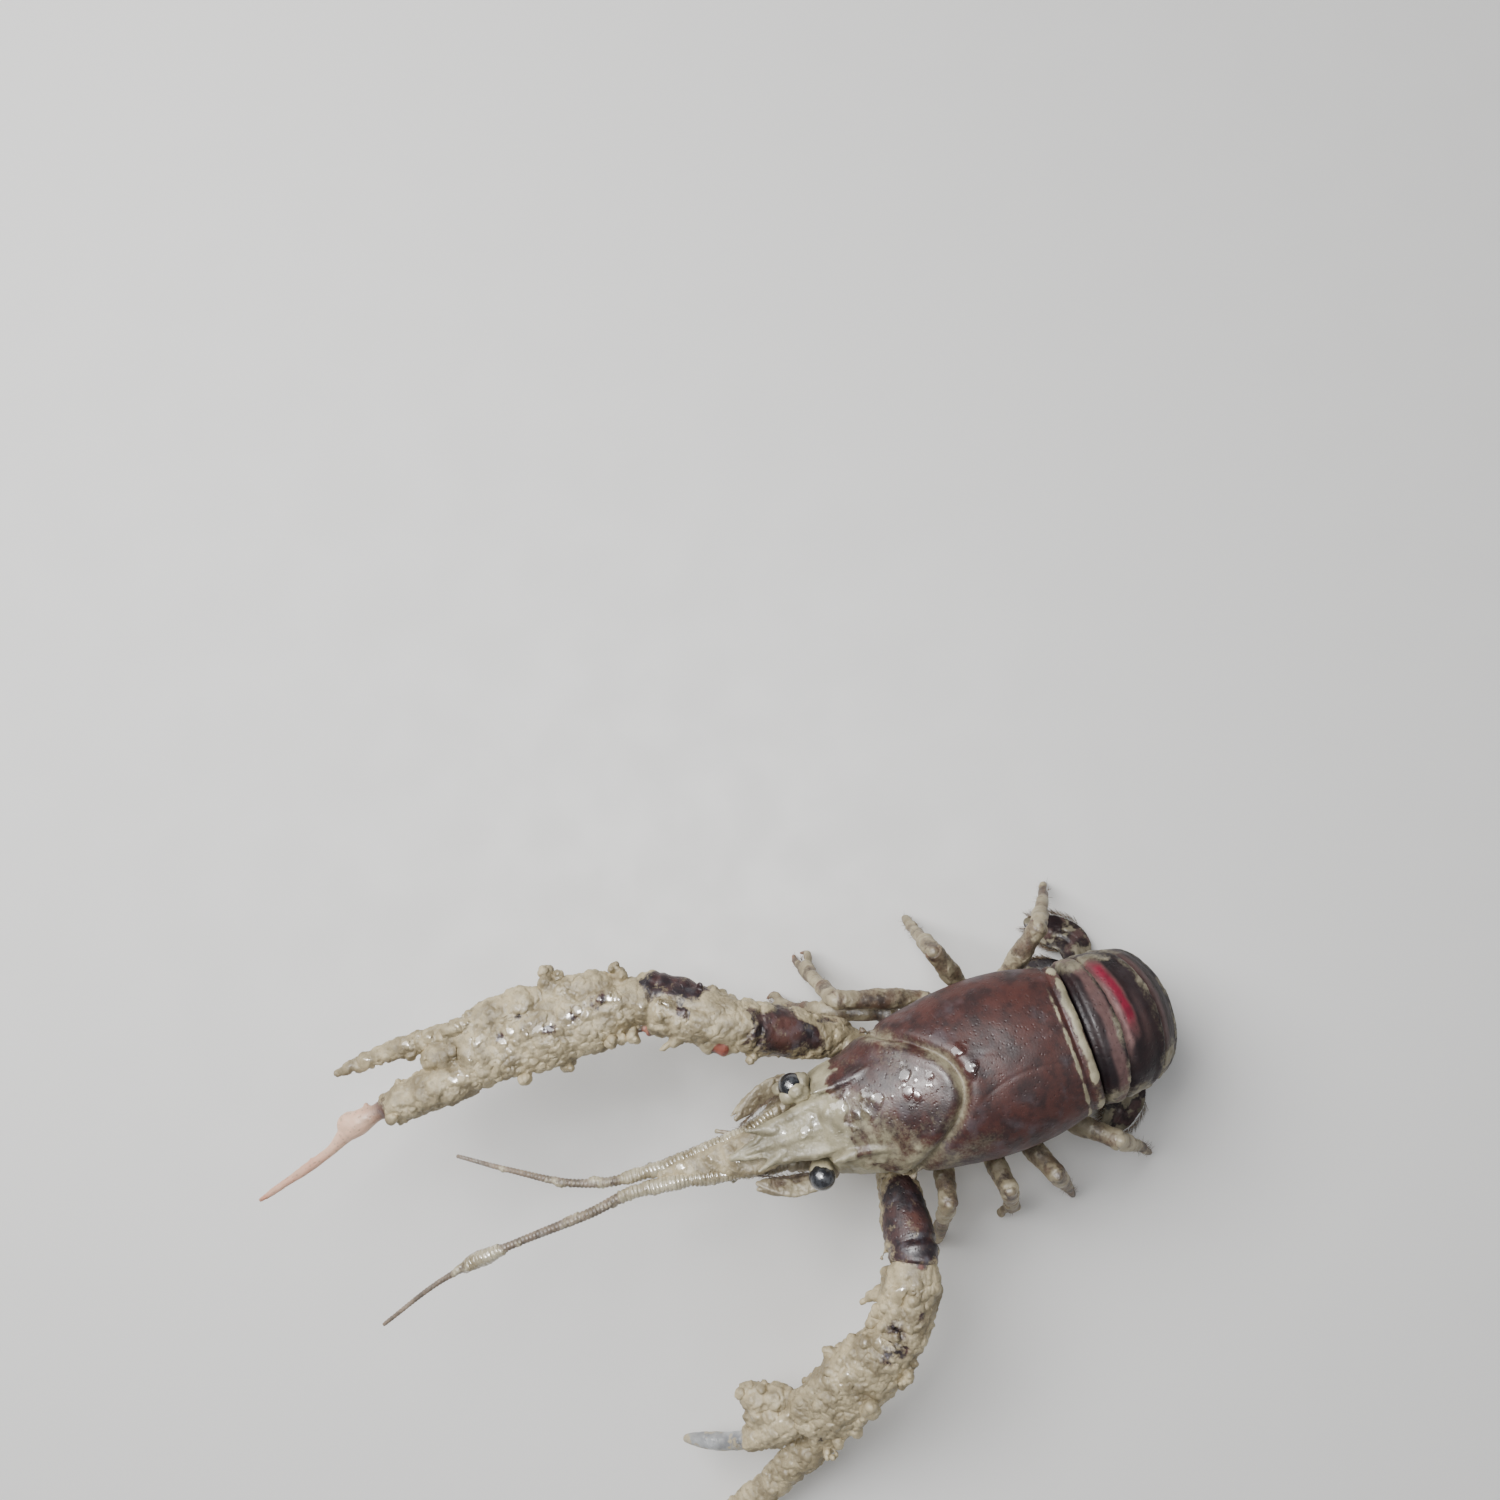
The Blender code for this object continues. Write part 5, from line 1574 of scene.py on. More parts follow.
@dataclass
class WalkingLeg(Assembly):
    """One walking leg of six joints; the front two pairs end in small pincers."""

    name: str
    side: Side
    root: Point
    middle: Point
    knee: Point
    foot: Point
    pincer: bool
    wrist_part: float = 0.27
    toe_part: float = 0.72
    floor: float = 0.01
    hairs: Bristles = Bristles(length=0.65, radius=0.028, spread=0.25, seed=110, tuft=1)

    def upper(self) -> None:
        """From the belly to the knee."""
        root, middle, knee = (np.array(point) for point in (self.root, self.middle, self.knee))
        inward = -self.side.outward
        onward = unit(knee - middle)
        bow = (middle + knee) / 2 + np.array([0.0, 0.0, 0.35])
        clay = Clay().add(
            lump(root + inward * 0.1, 1.3),
            leg_joint((root + inward * 0.6, (root + middle) / 2, middle), 1.15, 1.2, 1.1),
            leg_joint((middle - onward * 0.4, bow, knee - onward * 0.1), 0.95, 1.08, 0.92),
        )
        skin = clay.press(0.11)
        self.dress(skin, 100.0)
        self.bench.set_down(f"{self.name}_thigh", skin, "leg", Slot.LEG, f"{self.name}_upper")

    @staticmethod
    def nail(points: Sequence[Array], widths: Sequence[float], heights: Sequence[float]) -> Array:
        """A pointed end of a leg.

        Args:
            points: Where it starts, goes through and ends.
            widths: Half widths along it.
            heights: Half heights along it.

        Returns:
            Its rings.
        """
        return domed(tube(spline(points, 26), widths, heights, (1, 0, 0.3), 20), 0.2, 0.05)

    def lower(self) -> None:
        """From the knee to the foot."""
        knee, foot = np.array(self.knee), np.array(self.foot)
        shin = foot - knee
        way = unit(shin)
        wrist, toe = knee + shin * self.wrist_part, knee + shin * self.toe_part
        side = unit(np.cross([0.0, 0.0, 1.0], way)) * -1.0
        clay = Clay().add(leg_joint((knee - way * 0.5, (knee + wrist) / 2, wrist), 0.72, 0.86, 0.78))
        if self.pincer:
            palm = toe - way * 0.3
            clay.add(leg_joint((wrist - way * 0.3, (wrist + palm) / 2 - side * 0.1, palm), 0.6, 0.66, 0.8))
            fixed = (palm - side * 0.2, foot - way * 1.6 - side * 0.25, foot + [0, 0, 0.05])
            clay.add(self.nail(fixed, (0.55, 0.5, 0.42, 0.2), (0.5, 0.42, 0.36, 0.2)))
            moving = (palm + side * 0.4, foot - way * 2.2 + side * 1.25, foot - way * 0.7 + side * 0.75)
            clay.add(self.nail(moving, (0.4, 0.42, 0.34, 0.12), (0.38, 0.38, 0.3, 0.12)))
        else:
            clay.add(leg_joint((wrist - way * 0.3, (wrist + toe) / 2, toe), 0.6, 0.6, 0.52))
            out = self.side.outward
            claw = (toe - way * 0.2, (toe + foot) / 2 + out * 0.35, foot + [0, 0, 0.05])
            clay.add(self.nail(claw, (0.42, 0.44, 0.36, 0.13), (0.42, 0.4, 0.32, 0.13)))
        skin = clay.press(0.1)
        self.dress(skin, 107.0)
        low = ease(2.4, 0.4, skin.points[:, 2])
        skin.paint("accent", 0.9 * low)
        skin.points[:, 2] = np.maximum(skin.points[:, 2], self.floor)
        self.bench.set_down(f"{self.name}_shin", skin, "leg", Slot.LEG, f"{self.name}_lower")
        roots, ways = [], []
        for share in np.linspace(self.wrist_part, 0.9, 26):
            for turn in np.linspace(0, 2 * np.pi, 4, endpoint=False) + share * 9:
                out = unit(side * math.cos(turn) + np.cross(way, side) * math.sin(turn))
                roots.append(knee + shin * share + out * 0.45)
                ways.append(out * 0.7 + way)
        self.hairs.grow(self.bench, f"{self.name}_hairs", np.array(roots), np.array(ways))

    def dress(self, skin: Skin, seed: float) -> None:
        """Lays mud over most of the leg.

        Args:
            skin: The piece's skin.
            seed: Moves the pattern.
        """
        points = skin.points
        skin.push(0.03 * grain(points, 0.8, 2, seed))
        cover = 0.52 + 0.3 * grain(points, 5.0, 2, seed + 1) - 0.5 * ease(2.6, 0.8, points[:, 2])
        Mud(0.03, ((1.6, 0.1), (0.6, 0.05)), 0.5, seed + 2, creases=0.02).spread(skin, cover)
        skin.paint("wet", 0.4 + 0.3 * grain(points, 3.0, 2, seed + 3))

    def build(self) -> None:
        """Makes the leg."""
        self.upper()
        self.lower()


ROOT_LEFT = 3.9
LEGS: dict[str, tuple[Point, Point, Point, Point]] = {
    "leg_2_right": ((3.3, -ROOT_LEFT, 9.4), (4.3, -8.1, 8.4), (10.6, -10.4, 8.6), (16.6, -13.0, 0.0)),
    "leg_2_left": ((3.3, ROOT_LEFT, 9.4), (3.9, 7.8, 9.3), (4.9, 11.6, 13.2), (7.6, 16.8, 0.0)),
    "leg_3_right": ((-0.4, -ROOT_LEFT, 9.4), (0.4, -8.2, 9.5), (8.9, -10.9, 13.4), (11.6, -17.0, 0.0)),
    "leg_3_left": ((-0.4, ROOT_LEFT, 9.4), (-0.9, 8.2, 9.5), (-1.2, 12.2, 14.0), (-1.6, 16.2, 0.0)),
    "leg_4_right": ((-4.2, -ROOT_LEFT, 9.4), (-3.8, -8.2, 9.5), (-2.2, -12.3, 14.0), (-1.3, -17.0, 0.0)),
    "leg_4_left": ((-4.2, ROOT_LEFT, 9.4), (-4.6, 8.2, 9.5), (-6.2, 12.3, 14.0), (-8.4, 16.6, 0.0)),
    "leg_5_right": ((-7.9, -ROOT_LEFT, 9.4), (-9.2, -7.8, 9.4), (-13.2, -11.2, 13.4), (-17.4, -15.4, 0.0)),
    "leg_5_left": ((-7.9, ROOT_LEFT, 9.4), (-9.2, 7.8, 9.4), (-13.2, 11.2, 13.4), (-17.8, 15.0, 0.0)),
}
PINCER_LEGS = ("leg_2", "leg_3")


@dataclass(frozen=True)
class ClawPose:
    """Where one claw's joints and fingers lie, and what shows on it."""

    joints: tuple[Point, ...]
    up: Point
    fixed: tuple[Point, ...]
    fixed_radii: tuple[float, ...]
    moving: tuple[Point, ...]
    moving_radii: tuple[float, ...]
    bare_tip: float
    finger_finish: str
    bare: Spots
    thin: Spots
    stains: tuple[tuple[Point, float, float, float], ...]
    clods: Spots
    banks: tuple[tuple[Point, Point, float], ...]
    beads: tuple[tuple[float, float], ...]


CLAWS: dict[Side, ClawPose] = {
    Side.RIGHT: ClawPose(
        joints=((7.2, -ROOT_LEFT, 10.2), (9.9, -7.0, 10.9), (18.6, -11.7, 16.6), (27.3, -17.3, 16.8),
                (45.2, -17.8, 16.8)),
        up=(-0.1, -0.15, 1.0),
        fixed=((51.7, -20.7, 16.4), (58.9, -20.4, 15.9)),
        fixed_radii=(1.9, 1.6, 1.15, 0.95, 0.85, 0.72, 0.5, 0.28),
        moving=((53.8, -15.6, 16.2), (58.6, -14.9, 15.6), (62.5, -13.1, 15.0), (70.6, -11.0, 13.6)),
        moving_radii=(1.65, 1.9, 1.95, 1.75, 1.4, 0.9, 1.3, 0.8, 0.52, 0.54, 0.46, 0.4, 0.26),
        bare_tip=0.37,
        finger_finish="claw",
        bare=(((23.4, -18.0, 18.2), 1.9), ((21.4, -17.0, 18.0), 1.1), ((25.4, -18.6, 18.2), 1.1),
              ((11.8, -8.4, 15.8), 1.2)),
        thin=(((17.0, -10.4, 18.4), 1.7), ((33.6, -17.9, 19.2), 1.1), ((36.4, -17.3, 19.2), 1.0),
              ((31.0, -18.6, 19.3), 1.2), ((41.2, -18.2, 19.0), 0.8), ((23.2, -14.6, 19.2), 0.7),
              ((39.0, -19.6, 18.9), 0.6)),
        stains=(((21.1, -10.0, 17.1), 0.9, 0.62, 1.0), ((27.4, -14.2, 17.0), 0.7, 0.7, 0.8),
                ((14.0, -9.4, 17.6), 2.3, 0.14, 0.9), ((14.5, -7.4, 16.8), 0.7, 0.3, 0.7)),
        clods=(((35.1, -22.4, 17.4), 0.8), ((28.6, -21.0, 17.4), 0.8), ((32.1, -14.4, 17.0), 0.7),
               ((36.0, -13.6, 16.8), 0.6), ((44.2, -21.3, 17.6), 1.35), ((21.0, -16.6, 17.0), 0.6),
               ((40.2, -13.7, 17.0), 0.6), ((30.4, -14.9, 16.6), 0.5)),
        banks=(((19.9, -9.9, 16.4), (22.6, -11.6, 16.4), 1.15),
               ((21.6, -15.8, 16.6), (26.6, -18.9, 16.8), 1.5),
               ((29.2, -19.6, 17.0), (36.4, -20.6, 17.2), 1.5),
               ((36.0, -20.5, 17.2), (44.2, -20.4, 17.2), 1.75)),
        beads=((32.6, -18.4), (30.7, -18.6), (34.1, -17.2), (36.0, -17.7), (35.9, -16.4), (40.8, -17.8),
               (41.9, -17.5), (31.7, -17.6), (37.6, -18.2), (38.9, -17.2), (29.2, -17.9), (25.6, -17.0),
               (39.6, -18.6), (48.6, -20.4), (45.5, -16.7), (46.7, -16.1), (43.9, -21.4), (44.6, -20.9),
               (16.9, -12.6), (27.7, -16.3), (26.5, -15.5), (24.5, -15.9), (43.7, -19.3), (50.9, -20.9),
               (55.4, -20.6), (54.4, -15.0)),
    ),
    Side.LEFT: ClawPose(
        joints=((7.2, ROOT_LEFT, 10.2), (8.8, 7.6, 10.9), (9.9, 15.2, 15.2), (13.7, 21.6, 13.8),
                (24.7, 27.6, 8.9)),
        up=(0.35, 0.15, 1.0),
        fixed=((31.0, 32.7, 4.9), (39.6, 35.6, 1.6)),
        fixed_radii=(1.9, 1.6, 1.55, 1.4, 1.2, 1.0, 0.7, 0.3),
        moving=((31.2, 27.3, 8.2), (34.4, 27.0, 6.8), (38.2, 25.9, 5.2)),
        moving_radii=(1.35, 1.5, 1.35, 1.05, 0.95, 0.92, 0.84, 0.42),
        bare_tip=0.49,
        finger_finish="finger",
        bare=(((8.8, 9.4, 14.4), 1.6), ((8.8, 11.6, 15.6), 2.2), ((9.4, 13.8, 16.6), 1.5)),
        thin=(((13.9, 20.6, 16.3), 1.3), ((11.2, 19.8, 16.4), 0.8), ((15.2, 22.8, 15.4), 1.2),
              ((13.6, 22.6, 15.6), 0.8), ((26.6, 29.2, 10.6), 1.1), ((24.6, 29.5, 11.0), 1.1),
              ((28.8, 28.8, 9.4), 1.0), ((30.6, 31.8, 7.6), 1.0), ((8.4, 8.6, 13.4), 1.2),
              ((10.6, 12.0, 16.2), 0.9)),
        stains=(((9.6, 15.6, 16.8), 0.5, 0.5, 0.9), ((8.6, 11.4, 16.2), 1.2, 0.1, 0.8)),
        clods=(((30.3, 22.2, 9.2), 0.6), ((28.4, 22.8, 9.6), 0.55), ((11.3, 17.8, 16.9), 0.55),
               ((18.6, 27.4, 13.4), 0.6), ((24.0, 31.3, 9.2), 0.6), ((27.0, 23.9, 9.3), 0.6),
               ((20.8, 21.4, 12.0), 0.55)),
        banks=(((26.4, 24.5, 9.6), (30.4, 23.4, 8.9), 1.3), ((27.2, 25.6, 9.2), (30.7, 25.4, 8.4), 1.4)),
        beads=((12.5, 17.3), (17.5, 20.6), (16.4, 20.8), (24.3, 24.6), (31.0, 25.0), (33.4, 27.1),
               (13.2, 18.2), (35.9, 26.5), (31.9, 27.4), (21.2, 24.2), (27.6, 27.0), (18.9, 23.6)),
    ),
}


@dataclass
class ClawLimb(Assembly):
    """One claw limb: base, arm, wrist, palm with its fixed finger, and the moving finger."""

    side: Side
    pose: ClawPose
    base_radii: tuple[float, ...] = (1.7, 1.75, 1.9)
    arm_width: tuple[float, ...] = (1.75, 2.1, 2.4, 2.55, 2.35)
    arm_height: tuple[float, ...] = (1.8, 2.15, 2.3, 2.3, 2.15)
    wrist_width: tuple[float, ...] = (2.0, 2.55, 2.75, 2.65, 2.2)
    wrist_height: tuple[float, ...] = (1.95, 2.35, 2.45, 2.35, 2.05)
    palm_width: tuple[float, ...] = (2.1, 3.0, 3.45, 3.55, 3.4, 3.0)
    palm_height: tuple[float, ...] = (1.95, 2.25, 2.35, 2.3, 2.15, 1.9)
    finger_offset: tuple[float, float] = (1.9, 2.0)
    flatness: float = 0.92
    wrist_reach: float = 4.6
    palm_reach: float = 5.6
    mover_reach: float = 4.9
    mover_bank_reach: float = 3.8
    lip_height: float = 0.14
    furrow_depth: float = 0.16
    teeth: int = 10
    mud_lumps: Stations = ((3.2, 0.26), (1.3, 0.13), (0.55, 0.06), (0.26, 0.03))
    creases: float = 0.1
    knobs: float = 0.2
    voxel: float = 0.12
    smoothing: int = 6

    def __post_init__(self) -> None:
        """Works out the headings of the limb's runs and the faces between them."""
        self.joints = np.array(self.pose.joints)
        self.up = unit(np.array(self.pose.up))
        self.runs = unit(np.diff(self.joints, axis=0))
        self.faces = unit(self.runs[:-1] + self.runs[1:])
        self.name = self.side.label

    def inward(self, run: Array) -> Array:
        """Across a run, towards the body's middle."""
        return unit(np.cross(run, self.up)) * self.side.value

    def clods(self, start: Array, end: Array, width: float, count: int, seed: int) -> list[Array]:
        """Clods of mud along both edges of a run.

        Args:
            start: Where the run starts.
            end: Where it ends.
            width: How far its edges are from its middle.
            count: How many clods.
            seed: Seeds the draw.

        Returns:
            Their rings.
        """
        draw = np.random.default_rng(seed)
        run = unit(end - start)
        across = self.inward(run)
        over = np.cross(run, across)
        rings = []
        for index in range(count):
            place = start + (end - start) * draw.uniform(0.03, 0.97)
            outward = across * (1 if index % 2 else -1)
            place = place + outward * width * draw.uniform(0.78, 0.92) + over * draw.uniform(-0.9, 0.9)
            for size in draw.uniform(0.3, 0.7) * np.array([1.0, 0.7, 0.55]):
                rings.append(ball(place, tumble(draw) * size * draw.uniform(0.45, 1.5, 3)[:, None], 12))
                place = place + outward * size * draw.uniform(0.1, 0.6) + run * size * draw.uniform(-1.3, 1.3)
        return rings

    def banks(self, start: Array, end: Array, reach: float) -> list[Array]:
        """The pose's banks of mud that lie along a run.

        Args:
            start: Where the run starts.
            end: Where it ends.
            reach: How far from the run a bank may lie.

        Returns:
            Their rings.
        """
        rings = []
        for first, last, size in self.pose.banks:
            middle = (np.array(first) + np.array(last)) / 2
            part, away = beside(middle, start, end)
            if np.linalg.norm(away) < reach and 0.0 < part < 1.0:
                sizes = (0.6 * size, size, 0.9 * size, size, 0.6 * size)
                rings.append(domed(tube(spline([first, middle, last], 30), sizes, sizes, UP, 24), 0.6, 0.6))
        return rings

    def coat(self, skin: Skin, base_cover: float, seed: float) -> None:
        """Lays thick mud, leaving the bare, thin and coloured places of the pose.

        Args:
            skin: The piece's skin.
            base_cover: How much of it the mud covers, 0 to 1.
            seed: Moves the pattern.
        """
        points = skin.points
        cover = base_cover + 0.18 * grain(points, 4.0, 2, seed + 1)
        relief = np.ones(len(points))
        for centre, reach in self.pose.bare:
            cover = cover - 1.3 * skin.near(centre, reach)
            relief = relief - 0.8 * skin.near(centre, 1.7 * reach)
        for centre, reach, amount, tint in self.pose.stains:
            spot = skin.near(centre, reach)
            cover = cover - 1.4 * spot
            relief = relief - 0.8 * skin.near(centre, 1.7 * reach)
            skin.paint("accent", amount * ease(0.2, 0.6, spot))
            skin.paint("tint", tint * ease(0.05, 0.3, spot))
        skin.push(self.knobs * np.clip(relief, 0.0, 1.0) * grain(points, 0.8, 3, seed + 9))
        mud = Mud(0.08, self.mud_lumps, 0.42, seed, creases=self.creases)
        mud.spread(skin, np.clip(cover, 0.0, 1.1), np.clip(relief, 0.1, 1.0))
        torn = 0.75 + 0.5 * grain(points, 0.9, 3, seed + 5)
        for centre, reach in self.pose.thin:
            skin.wipe("mud", torn * skin.near(centre, reach))
        skin.paint("wet", 0.42 + 0.5 * grain(points, 2.2, 3, seed + 2))
        for centre, reach in self.pose.bare + self.pose.thin:
            skin.paint("wet", 0.6 * skin.near(centre, reach * 1.2))
        skin.paint("mud", 0.34 * ease(-0.1, 0.5, grain(points, 1.3, 4, seed + 12)))
        for centre, size in self.pose.clods:
            if size > 1.0:
                skin.paint("wet", 0.85 * skin.near(centre, 1.6 * size))
        WetBeads(self.pose.beads).lay(skin)

    def near_clods(self, start: Array, end: Array, reach: float) -> list[Array]:
        """The pose's own clods that lie along a run.

        Args:
            start: Where the run starts.
            end: Where it ends.
            reach: How far from the run a clod may lie.

        Returns:
            Their rings.
        """
        rings = []
        for centre, size in self.pose.clods:
            away = beside(centre, start, end)[1]
            if np.linalg.norm(away) < reach:
                draw = np.random.default_rng(int(1000 * size) + len(rings))
                for share in (1.0, 0.8, 0.7, 0.6, 0.55, 0.5, 0.4, 0.4):
                    sunk = np.array(centre) - unit(away) * (0.3 + share) * 0.6 * size
                    place = sunk + draw.normal(0.0, 0.55, 3) * size
                    axes = tumble(draw) * size * share * draw.uniform(0.5, 1.4, 3)[:, None]
                    rings.append(ball(place, axes, 16))
        return rings

    def base(self) -> None:
        """The joints that leave the belly."""
        root, shoulder = self.joints[:2]
        outward = self.side.outward
        path = spline([root - outward * 0.4, root, shoulder + self.runs[0] * 0.15], 30)
        rings = tube(path, self.base_radii, self.base_radii, self.up, 40, outward, self.faces[0])
        skin = Clay().add(domed(rings, 0.4, 0.7), lump(root + outward * 0.6, 1.75)).press(self.voxel)
        Mud(0.06, ((1.6, 0.16), (0.6, 0.1)), 0.5, 120.0).spread(skin, 0.6)
        skin.paint("wet", 0.5)
        self.bench.set_down(f"claw_root_{self.name}", skin, "claw", Slot.CLAW, f"claw_base_{self.name}")

    def arm(self) -> None:
        """The long arm with its spines."""
        shoulder, elbow = self.joints[1:3]
        run, inward = self.runs[1], self.inward(self.runs[1])
        path = spline([shoulder + self.faces[0] * 0.1, elbow - self.faces[1] * 0.1], 60)
        rings = tube(path, self.arm_width, self.arm_height, self.up, 56, self.faces[0], self.faces[1])
        clay = Clay().add(domed(rings, 1.1, 0.8))
        tip = elbow - run * 2.2
        rising = self.up * 0.5 + run
        clay.add(spine(tip + self.up * 1.95 - inward * 0.6, rising, 0.45, 1.3, run * 0.3))
        clay.add(spine(tip - run * 2.4 + self.up * 2.0, rising, 0.4, 1.0, run * 0.3))
        clay.add(spine(tip + inward * 2.0, inward + run * 0.4, 0.55, 1.7, run * 0.4))
        low = tip - run * 2.9 + inward * 1.9 - self.up * 0.6
        clay.add(spine(low, inward + run * 0.5, 0.4, 0.9, run * 0.3))
        if self.side is Side.RIGHT:
            clay.add(*self.clods(elbow - run * 3.0, elbow, 2.3, 8, 5))
        skin = clay.press(self.voxel, self.smoothing)
        self.rim(skin, elbow, run)
        cover = 0.62 if self.side is Side.RIGHT else 0.48
        self.coat(skin, cover, 130.0)
        self.bench.set_down(f"claw_upper_{self.name}", skin, "claw", Slot.CLAW, f"claw_arm_{self.name}")

    def rim(self, skin: Skin, end: Array, run: Array) -> None:
        """Raises a lip with a furrow behind it at a joint's far end."""
        back = (end - skin.points) @ run
        skin.push(self.lip_height * hill(back - 0.55, 0.35) - self.furrow_depth * hill(back - 1.35, 0.28))

    def wrist(self) -> None:
        """The stout wrist with its furrow and spines."""
        elbow, wrist = self.joints[2:4]
        run, inward = self.runs[2], self.inward(self.runs[2])
        path = spline([elbow + self.faces[1] * 0.1, wrist - self.faces[2] * 0.1], 50)
        rings = tube(path, self.wrist_width, self.wrist_height, self.up, 56, self.faces[1], self.faces[2])
        clay = Clay().add(domed(rings, 0.9, 0.8))
        centre = elbow + (wrist - elbow) * 0.55
        clay.add(spine(centre + inward * 2.75, inward + run * 0.6, 0.62, 1.9, run * 0.5))
        clay.add(spine(centre + run * 2.2 + inward * 2.2, inward + run * 0.5, 0.45, 1.1, run * 0.3))
        clay.add(spine(centre + self.up * 2.35 + run * 1.6, self.up * 0.6 + run, 0.45, 0.9, run * 0.2))
        for share in (-0.35, 0.05, 0.4):
            clay.add(lump(centre + run * share * 5.0 + inward * 1.5 + self.up * 1.9, 0.45))
        clay.add(*self.clods(elbow, wrist, 2.6, 18, 6), *self.near_clods(elbow, wrist, self.wrist_reach))
        clay.add(*self.banks(elbow, wrist, self.wrist_reach))
        skin = clay.press(self.voxel, self.smoothing)
        offsets = skin.points - centre
        furrow = hill(offsets @ inward + 0.1, 0.5)
        high = ease(0.5, 1.5, offsets @ self.up)
        skin.push(-0.3 * furrow * high * ease(4.4, 2.4, np.abs(offsets @ run)))
        self.rim(skin, wrist, run)
        self.coat(skin, 0.86, 140.0)
        self.bench.set_down(f"claw_carpus_{self.name}", skin, "claw", Slot.CLAW, f"claw_wrist_{self.name}")

    def palm_teeth(self, start: Array, end: Array, inward: Array, up: Array) -> list[Array]:
        """Two rows of knobs along the palm's inner edge.

        Args:
            start: Where the palm starts.
            end: Where it ends.
            inward: Across it, to the moving finger.
            up: Out of its upper face.

        Returns:
            Their rings.
        """
        run = self.runs[3]
        rings = []
        for row, lift in enumerate((0.75, -0.15)):
            for share in np.linspace(0.16, 0.86, 7) + 0.05 * row:
                width = float(taper(self.palm_width, np.array([share]))[0])
                place = start + (end - start) * share + inward * width * (0.9 - 0.05 * row) + up * lift
                rings.append(spine(place, inward + up * (0.5 - 0.5 * row) + run * 0.5, 0.42, 0.45, run * 0.2))
        return rings

    def finger(self, path: Array, radii: Sequence[float], up: Array, start: float) -> Array:
        """One finger, a little flatter than it is wide.

        Args:
            path: Even points along its middle.
            radii: Its half widths.
            up: Out of its upper face.
            start: How far its root swells out.

        Returns:
            Its rings.
        """
        return domed(tube(path, radii, [self.flatness * size for size in radii], up, 48), start, 0.15)

    def hand(self) -> None:
        """The palm with its fixed finger, and the moving finger on its hinge."""
        start, end = self.joints[3:5]
        run = self.runs[3]
        fixed, moving = np.array(self.pose.fixed), np.array(self.pose.moving)
        inward = moving[0] - fixed[0]
        inward = unit(inward - run * inward.dot(run))
        up = np.cross(run, inward)
        up = up * math.copysign(1.0, up[2])
        fixed_root = end - inward * self.finger_offset[0]
        moving_root = end + run * 0.25 + inward * self.finger_offset[1]
        finger_path = spline(np.vstack([fixed_root - run * 2.2, fixed_root, fixed]), 80)
        mover_path = spline(np.vstack([moving_root - run * 0.5, moving_root + run * 0.6, moving]), 110)
        slim, radii = self.pose.fixed_radii, self.pose.moving_radii
        palm_path = spline([start + self.faces[2] * 0.1, end], 80)
        palm = tube(palm_path, self.palm_width, self.palm_height, up, 72, self.faces[2])
        clay = Clay().add(domed(palm, 0.9, 0.9), self.finger(finger_path, slim, up, 0.2))
        clay.add(ball(end + inward * 2.0 - run * 0.9, (run * 1.3, inward * 1.5, up * 1.75), 28))
        mover = Clay().add(self.finger(mover_path, radii, up, 0.5))
        self.grip(clay, finger_path, slim, inward, 0.3)
        self.grip(mover, mover_path, radii, -inward, 0.16)
        clay.add(*self.palm_teeth(start, end, inward, up))
        clay.add(*self.clods(start, end, 3.45, 34, 7), *self.near_clods(start, end, self.palm_reach))
        clay.add(*self.banks(start, end, self.palm_reach))
        clay.add(*self.clods(finger_path[14], finger_path[52], 0.8, 5, 8))
        mover.add(*self.clods(mover_path[8], mover_path[40], 1.35, 10, 9))
        mover.add(*self.near_clods(moving_root, moving[0], self.mover_reach))
        mover.add(*self.banks(moving_root, moving[0], self.mover_bank_reach))
        if self.side is Side.RIGHT:
            mover.add(ball(moving[1] - inward * 0.35 + run * 0.3, (run * 1.5, inward * 1.2, up * 1.05), 24))
            clay.add(ball(end + run * 2.4 - inward * 0.7, (run * 2.3, inward * 1.5, up * 1.45), 24))
        palm_skin, mover_skin = (form.press(self.voxel, self.smoothing) for form in (clay, mover))
        self.coat(palm_skin, 0.95, 150.0)
        self.bench.set_down(f"claw_hand_{self.name}", palm_skin, "claw", Slot.CLAW, f"claw_palm_{self.name}")
        self.finish_mover(mover_skin, mover_path)

    def finish_mover(self, skin: Skin, path: Array) -> None:
        """Coats the moving finger and leaves its tip bare.

        Args:
            skin: The piece's skin.
            path: Even points along its middle.
        """
        part = TailFan.nearest(skin.points, path) / (len(path) - 1)
        tip_start = self.pose.bare_tip
        bare = ease(tip_start - 0.05, tip_start + 0.05, part)
        cover = 0.95 * (1.0 - bare) + 0.15 * grain(skin.points, 3.0, 2, 161.0)
        Mud(0.08, self.mud_lumps, 0.4, 160.0, creases=self.creases).spread(skin, np.clip(cover, 0.0, 1.0))
        skin.push(self.knobs * (1.0 - bare) * grain(skin.points, 0.8, 3, 169.0))
        patchy = grain(skin.points, 1.1, 4, 163.0)
        skin.push(0.07 * bare * grain(skin.points, 1.3, 3, 165.0))
        if self.side is Side.LEFT:
            skin.paint("mud", 0.5 * bare * ease(-0.1, 0.4, patchy))
        else:
            reddened = ease(tip_start - 0.02, tip_start + 0.11, part)
            skin.paint("accent", bare * reddened * (0.92 + 0.2 * patchy))
            skin.paint("tint", 0.15 * hill(part - 0.42, 0.04) + 0.3 * ease(0.56, 0.75, part) + 0.3 * patchy
                       + 0.3 * ease(0.93, 1.0, part))
            skin.paint("mud", 0.4 * bare * ease(0.1, 0.5, patchy) * ease(0.44, 0.5, part))
        skin.paint("wet", 0.35 + 0.3 * bare)
        WetBeads(self.pose.beads).lay(skin)
        finish = self.pose.finger_finish
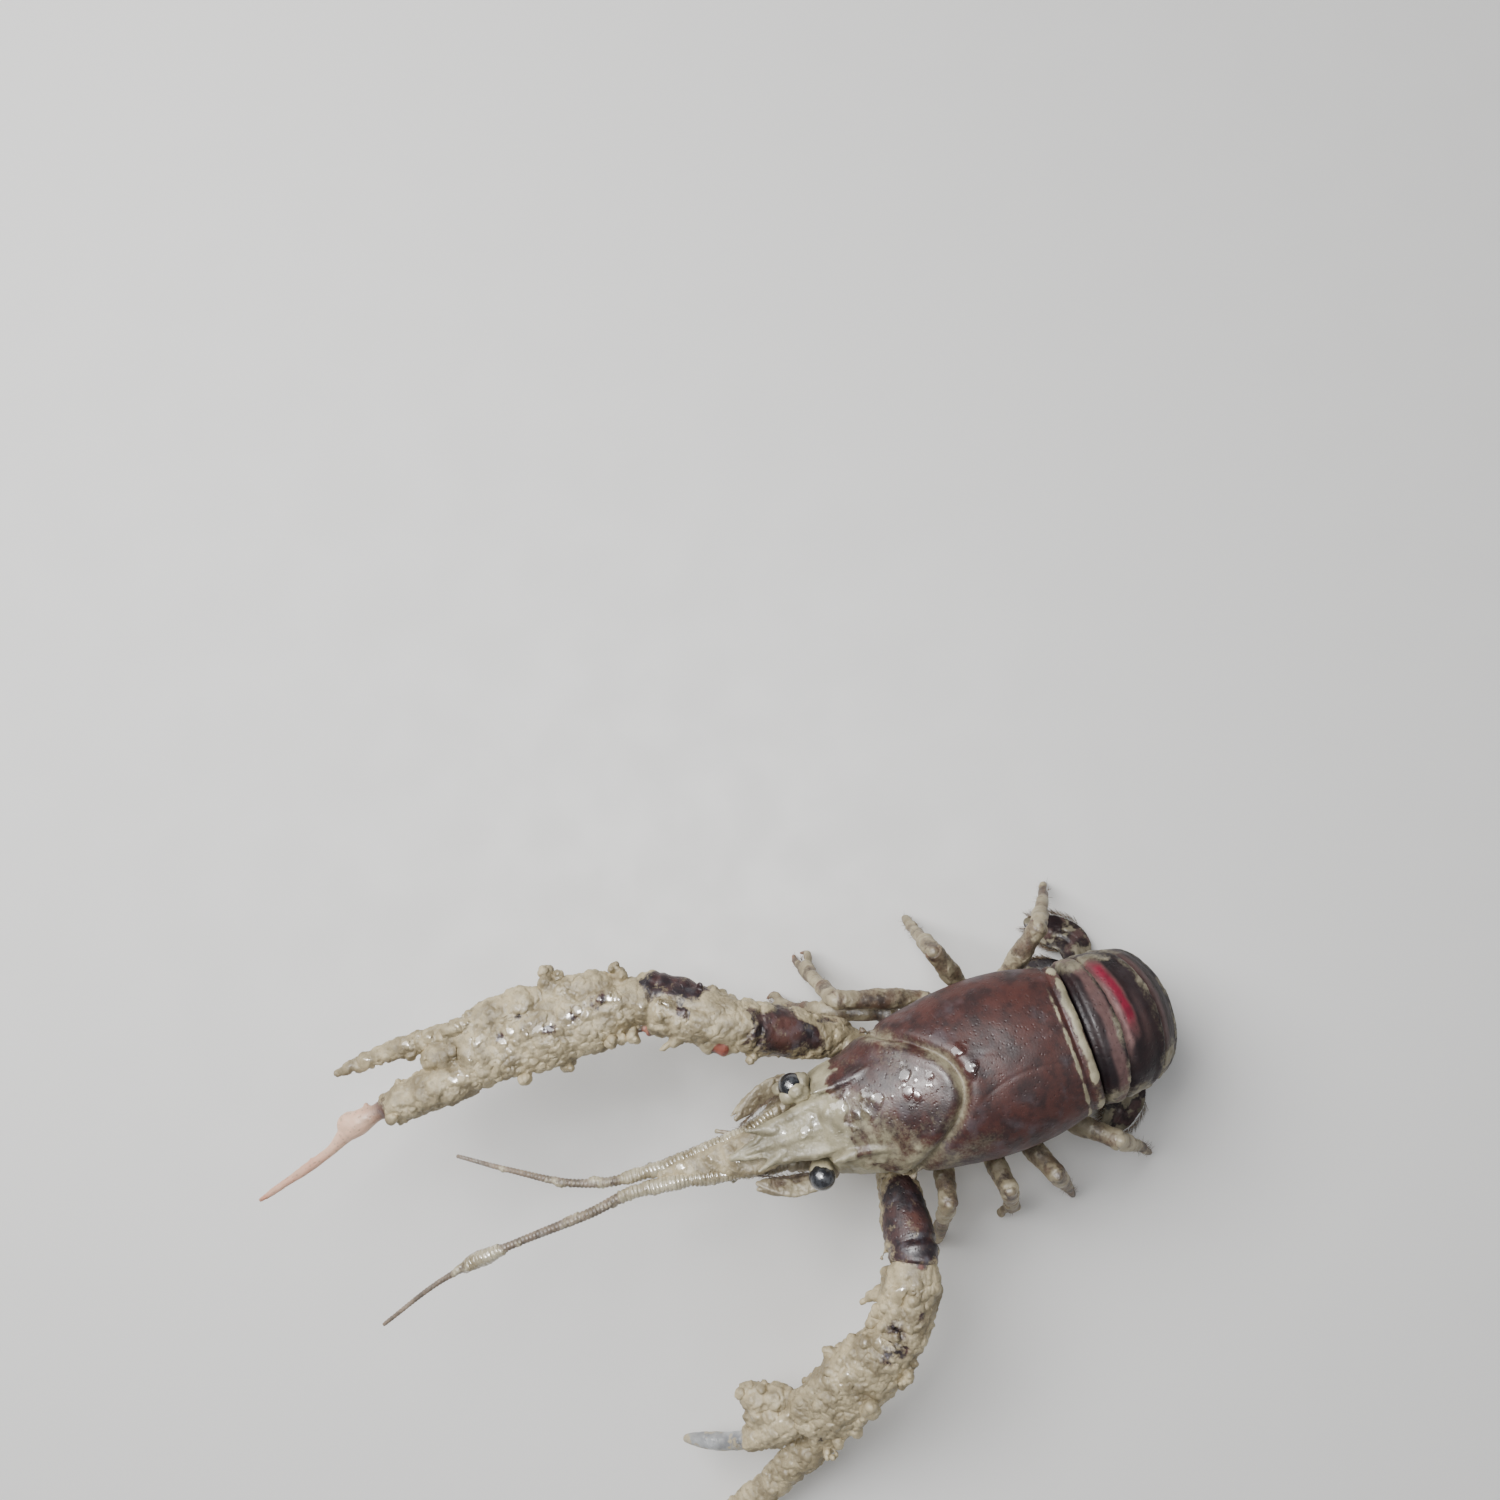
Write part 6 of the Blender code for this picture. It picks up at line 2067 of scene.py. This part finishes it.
        self.bench.set_down(f"claw_thumb_{self.name}", skin, finish, Slot.CLAW, f"claw_finger_{self.name}")

    def grip(self, clay: Clay, path: Array, radii: Sequence[float], inward: Array, first: float) -> None:
        """Rounded teeth of uneven size along a finger's grip edge.

        Args:
            clay: What they are added to.
            path: Even points along the finger.
            radii: Its half widths.
            inward: Which way its grip edge faces.
            first: How far along the first tooth stands, 0 to 1.
        """
        for index, share in enumerate(np.linspace(first, 0.82, self.teeth)):
            place = path[int(share * (len(path) - 1))]
            width = float(taper(radii, np.array([share]))[0])
            size = (0.34, 0.22, 0.28, 0.2)[index % 4] * width
            clay.add(ball(place + inward * width * 0.93, (inward * size * 1.5, np.array([0, 0, size]),
                                                          np.cross(inward, [0, 0, size])), 14))

    def build(self) -> None:
        """Makes the whole limb."""
        self.base()
        self.arm()
        self.wrist()
        self.hand()


class Group:
    """A shader node group with named inputs and outputs."""

    def __init__(self, name: str, inputs: dict[str, tuple[str, object]], outputs: dict[str, str]) -> None:
        """Makes the group.

        Args:
            name: The group's name.
            inputs: Each input's kind and first value.
            outputs: Each output's kind.
        """
        self.tree = bpy.data.node_groups.new(name, "ShaderNodeTree")
        for label, (kind, value) in inputs.items():
            socket = self.tree.interface.new_socket(label, in_out="INPUT", socket_type=f"NodeSocket{kind}")
            if value is not None:
                socket.default_value = value
        for label, kind in outputs.items():
            self.tree.interface.new_socket(label, in_out="OUTPUT", socket_type=f"NodeSocket{kind}")
        self.source = self.tree.nodes.new("NodeGroupInput").outputs
        self.sink = self.tree.nodes.new("NodeGroupOutput").inputs


@dataclass
class Wiring:
    """Makes and links the nodes of one tree."""

    tree: bpy.types.NodeTree

    def put(self, kind: str, settings: dict[str, object] | None = None, **values: object) -> bpy.types.Node:
        """Adds a node.

        Args:
            kind: The node's type.
            settings: Properties of the node.
            values: Values or sockets for its inputs, with underscores for spaces.

        Returns:
            The node.
        """
        node = self.tree.nodes.new(kind)
        for name, value in (settings or {}).items():
            setattr(node, name, value)
        for name, value in values.items():
            self.feed(node.inputs[name.replace("_", " ")], value)
        return node

    def feed(self, socket: bpy.types.NodeSocket, value: object) -> None:
        """Links a socket to another, or sets its value.

        Args:
            socket: The socket.
            value: What it takes.
        """
        if isinstance(value, bpy.types.NodeSocket):
            self.tree.links.new(value, socket)
        else:
            socket.default_value = value

    def math(self, operation: str, first: object, second: object) -> bpy.types.NodeSocket:
        """What a sum of two numbers gives.

        Args:
            operation: Which sum it is.
            first: The first number.
            second: The second number.

        Returns:
            The socket that gives it.
        """
        node = self.put("ShaderNodeMath", {"operation": operation})
        self.feed(node.inputs[0], first)
        self.feed(node.inputs[1], second)
        return node.outputs[0]

    def plus(self, first: object, second: object) -> bpy.types.NodeSocket:
        """Two numbers added up."""
        return self.math("ADD", first, second)

    def less(self, first: object, second: object) -> bpy.types.NodeSocket:
        """The second number taken from the first."""
        return self.math("SUBTRACT", first, second)

    def times(self, first: object, second: object) -> bpy.types.NodeSocket:
        """Two numbers multiplied."""
        return self.math("MULTIPLY", first, second)

    def span(self, value: object, low: float, high: float, first: object = 0.0,
             last: object = 1.0) -> bpy.types.NodeSocket:
        """Runs softly from first to last as a value goes from low to high.

        Args:
            value: The value.
            low: Where it is at first.
            high: Where it is at last.
            first: The result up to low.
            last: The result from high on.

        Returns:
            The socket that gives it.
        """
        node = self.put("ShaderNodeMapRange", {"interpolation_type": "SMOOTHSTEP"}, Value=value)
        node.inputs["From Min"].default_value = low
        node.inputs["From Max"].default_value = high
        self.feed(node.inputs["To Min"], first)
        self.feed(node.inputs["To Max"], last)
        return node.outputs["Result"]

    def mix(self, part: object, first: object, second: object) -> bpy.types.NodeSocket:
        """A mix of two colours.

        Args:
            part: How much of the second, 0 to 1.
            first: The first colour.
            second: The second colour.

        Returns:
            The socket that gives it.
        """
        node = self.put("ShaderNodeMix", {"data_type": "RGBA"})
        for index, value in ((0, part), (6, first), (7, second)):
            self.feed(node.inputs[index], value)
        return node.outputs[2]

    def noise(self, place: object, size: object, detail: float = 3.0,
              roughness: float = 0.55) -> bpy.types.NodeSocket:
        """Noise of a size in millimetres.

        Args:
            place: Where it is read.
            size: How large its lumps are.
            detail: How many finer layers it has.
            roughness: How strong the finer layers are.

        Returns:
            The socket that gives it.
        """
        scale = self.math("DIVIDE", PER_METRE, size)
        return self.put("ShaderNodeTexNoise", None, Vector=place, Scale=scale, Detail=detail,
                        Roughness=roughness).outputs["Fac"]

    def cells(self, place: object, size: object) -> bpy.types.NodeSocket:
        """Distance to the middles of cells of a size in millimetres, 0 to about 1."""
        scale = self.math("DIVIDE", PER_METRE, size)
        return self.put("ShaderNodeTexVoronoi", None, Vector=place, Scale=scale).outputs["Distance"]


class Surface:
    """A material in the making, with its wiring, its shader's inputs and the object's own places."""

    def __init__(self, name: str) -> None:
        """Makes the material with nothing fed into its shader.

        Args:
            name: The material's name.
        """
        self.material = bpy.data.materials.new(name)
        self.material.use_nodes = True
        self.wire = Wiring(self.material.node_tree)
        self.shader = self.material.node_tree.nodes["Principled BSDF"].inputs
        self.place = self.wire.put("ShaderNodeTexCoord").outputs["Object"]

    def feed(self, **values: object) -> None:
        """Feeds the shader's inputs, named with underscores for spaces."""
        for name, value in values.items():
            self.wire.feed(self.shader[name.replace("_", " ")], value)

    def bump(self, height: object, distance: float) -> None:
        """Feeds a bump of a height in metres into the shader."""
        self.feed(Normal=self.wire.put("ShaderNodeBump", None, Height=height, Distance=distance).outputs[0])


def mottle_group() -> Group:
    """Shell colour in clouds, with pale patches and fine pits; on the shell finish the pale patches are a
    painted sheen.

    Returns:
        The group.
    """
    group = Group(
        "shell_mottle",
        {"Vector": ("Vector", None), "Deep": ("Color", None), "Warm": ("Color", None),
         "Pale": ("Color", None), "Cloud Size": ("Float", 3.0), "Pit Size": ("Float", 0.45)},
        {"Color": "Color", "Height": "Float", "Pits": "Float"},
    )
    wire, take = Wiring(group.tree), group.source
    clouds = wire.noise(take["Vector"], take["Cloud Size"], 5.0, 0.62)
    pale_sheen_veil = wire.noise(wire.put("ShaderNodeMapping", None, Vector=take["Vector"], Location=(0.03, 0.01, 0.02))
                      .outputs[0], take["Cloud Size"], 3.0, 0.5)
    specks = wire.noise(take["Vector"], 0.35, 4.0, 0.7)
    colour = wire.mix(wire.span(clouds, 0.38, 0.62), take["Deep"], take["Warm"])
    # The pale patches: the finish's own pale tone, and on the shell finish a painted lilac-grey sheen.
    colour = wire.mix(wire.span(pale_sheen_veil, 0.52, 0.74, 0.0, 0.75), colour, take["Pale"])
    colour = wire.mix(wire.span(specks, 0.55, 0.8, 0.0, 0.45), colour, take["Deep"])
    pits = wire.span(wire.cells(take["Vector"], take["Pit Size"]), 0.08, 0.34)
    fine = wire.noise(take["Vector"], 0.22, 3.0, 0.6)
    height = wire.plus(wire.times(pits, 0.4), wire.times(fine, 0.35))
    wire.feed(group.sink["Color"], wire.mix(wire.span(pits, 0.0, 0.6, 0.35, 0.0), colour, take["Deep"]))
    wire.feed(group.sink["Height"], height)
    wire.feed(group.sink["Pits"], wire.less(1.0, pits))
    return group


def mud_group() -> Group:
    """Wet mud: colour in patches, darker patches at random that are partly settled fine mud and partly
    painted shade, grains and a torn edge.

    Returns:
        The group.
    """
    group = Group(
        "mud_coat",
        {"Vector": ("Vector", None), "Light": ("Color", None), "Dark": ("Color", None),
         "Cover": ("Float", 0.0), "Edge": ("Float", 3.0)},
        {"Color": "Color", "Mask": "Float", "Height": "Float"},
    )
    wire, take = Wiring(group.tree), group.source
    patches = wire.noise(take["Vector"], 2.4, 4.0, 0.6)
    grit = wire.noise(take["Vector"], 0.3, 4.0, 0.65)
    grains = wire.cells(take["Vector"], 0.28)
    torn = wire.plus(take["Cover"], wire.times(wire.less(grit, 0.5), 0.7))
    colour = wire.mix(wire.span(patches, 0.36, 0.62), take["Dark"], take["Light"])
    # Darker patches at random: partly fine dark mud, partly painted shade.
    silt_and_shade = wire.noise(take["Vector"], 0.8, 5.0, 0.7)
    colour = wire.mix(wire.span(silt_and_shade, 0.5, 0.72, 0.0, 0.65), colour, take["Dark"])
    colour = wire.mix(wire.span(grit, 0.42, 0.7, 0.0, 0.4), colour, take["Dark"])
    colour = wire.mix(wire.span(grains, 0.1, 0.4, 0.22, 0.0), colour, take["Light"])
    height = wire.less(wire.times(grit, 0.9), wire.times(grains, 0.35))
    wire.feed(group.sink["Color"], colour)
    raised = wire.plus(wire.times(wire.less(torn, 0.46), take["Edge"]), 0.5)
    present = wire.span(take["Cover"], 0.0, 0.14)
    wire.feed(group.sink["Mask"], wire.times(wire.span(raised, 0.0, 1.0), present))
    wire.feed(group.sink["Height"], height)
    return group


def water_group() -> Group:
    """A film of water: where it lies the surface is smooth and carries a clear coat.

    Returns:
        The group.
    """
    group = Group(
        "water_film",
        {"Vector": ("Vector", None), "Wet": ("Float", 0.5), "Dry Roughness": ("Float", 0.6),
         "Wet Roughness": ("Float", 0.12), "Bead Roughness": ("Float", 0.22)},
        {"Roughness": "Float", "Coat": "Float"},
    )
    wire, take = Wiring(group.tree), group.source
    streaks = wire.noise(take["Vector"], 1.1, 3.0, 0.6)
    film = wire.plus(take["Wet"], wire.times(wire.less(streaks, 0.5), 0.9))
    film = wire.span(film, 0.25, 0.85)
    bead = wire.span(take["Wet"], 0.88, 0.98)
    spread = wire.less(take["Wet Roughness"], take["Dry Roughness"])
    wetted = wire.plus(take["Dry Roughness"], wire.times(film, spread))
    wire.feed(group.sink["Roughness"], wire.span(bead, 0.0, 1.0, wetted, take["Bead Roughness"]))
    wire.feed(group.sink["Coat"], wire.span(bead, 0.0, 1.0, wire.times(film, 0.06), 1.0))
    return group


@dataclass(frozen=True)
class CoatedFinish:
    """A horny surface with mud on it: its own colours, the mud's, and what its bare spots show; on the shell,
    its pale colour is a painted sheen.
    """

    name: str
    deep: Colour
    warm: Colour
    # pale: pale patches of tone; on the shell finish they are a painted lilac-grey sheen.
    pale: Colour
    spot: Colour = (0.3, 0.2, 0.15, 1.0)
    strong_spot: Colour = (0.3, 0.2, 0.15, 1.0)
    mud_light: Colour = (0.60, 0.50, 0.31, 1.0)
    mud_dark: Colour = (0.26, 0.21, 0.125, 1.0)
    mud_edge: float = 2.4
    cloud_size: float = 3.0
    pit_size: float = 0.45
    shell_roughness: float = 0.52
    mud_roughness: float = 0.56
    wet_roughness: float = 0.4
    coat_roughness: float = 0.16
    specular: float = 0.5
    bump: float = 0.00009

    def material(self, mottle: Group, mud: Group, water: Group) -> bpy.types.Material:
        """The finish as a material.

        Args:
            mottle: The shell's colours.
            mud: The mud coat.
            water: The film of water.

        Returns:
            The material.
        """
        surface = Surface(self.name)
        wire, place = surface.wire, surface.place
        masks = {}
        for name in MASKS:
            kind = {"attribute_type": "GEOMETRY", "attribute_name": name}
            masks[name] = wire.put("ShaderNodeAttribute", kind).outputs["Fac"]
        shell = wire.put("ShaderNodeGroup", {"node_tree": mottle.tree}, Vector=place, Deep=self.deep,
                         Warm=self.warm, Pale=self.pale, Cloud_Size=self.cloud_size,
                         Pit_Size=self.pit_size).outputs
        coat = wire.put("ShaderNodeGroup", {"node_tree": mud.tree}, Vector=place, Light=self.mud_light,
                        Dark=self.mud_dark, Cover=masks["mud"], Edge=self.mud_edge).outputs
        spot = wire.mix(masks["tint"], self.spot, self.strong_spot)
        mottled = wire.mix(wire.times(shell["Pits"], 0.3), spot, shell["Color"])
        bare = wire.mix(masks["accent"], shell["Color"], mottled)
        dry = wire.span(coat["Mask"], 0.0, 1.0, self.shell_roughness, self.mud_roughness)
        film = wire.put("ShaderNodeGroup", {"node_tree": water.tree}, Vector=place, Wet=masks["wet"],
                        Dry_Roughness=dry, Wet_Roughness=self.wet_roughness).outputs
        surface.feed(Base_Color=wire.mix(coat["Mask"], bare, coat["Color"]), Roughness=film["Roughness"],
                     Coat_Weight=film["Coat"], Coat_Roughness=self.coat_roughness,
                     Specular_IOR_Level=self.specular)
        height = wire.span(coat["Mask"], 0.0, 1.0, shell["Height"], coat["Height"])
        calm = wire.span(masks["wet"], 0.85, 1.0, 1.0, 0.1)
        surface.bump(wire.times(height, calm), self.bump)
        return surface.material


@dataclass(frozen=True)
class EyeFinish:
    """The glossy dark eye, with its fine facets."""

    name: str = "eye"
    colour: Colour = (0.014, 0.014, 0.017, 1.0)
    sheen: Colour = (0.06, 0.065, 0.075, 1.0)
    facet: float = 0.11
    bump: float = 0.00002
    coat_roughness: float = 0.04

    def material(self) -> bpy.types.Material:
        """The finish as a material.

        Returns:
            The material.
        """
        surface = Surface(self.name)
        wire = surface.wire
        haze = wire.noise(surface.place, 1.0)
        surface.feed(Base_Color=wire.mix(wire.span(haze, 0.4, 0.7), self.colour, self.sheen),
                     Roughness=wire.span(haze, 0.3, 0.7, 0.12, 0.26), Coat_Weight=1.0,
                     Coat_Roughness=self.coat_roughness)
        surface.bump(wire.less(1.0, wire.cells(surface.place, self.facet)), self.bump)
        return surface.material


FINISHES = (
    # The shell's pale colour is a painted lilac-grey sheen, laid in patches over the maroon.
    CoatedFinish(
        "shell", deep=(0.030, 0.012, 0.012, 1), warm=(0.076, 0.024, 0.019, 1), pale=(0.088, 0.064, 0.072, 1),
        spot=(0.105, 0.028, 0.022, 1), strong_spot=(0.135, 0.030, 0.022, 1), mud_edge=1.35, bump=0.00006,
        specular=0.34, mud_light=(0.47, 0.42, 0.28, 1), mud_dark=(0.24, 0.21, 0.135, 1), cloud_size=2.0,
    ),
    CoatedFinish(
        "plate", deep=(0.013, 0.008, 0.010, 1), warm=(0.028, 0.014, 0.015, 1), pale=(0.045, 0.034, 0.038, 1),
        spot=(0.34, 0.19, 0.175, 1), strong_spot=(0.25, 0.014, 0.04, 1), mud_edge=1.7, specular=0.22,
        bump=0.00006, mud_light=(0.34, 0.30, 0.21, 1), mud_dark=(0.15, 0.13, 0.09, 1),
    ),
    CoatedFinish(
        "claw", deep=(0.020, 0.013, 0.017, 1), warm=(0.068, 0.031, 0.030, 1), pale=(0.11, 0.105, 0.122, 1),
        spot=(0.96, 0.62, 0.44, 1), strong_spot=(0.46, 0.12, 0.07, 1), cloud_size=1.6, wet_roughness=0.34,
        specular=0.4,
    ),
    CoatedFinish(
        "finger", deep=(0.22, 0.225, 0.235, 1), warm=(0.38, 0.38, 0.365, 1), pale=(0.52, 0.53, 0.54, 1),
        spot=(0.4, 0.3, 0.25, 1), strong_spot=(0.4, 0.3, 0.25, 1), shell_roughness=0.35, wet_roughness=0.28,
    ),
    CoatedFinish(
        "leg", deep=(0.05, 0.030, 0.022, 1), warm=(0.14, 0.08, 0.05, 1), pale=(0.22, 0.17, 0.12, 1),
        spot=(0.30, 0.17, 0.10, 1), strong_spot=(0.20, 0.10, 0.055, 1), mud_edge=1.5, cloud_size=1.8,
        pit_size=0.3, mud_light=(0.48, 0.41, 0.27, 1), mud_dark=(0.26, 0.21, 0.13, 1),
    ),
    CoatedFinish(
        "underside", deep=(0.12, 0.08, 0.06, 1), warm=(0.28, 0.2, 0.15, 1), pale=(0.38, 0.3, 0.24, 1),
        cloud_size=2.0, pit_size=0.4,
    ),
    CoatedFinish(
        "feeler", deep=(0.13, 0.10, 0.075, 1), warm=(0.28, 0.21, 0.15, 1), pale=(0.34, 0.3, 0.25, 1),
        cloud_size=1.2, pit_size=0.25, mud_light=(0.58, 0.52, 0.37, 1),
    ),
    CoatedFinish(
        "bristle", deep=(0.12, 0.08, 0.05, 1), warm=(0.25, 0.17, 0.1, 1), pale=(0.35, 0.27, 0.18, 1),
        cloud_size=1.0, pit_size=0.3,
    ),
)


@dataclass
class Studio:
    """A pale floor, soft lights and the camera, held over the animal's head."""

    camera_place: Point = (8.594, -10.871, 168.1)
    lean: float = 10.0
    turn: float = 70.71
    sensor: float = 36.0
    lens: float = 36.0
    floor_colour: Colour = (0.82, 0.81, 0.79, 1.0)
    floor_half: float = 2.5
    clip_start: float = 0.005
    aim: Point = (12.0, -2.0, 15.0)
    sky_colour: Colour = (0.9, 0.92, 0.95, 1.0)
    sky_strength: float = 0.26

    def floor(self) -> None:
        """The floor: a wide sheet with a faint grain."""
        half = self.floor_half
        mesh = bpy.data.meshes.new("floor")
        corners = [(-half, -half, 0), (half, -half, 0), (half, half, 0), (-half, half, 0)]
        mesh.from_pydata(corners, [], [(0, 1, 2, 3)])
        surface = Surface("floor")
        haze = surface.wire.noise(surface.place, 8.0)
        surface.feed(Base_Color=self.floor_colour, Roughness=surface.wire.span(haze, 0.3, 0.7, 0.55, 0.7))
        mesh.materials.append(surface.material)
        stand("floor", mesh)

    def light(self, name: str, frame: BodyFrame, place: Point, size: float, power: float,
              colour: Point = (1.0, 1.0, 1.0)) -> bpy.types.Object:
        """One square light that points at the animal.

        Args:
            name: Its name.
            frame: Where the body lies.
            place: Where it stands, in body millimetres.
            size: Its side in millimetres.
            power: Its power in watts.
            colour: Its colour.

        Returns:
            The light.
        """
        data = bpy.data.lights.new(name, "AREA")
        data.size = size * MM
        data.energy = power
        data.color = colour
        lamp = stand(name, data)
        start, end = (Vector(frame.world(np.array(point))) for point in (place, self.aim))
        lamp.location = start
        lamp.rotation_euler = (end - start).to_track_quat("-Z", "Y").to_euler()
        return lamp

    def camera(self, frame: BodyFrame) -> None:
        """The camera, a little to the animal's right and leaning over it.

        Args:
            frame: Where the body lies.
        """
        data = bpy.data.cameras.new("camera")
        data.sensor_width = self.sensor
        data.lens = self.lens
        data.clip_start = self.clip_start
        camera = stand("camera", data)
        lean, turn = (Matrix.Rotation(math.radians(angle), 4, axis)
                      for angle, axis in ((self.lean, "Y"), (self.turn, "Z")))
        place = Matrix.Translation(Vector(frame.world(np.array(self.camera_place))))
        camera.matrix_world = place @ (lean @ turn)
        bpy.context.scene.camera = camera

    def build(self, frame: BodyFrame) -> None:
        """Sets the whole studio up.

        Args:
            frame: Where the body lies.
        """
        self.floor()
        self.camera(frame)
        self.light("key", frame, (120.0, -160.0, 290.0), 240.0, 1.65)
        self.light("fill", frame, (-170.0, 170.0, 260.0), 320.0, 0.18, (0.95, 0.97, 1.0))
        glint = self.light("glint", frame, (24.0, -28.0, 196.0), 42.0, 0.85)
        glint.visible_diffuse = False
        world = bpy.data.worlds.new("studio")
        world.use_nodes = True
        sky = world.node_tree.nodes["Background"].inputs
        sky["Color"].default_value = self.sky_colour
        sky["Strength"].default_value = self.sky_strength
        bpy.context.scene.world = world


def main() -> None:
    """Builds the crayfish, piece by piece, and its studio."""
    logging.basicConfig(level=logging.INFO, format="%(name)s: %(message)s")
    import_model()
    frame = BodyFrame.from_solids(Carapace.tip)
    mottle, mud, water = mottle_group(), mud_group(), water_group()
    bench = Bench(frame)
    for finish in FINISHES:
        bench.finishes[finish.name] = finish.material(mottle, mud, water)
    bench.finishes["eye"] = EyeFinish().material()
    head, abdomen = Head(bench), Abdomen(bench)
    Carapace(bench).build(head.eye_centre)
    head.build()
    Feelers(bench).build()
    abdomen.build()
    TailFan(bench).build(abdomen)
    Belly(bench).build()
    for name, places in LEGS.items():
        side = Side.LEFT if name.endswith("left") else Side.RIGHT
        WalkingLeg(bench, name, side, *places, pincer=name.startswith(PINCER_LEGS)).build()
    for side, pose in CLAWS.items():
        ClawLimb(bench, side, pose).build()
    Studio().build(frame)


if __name__ == "__main__":
    main()
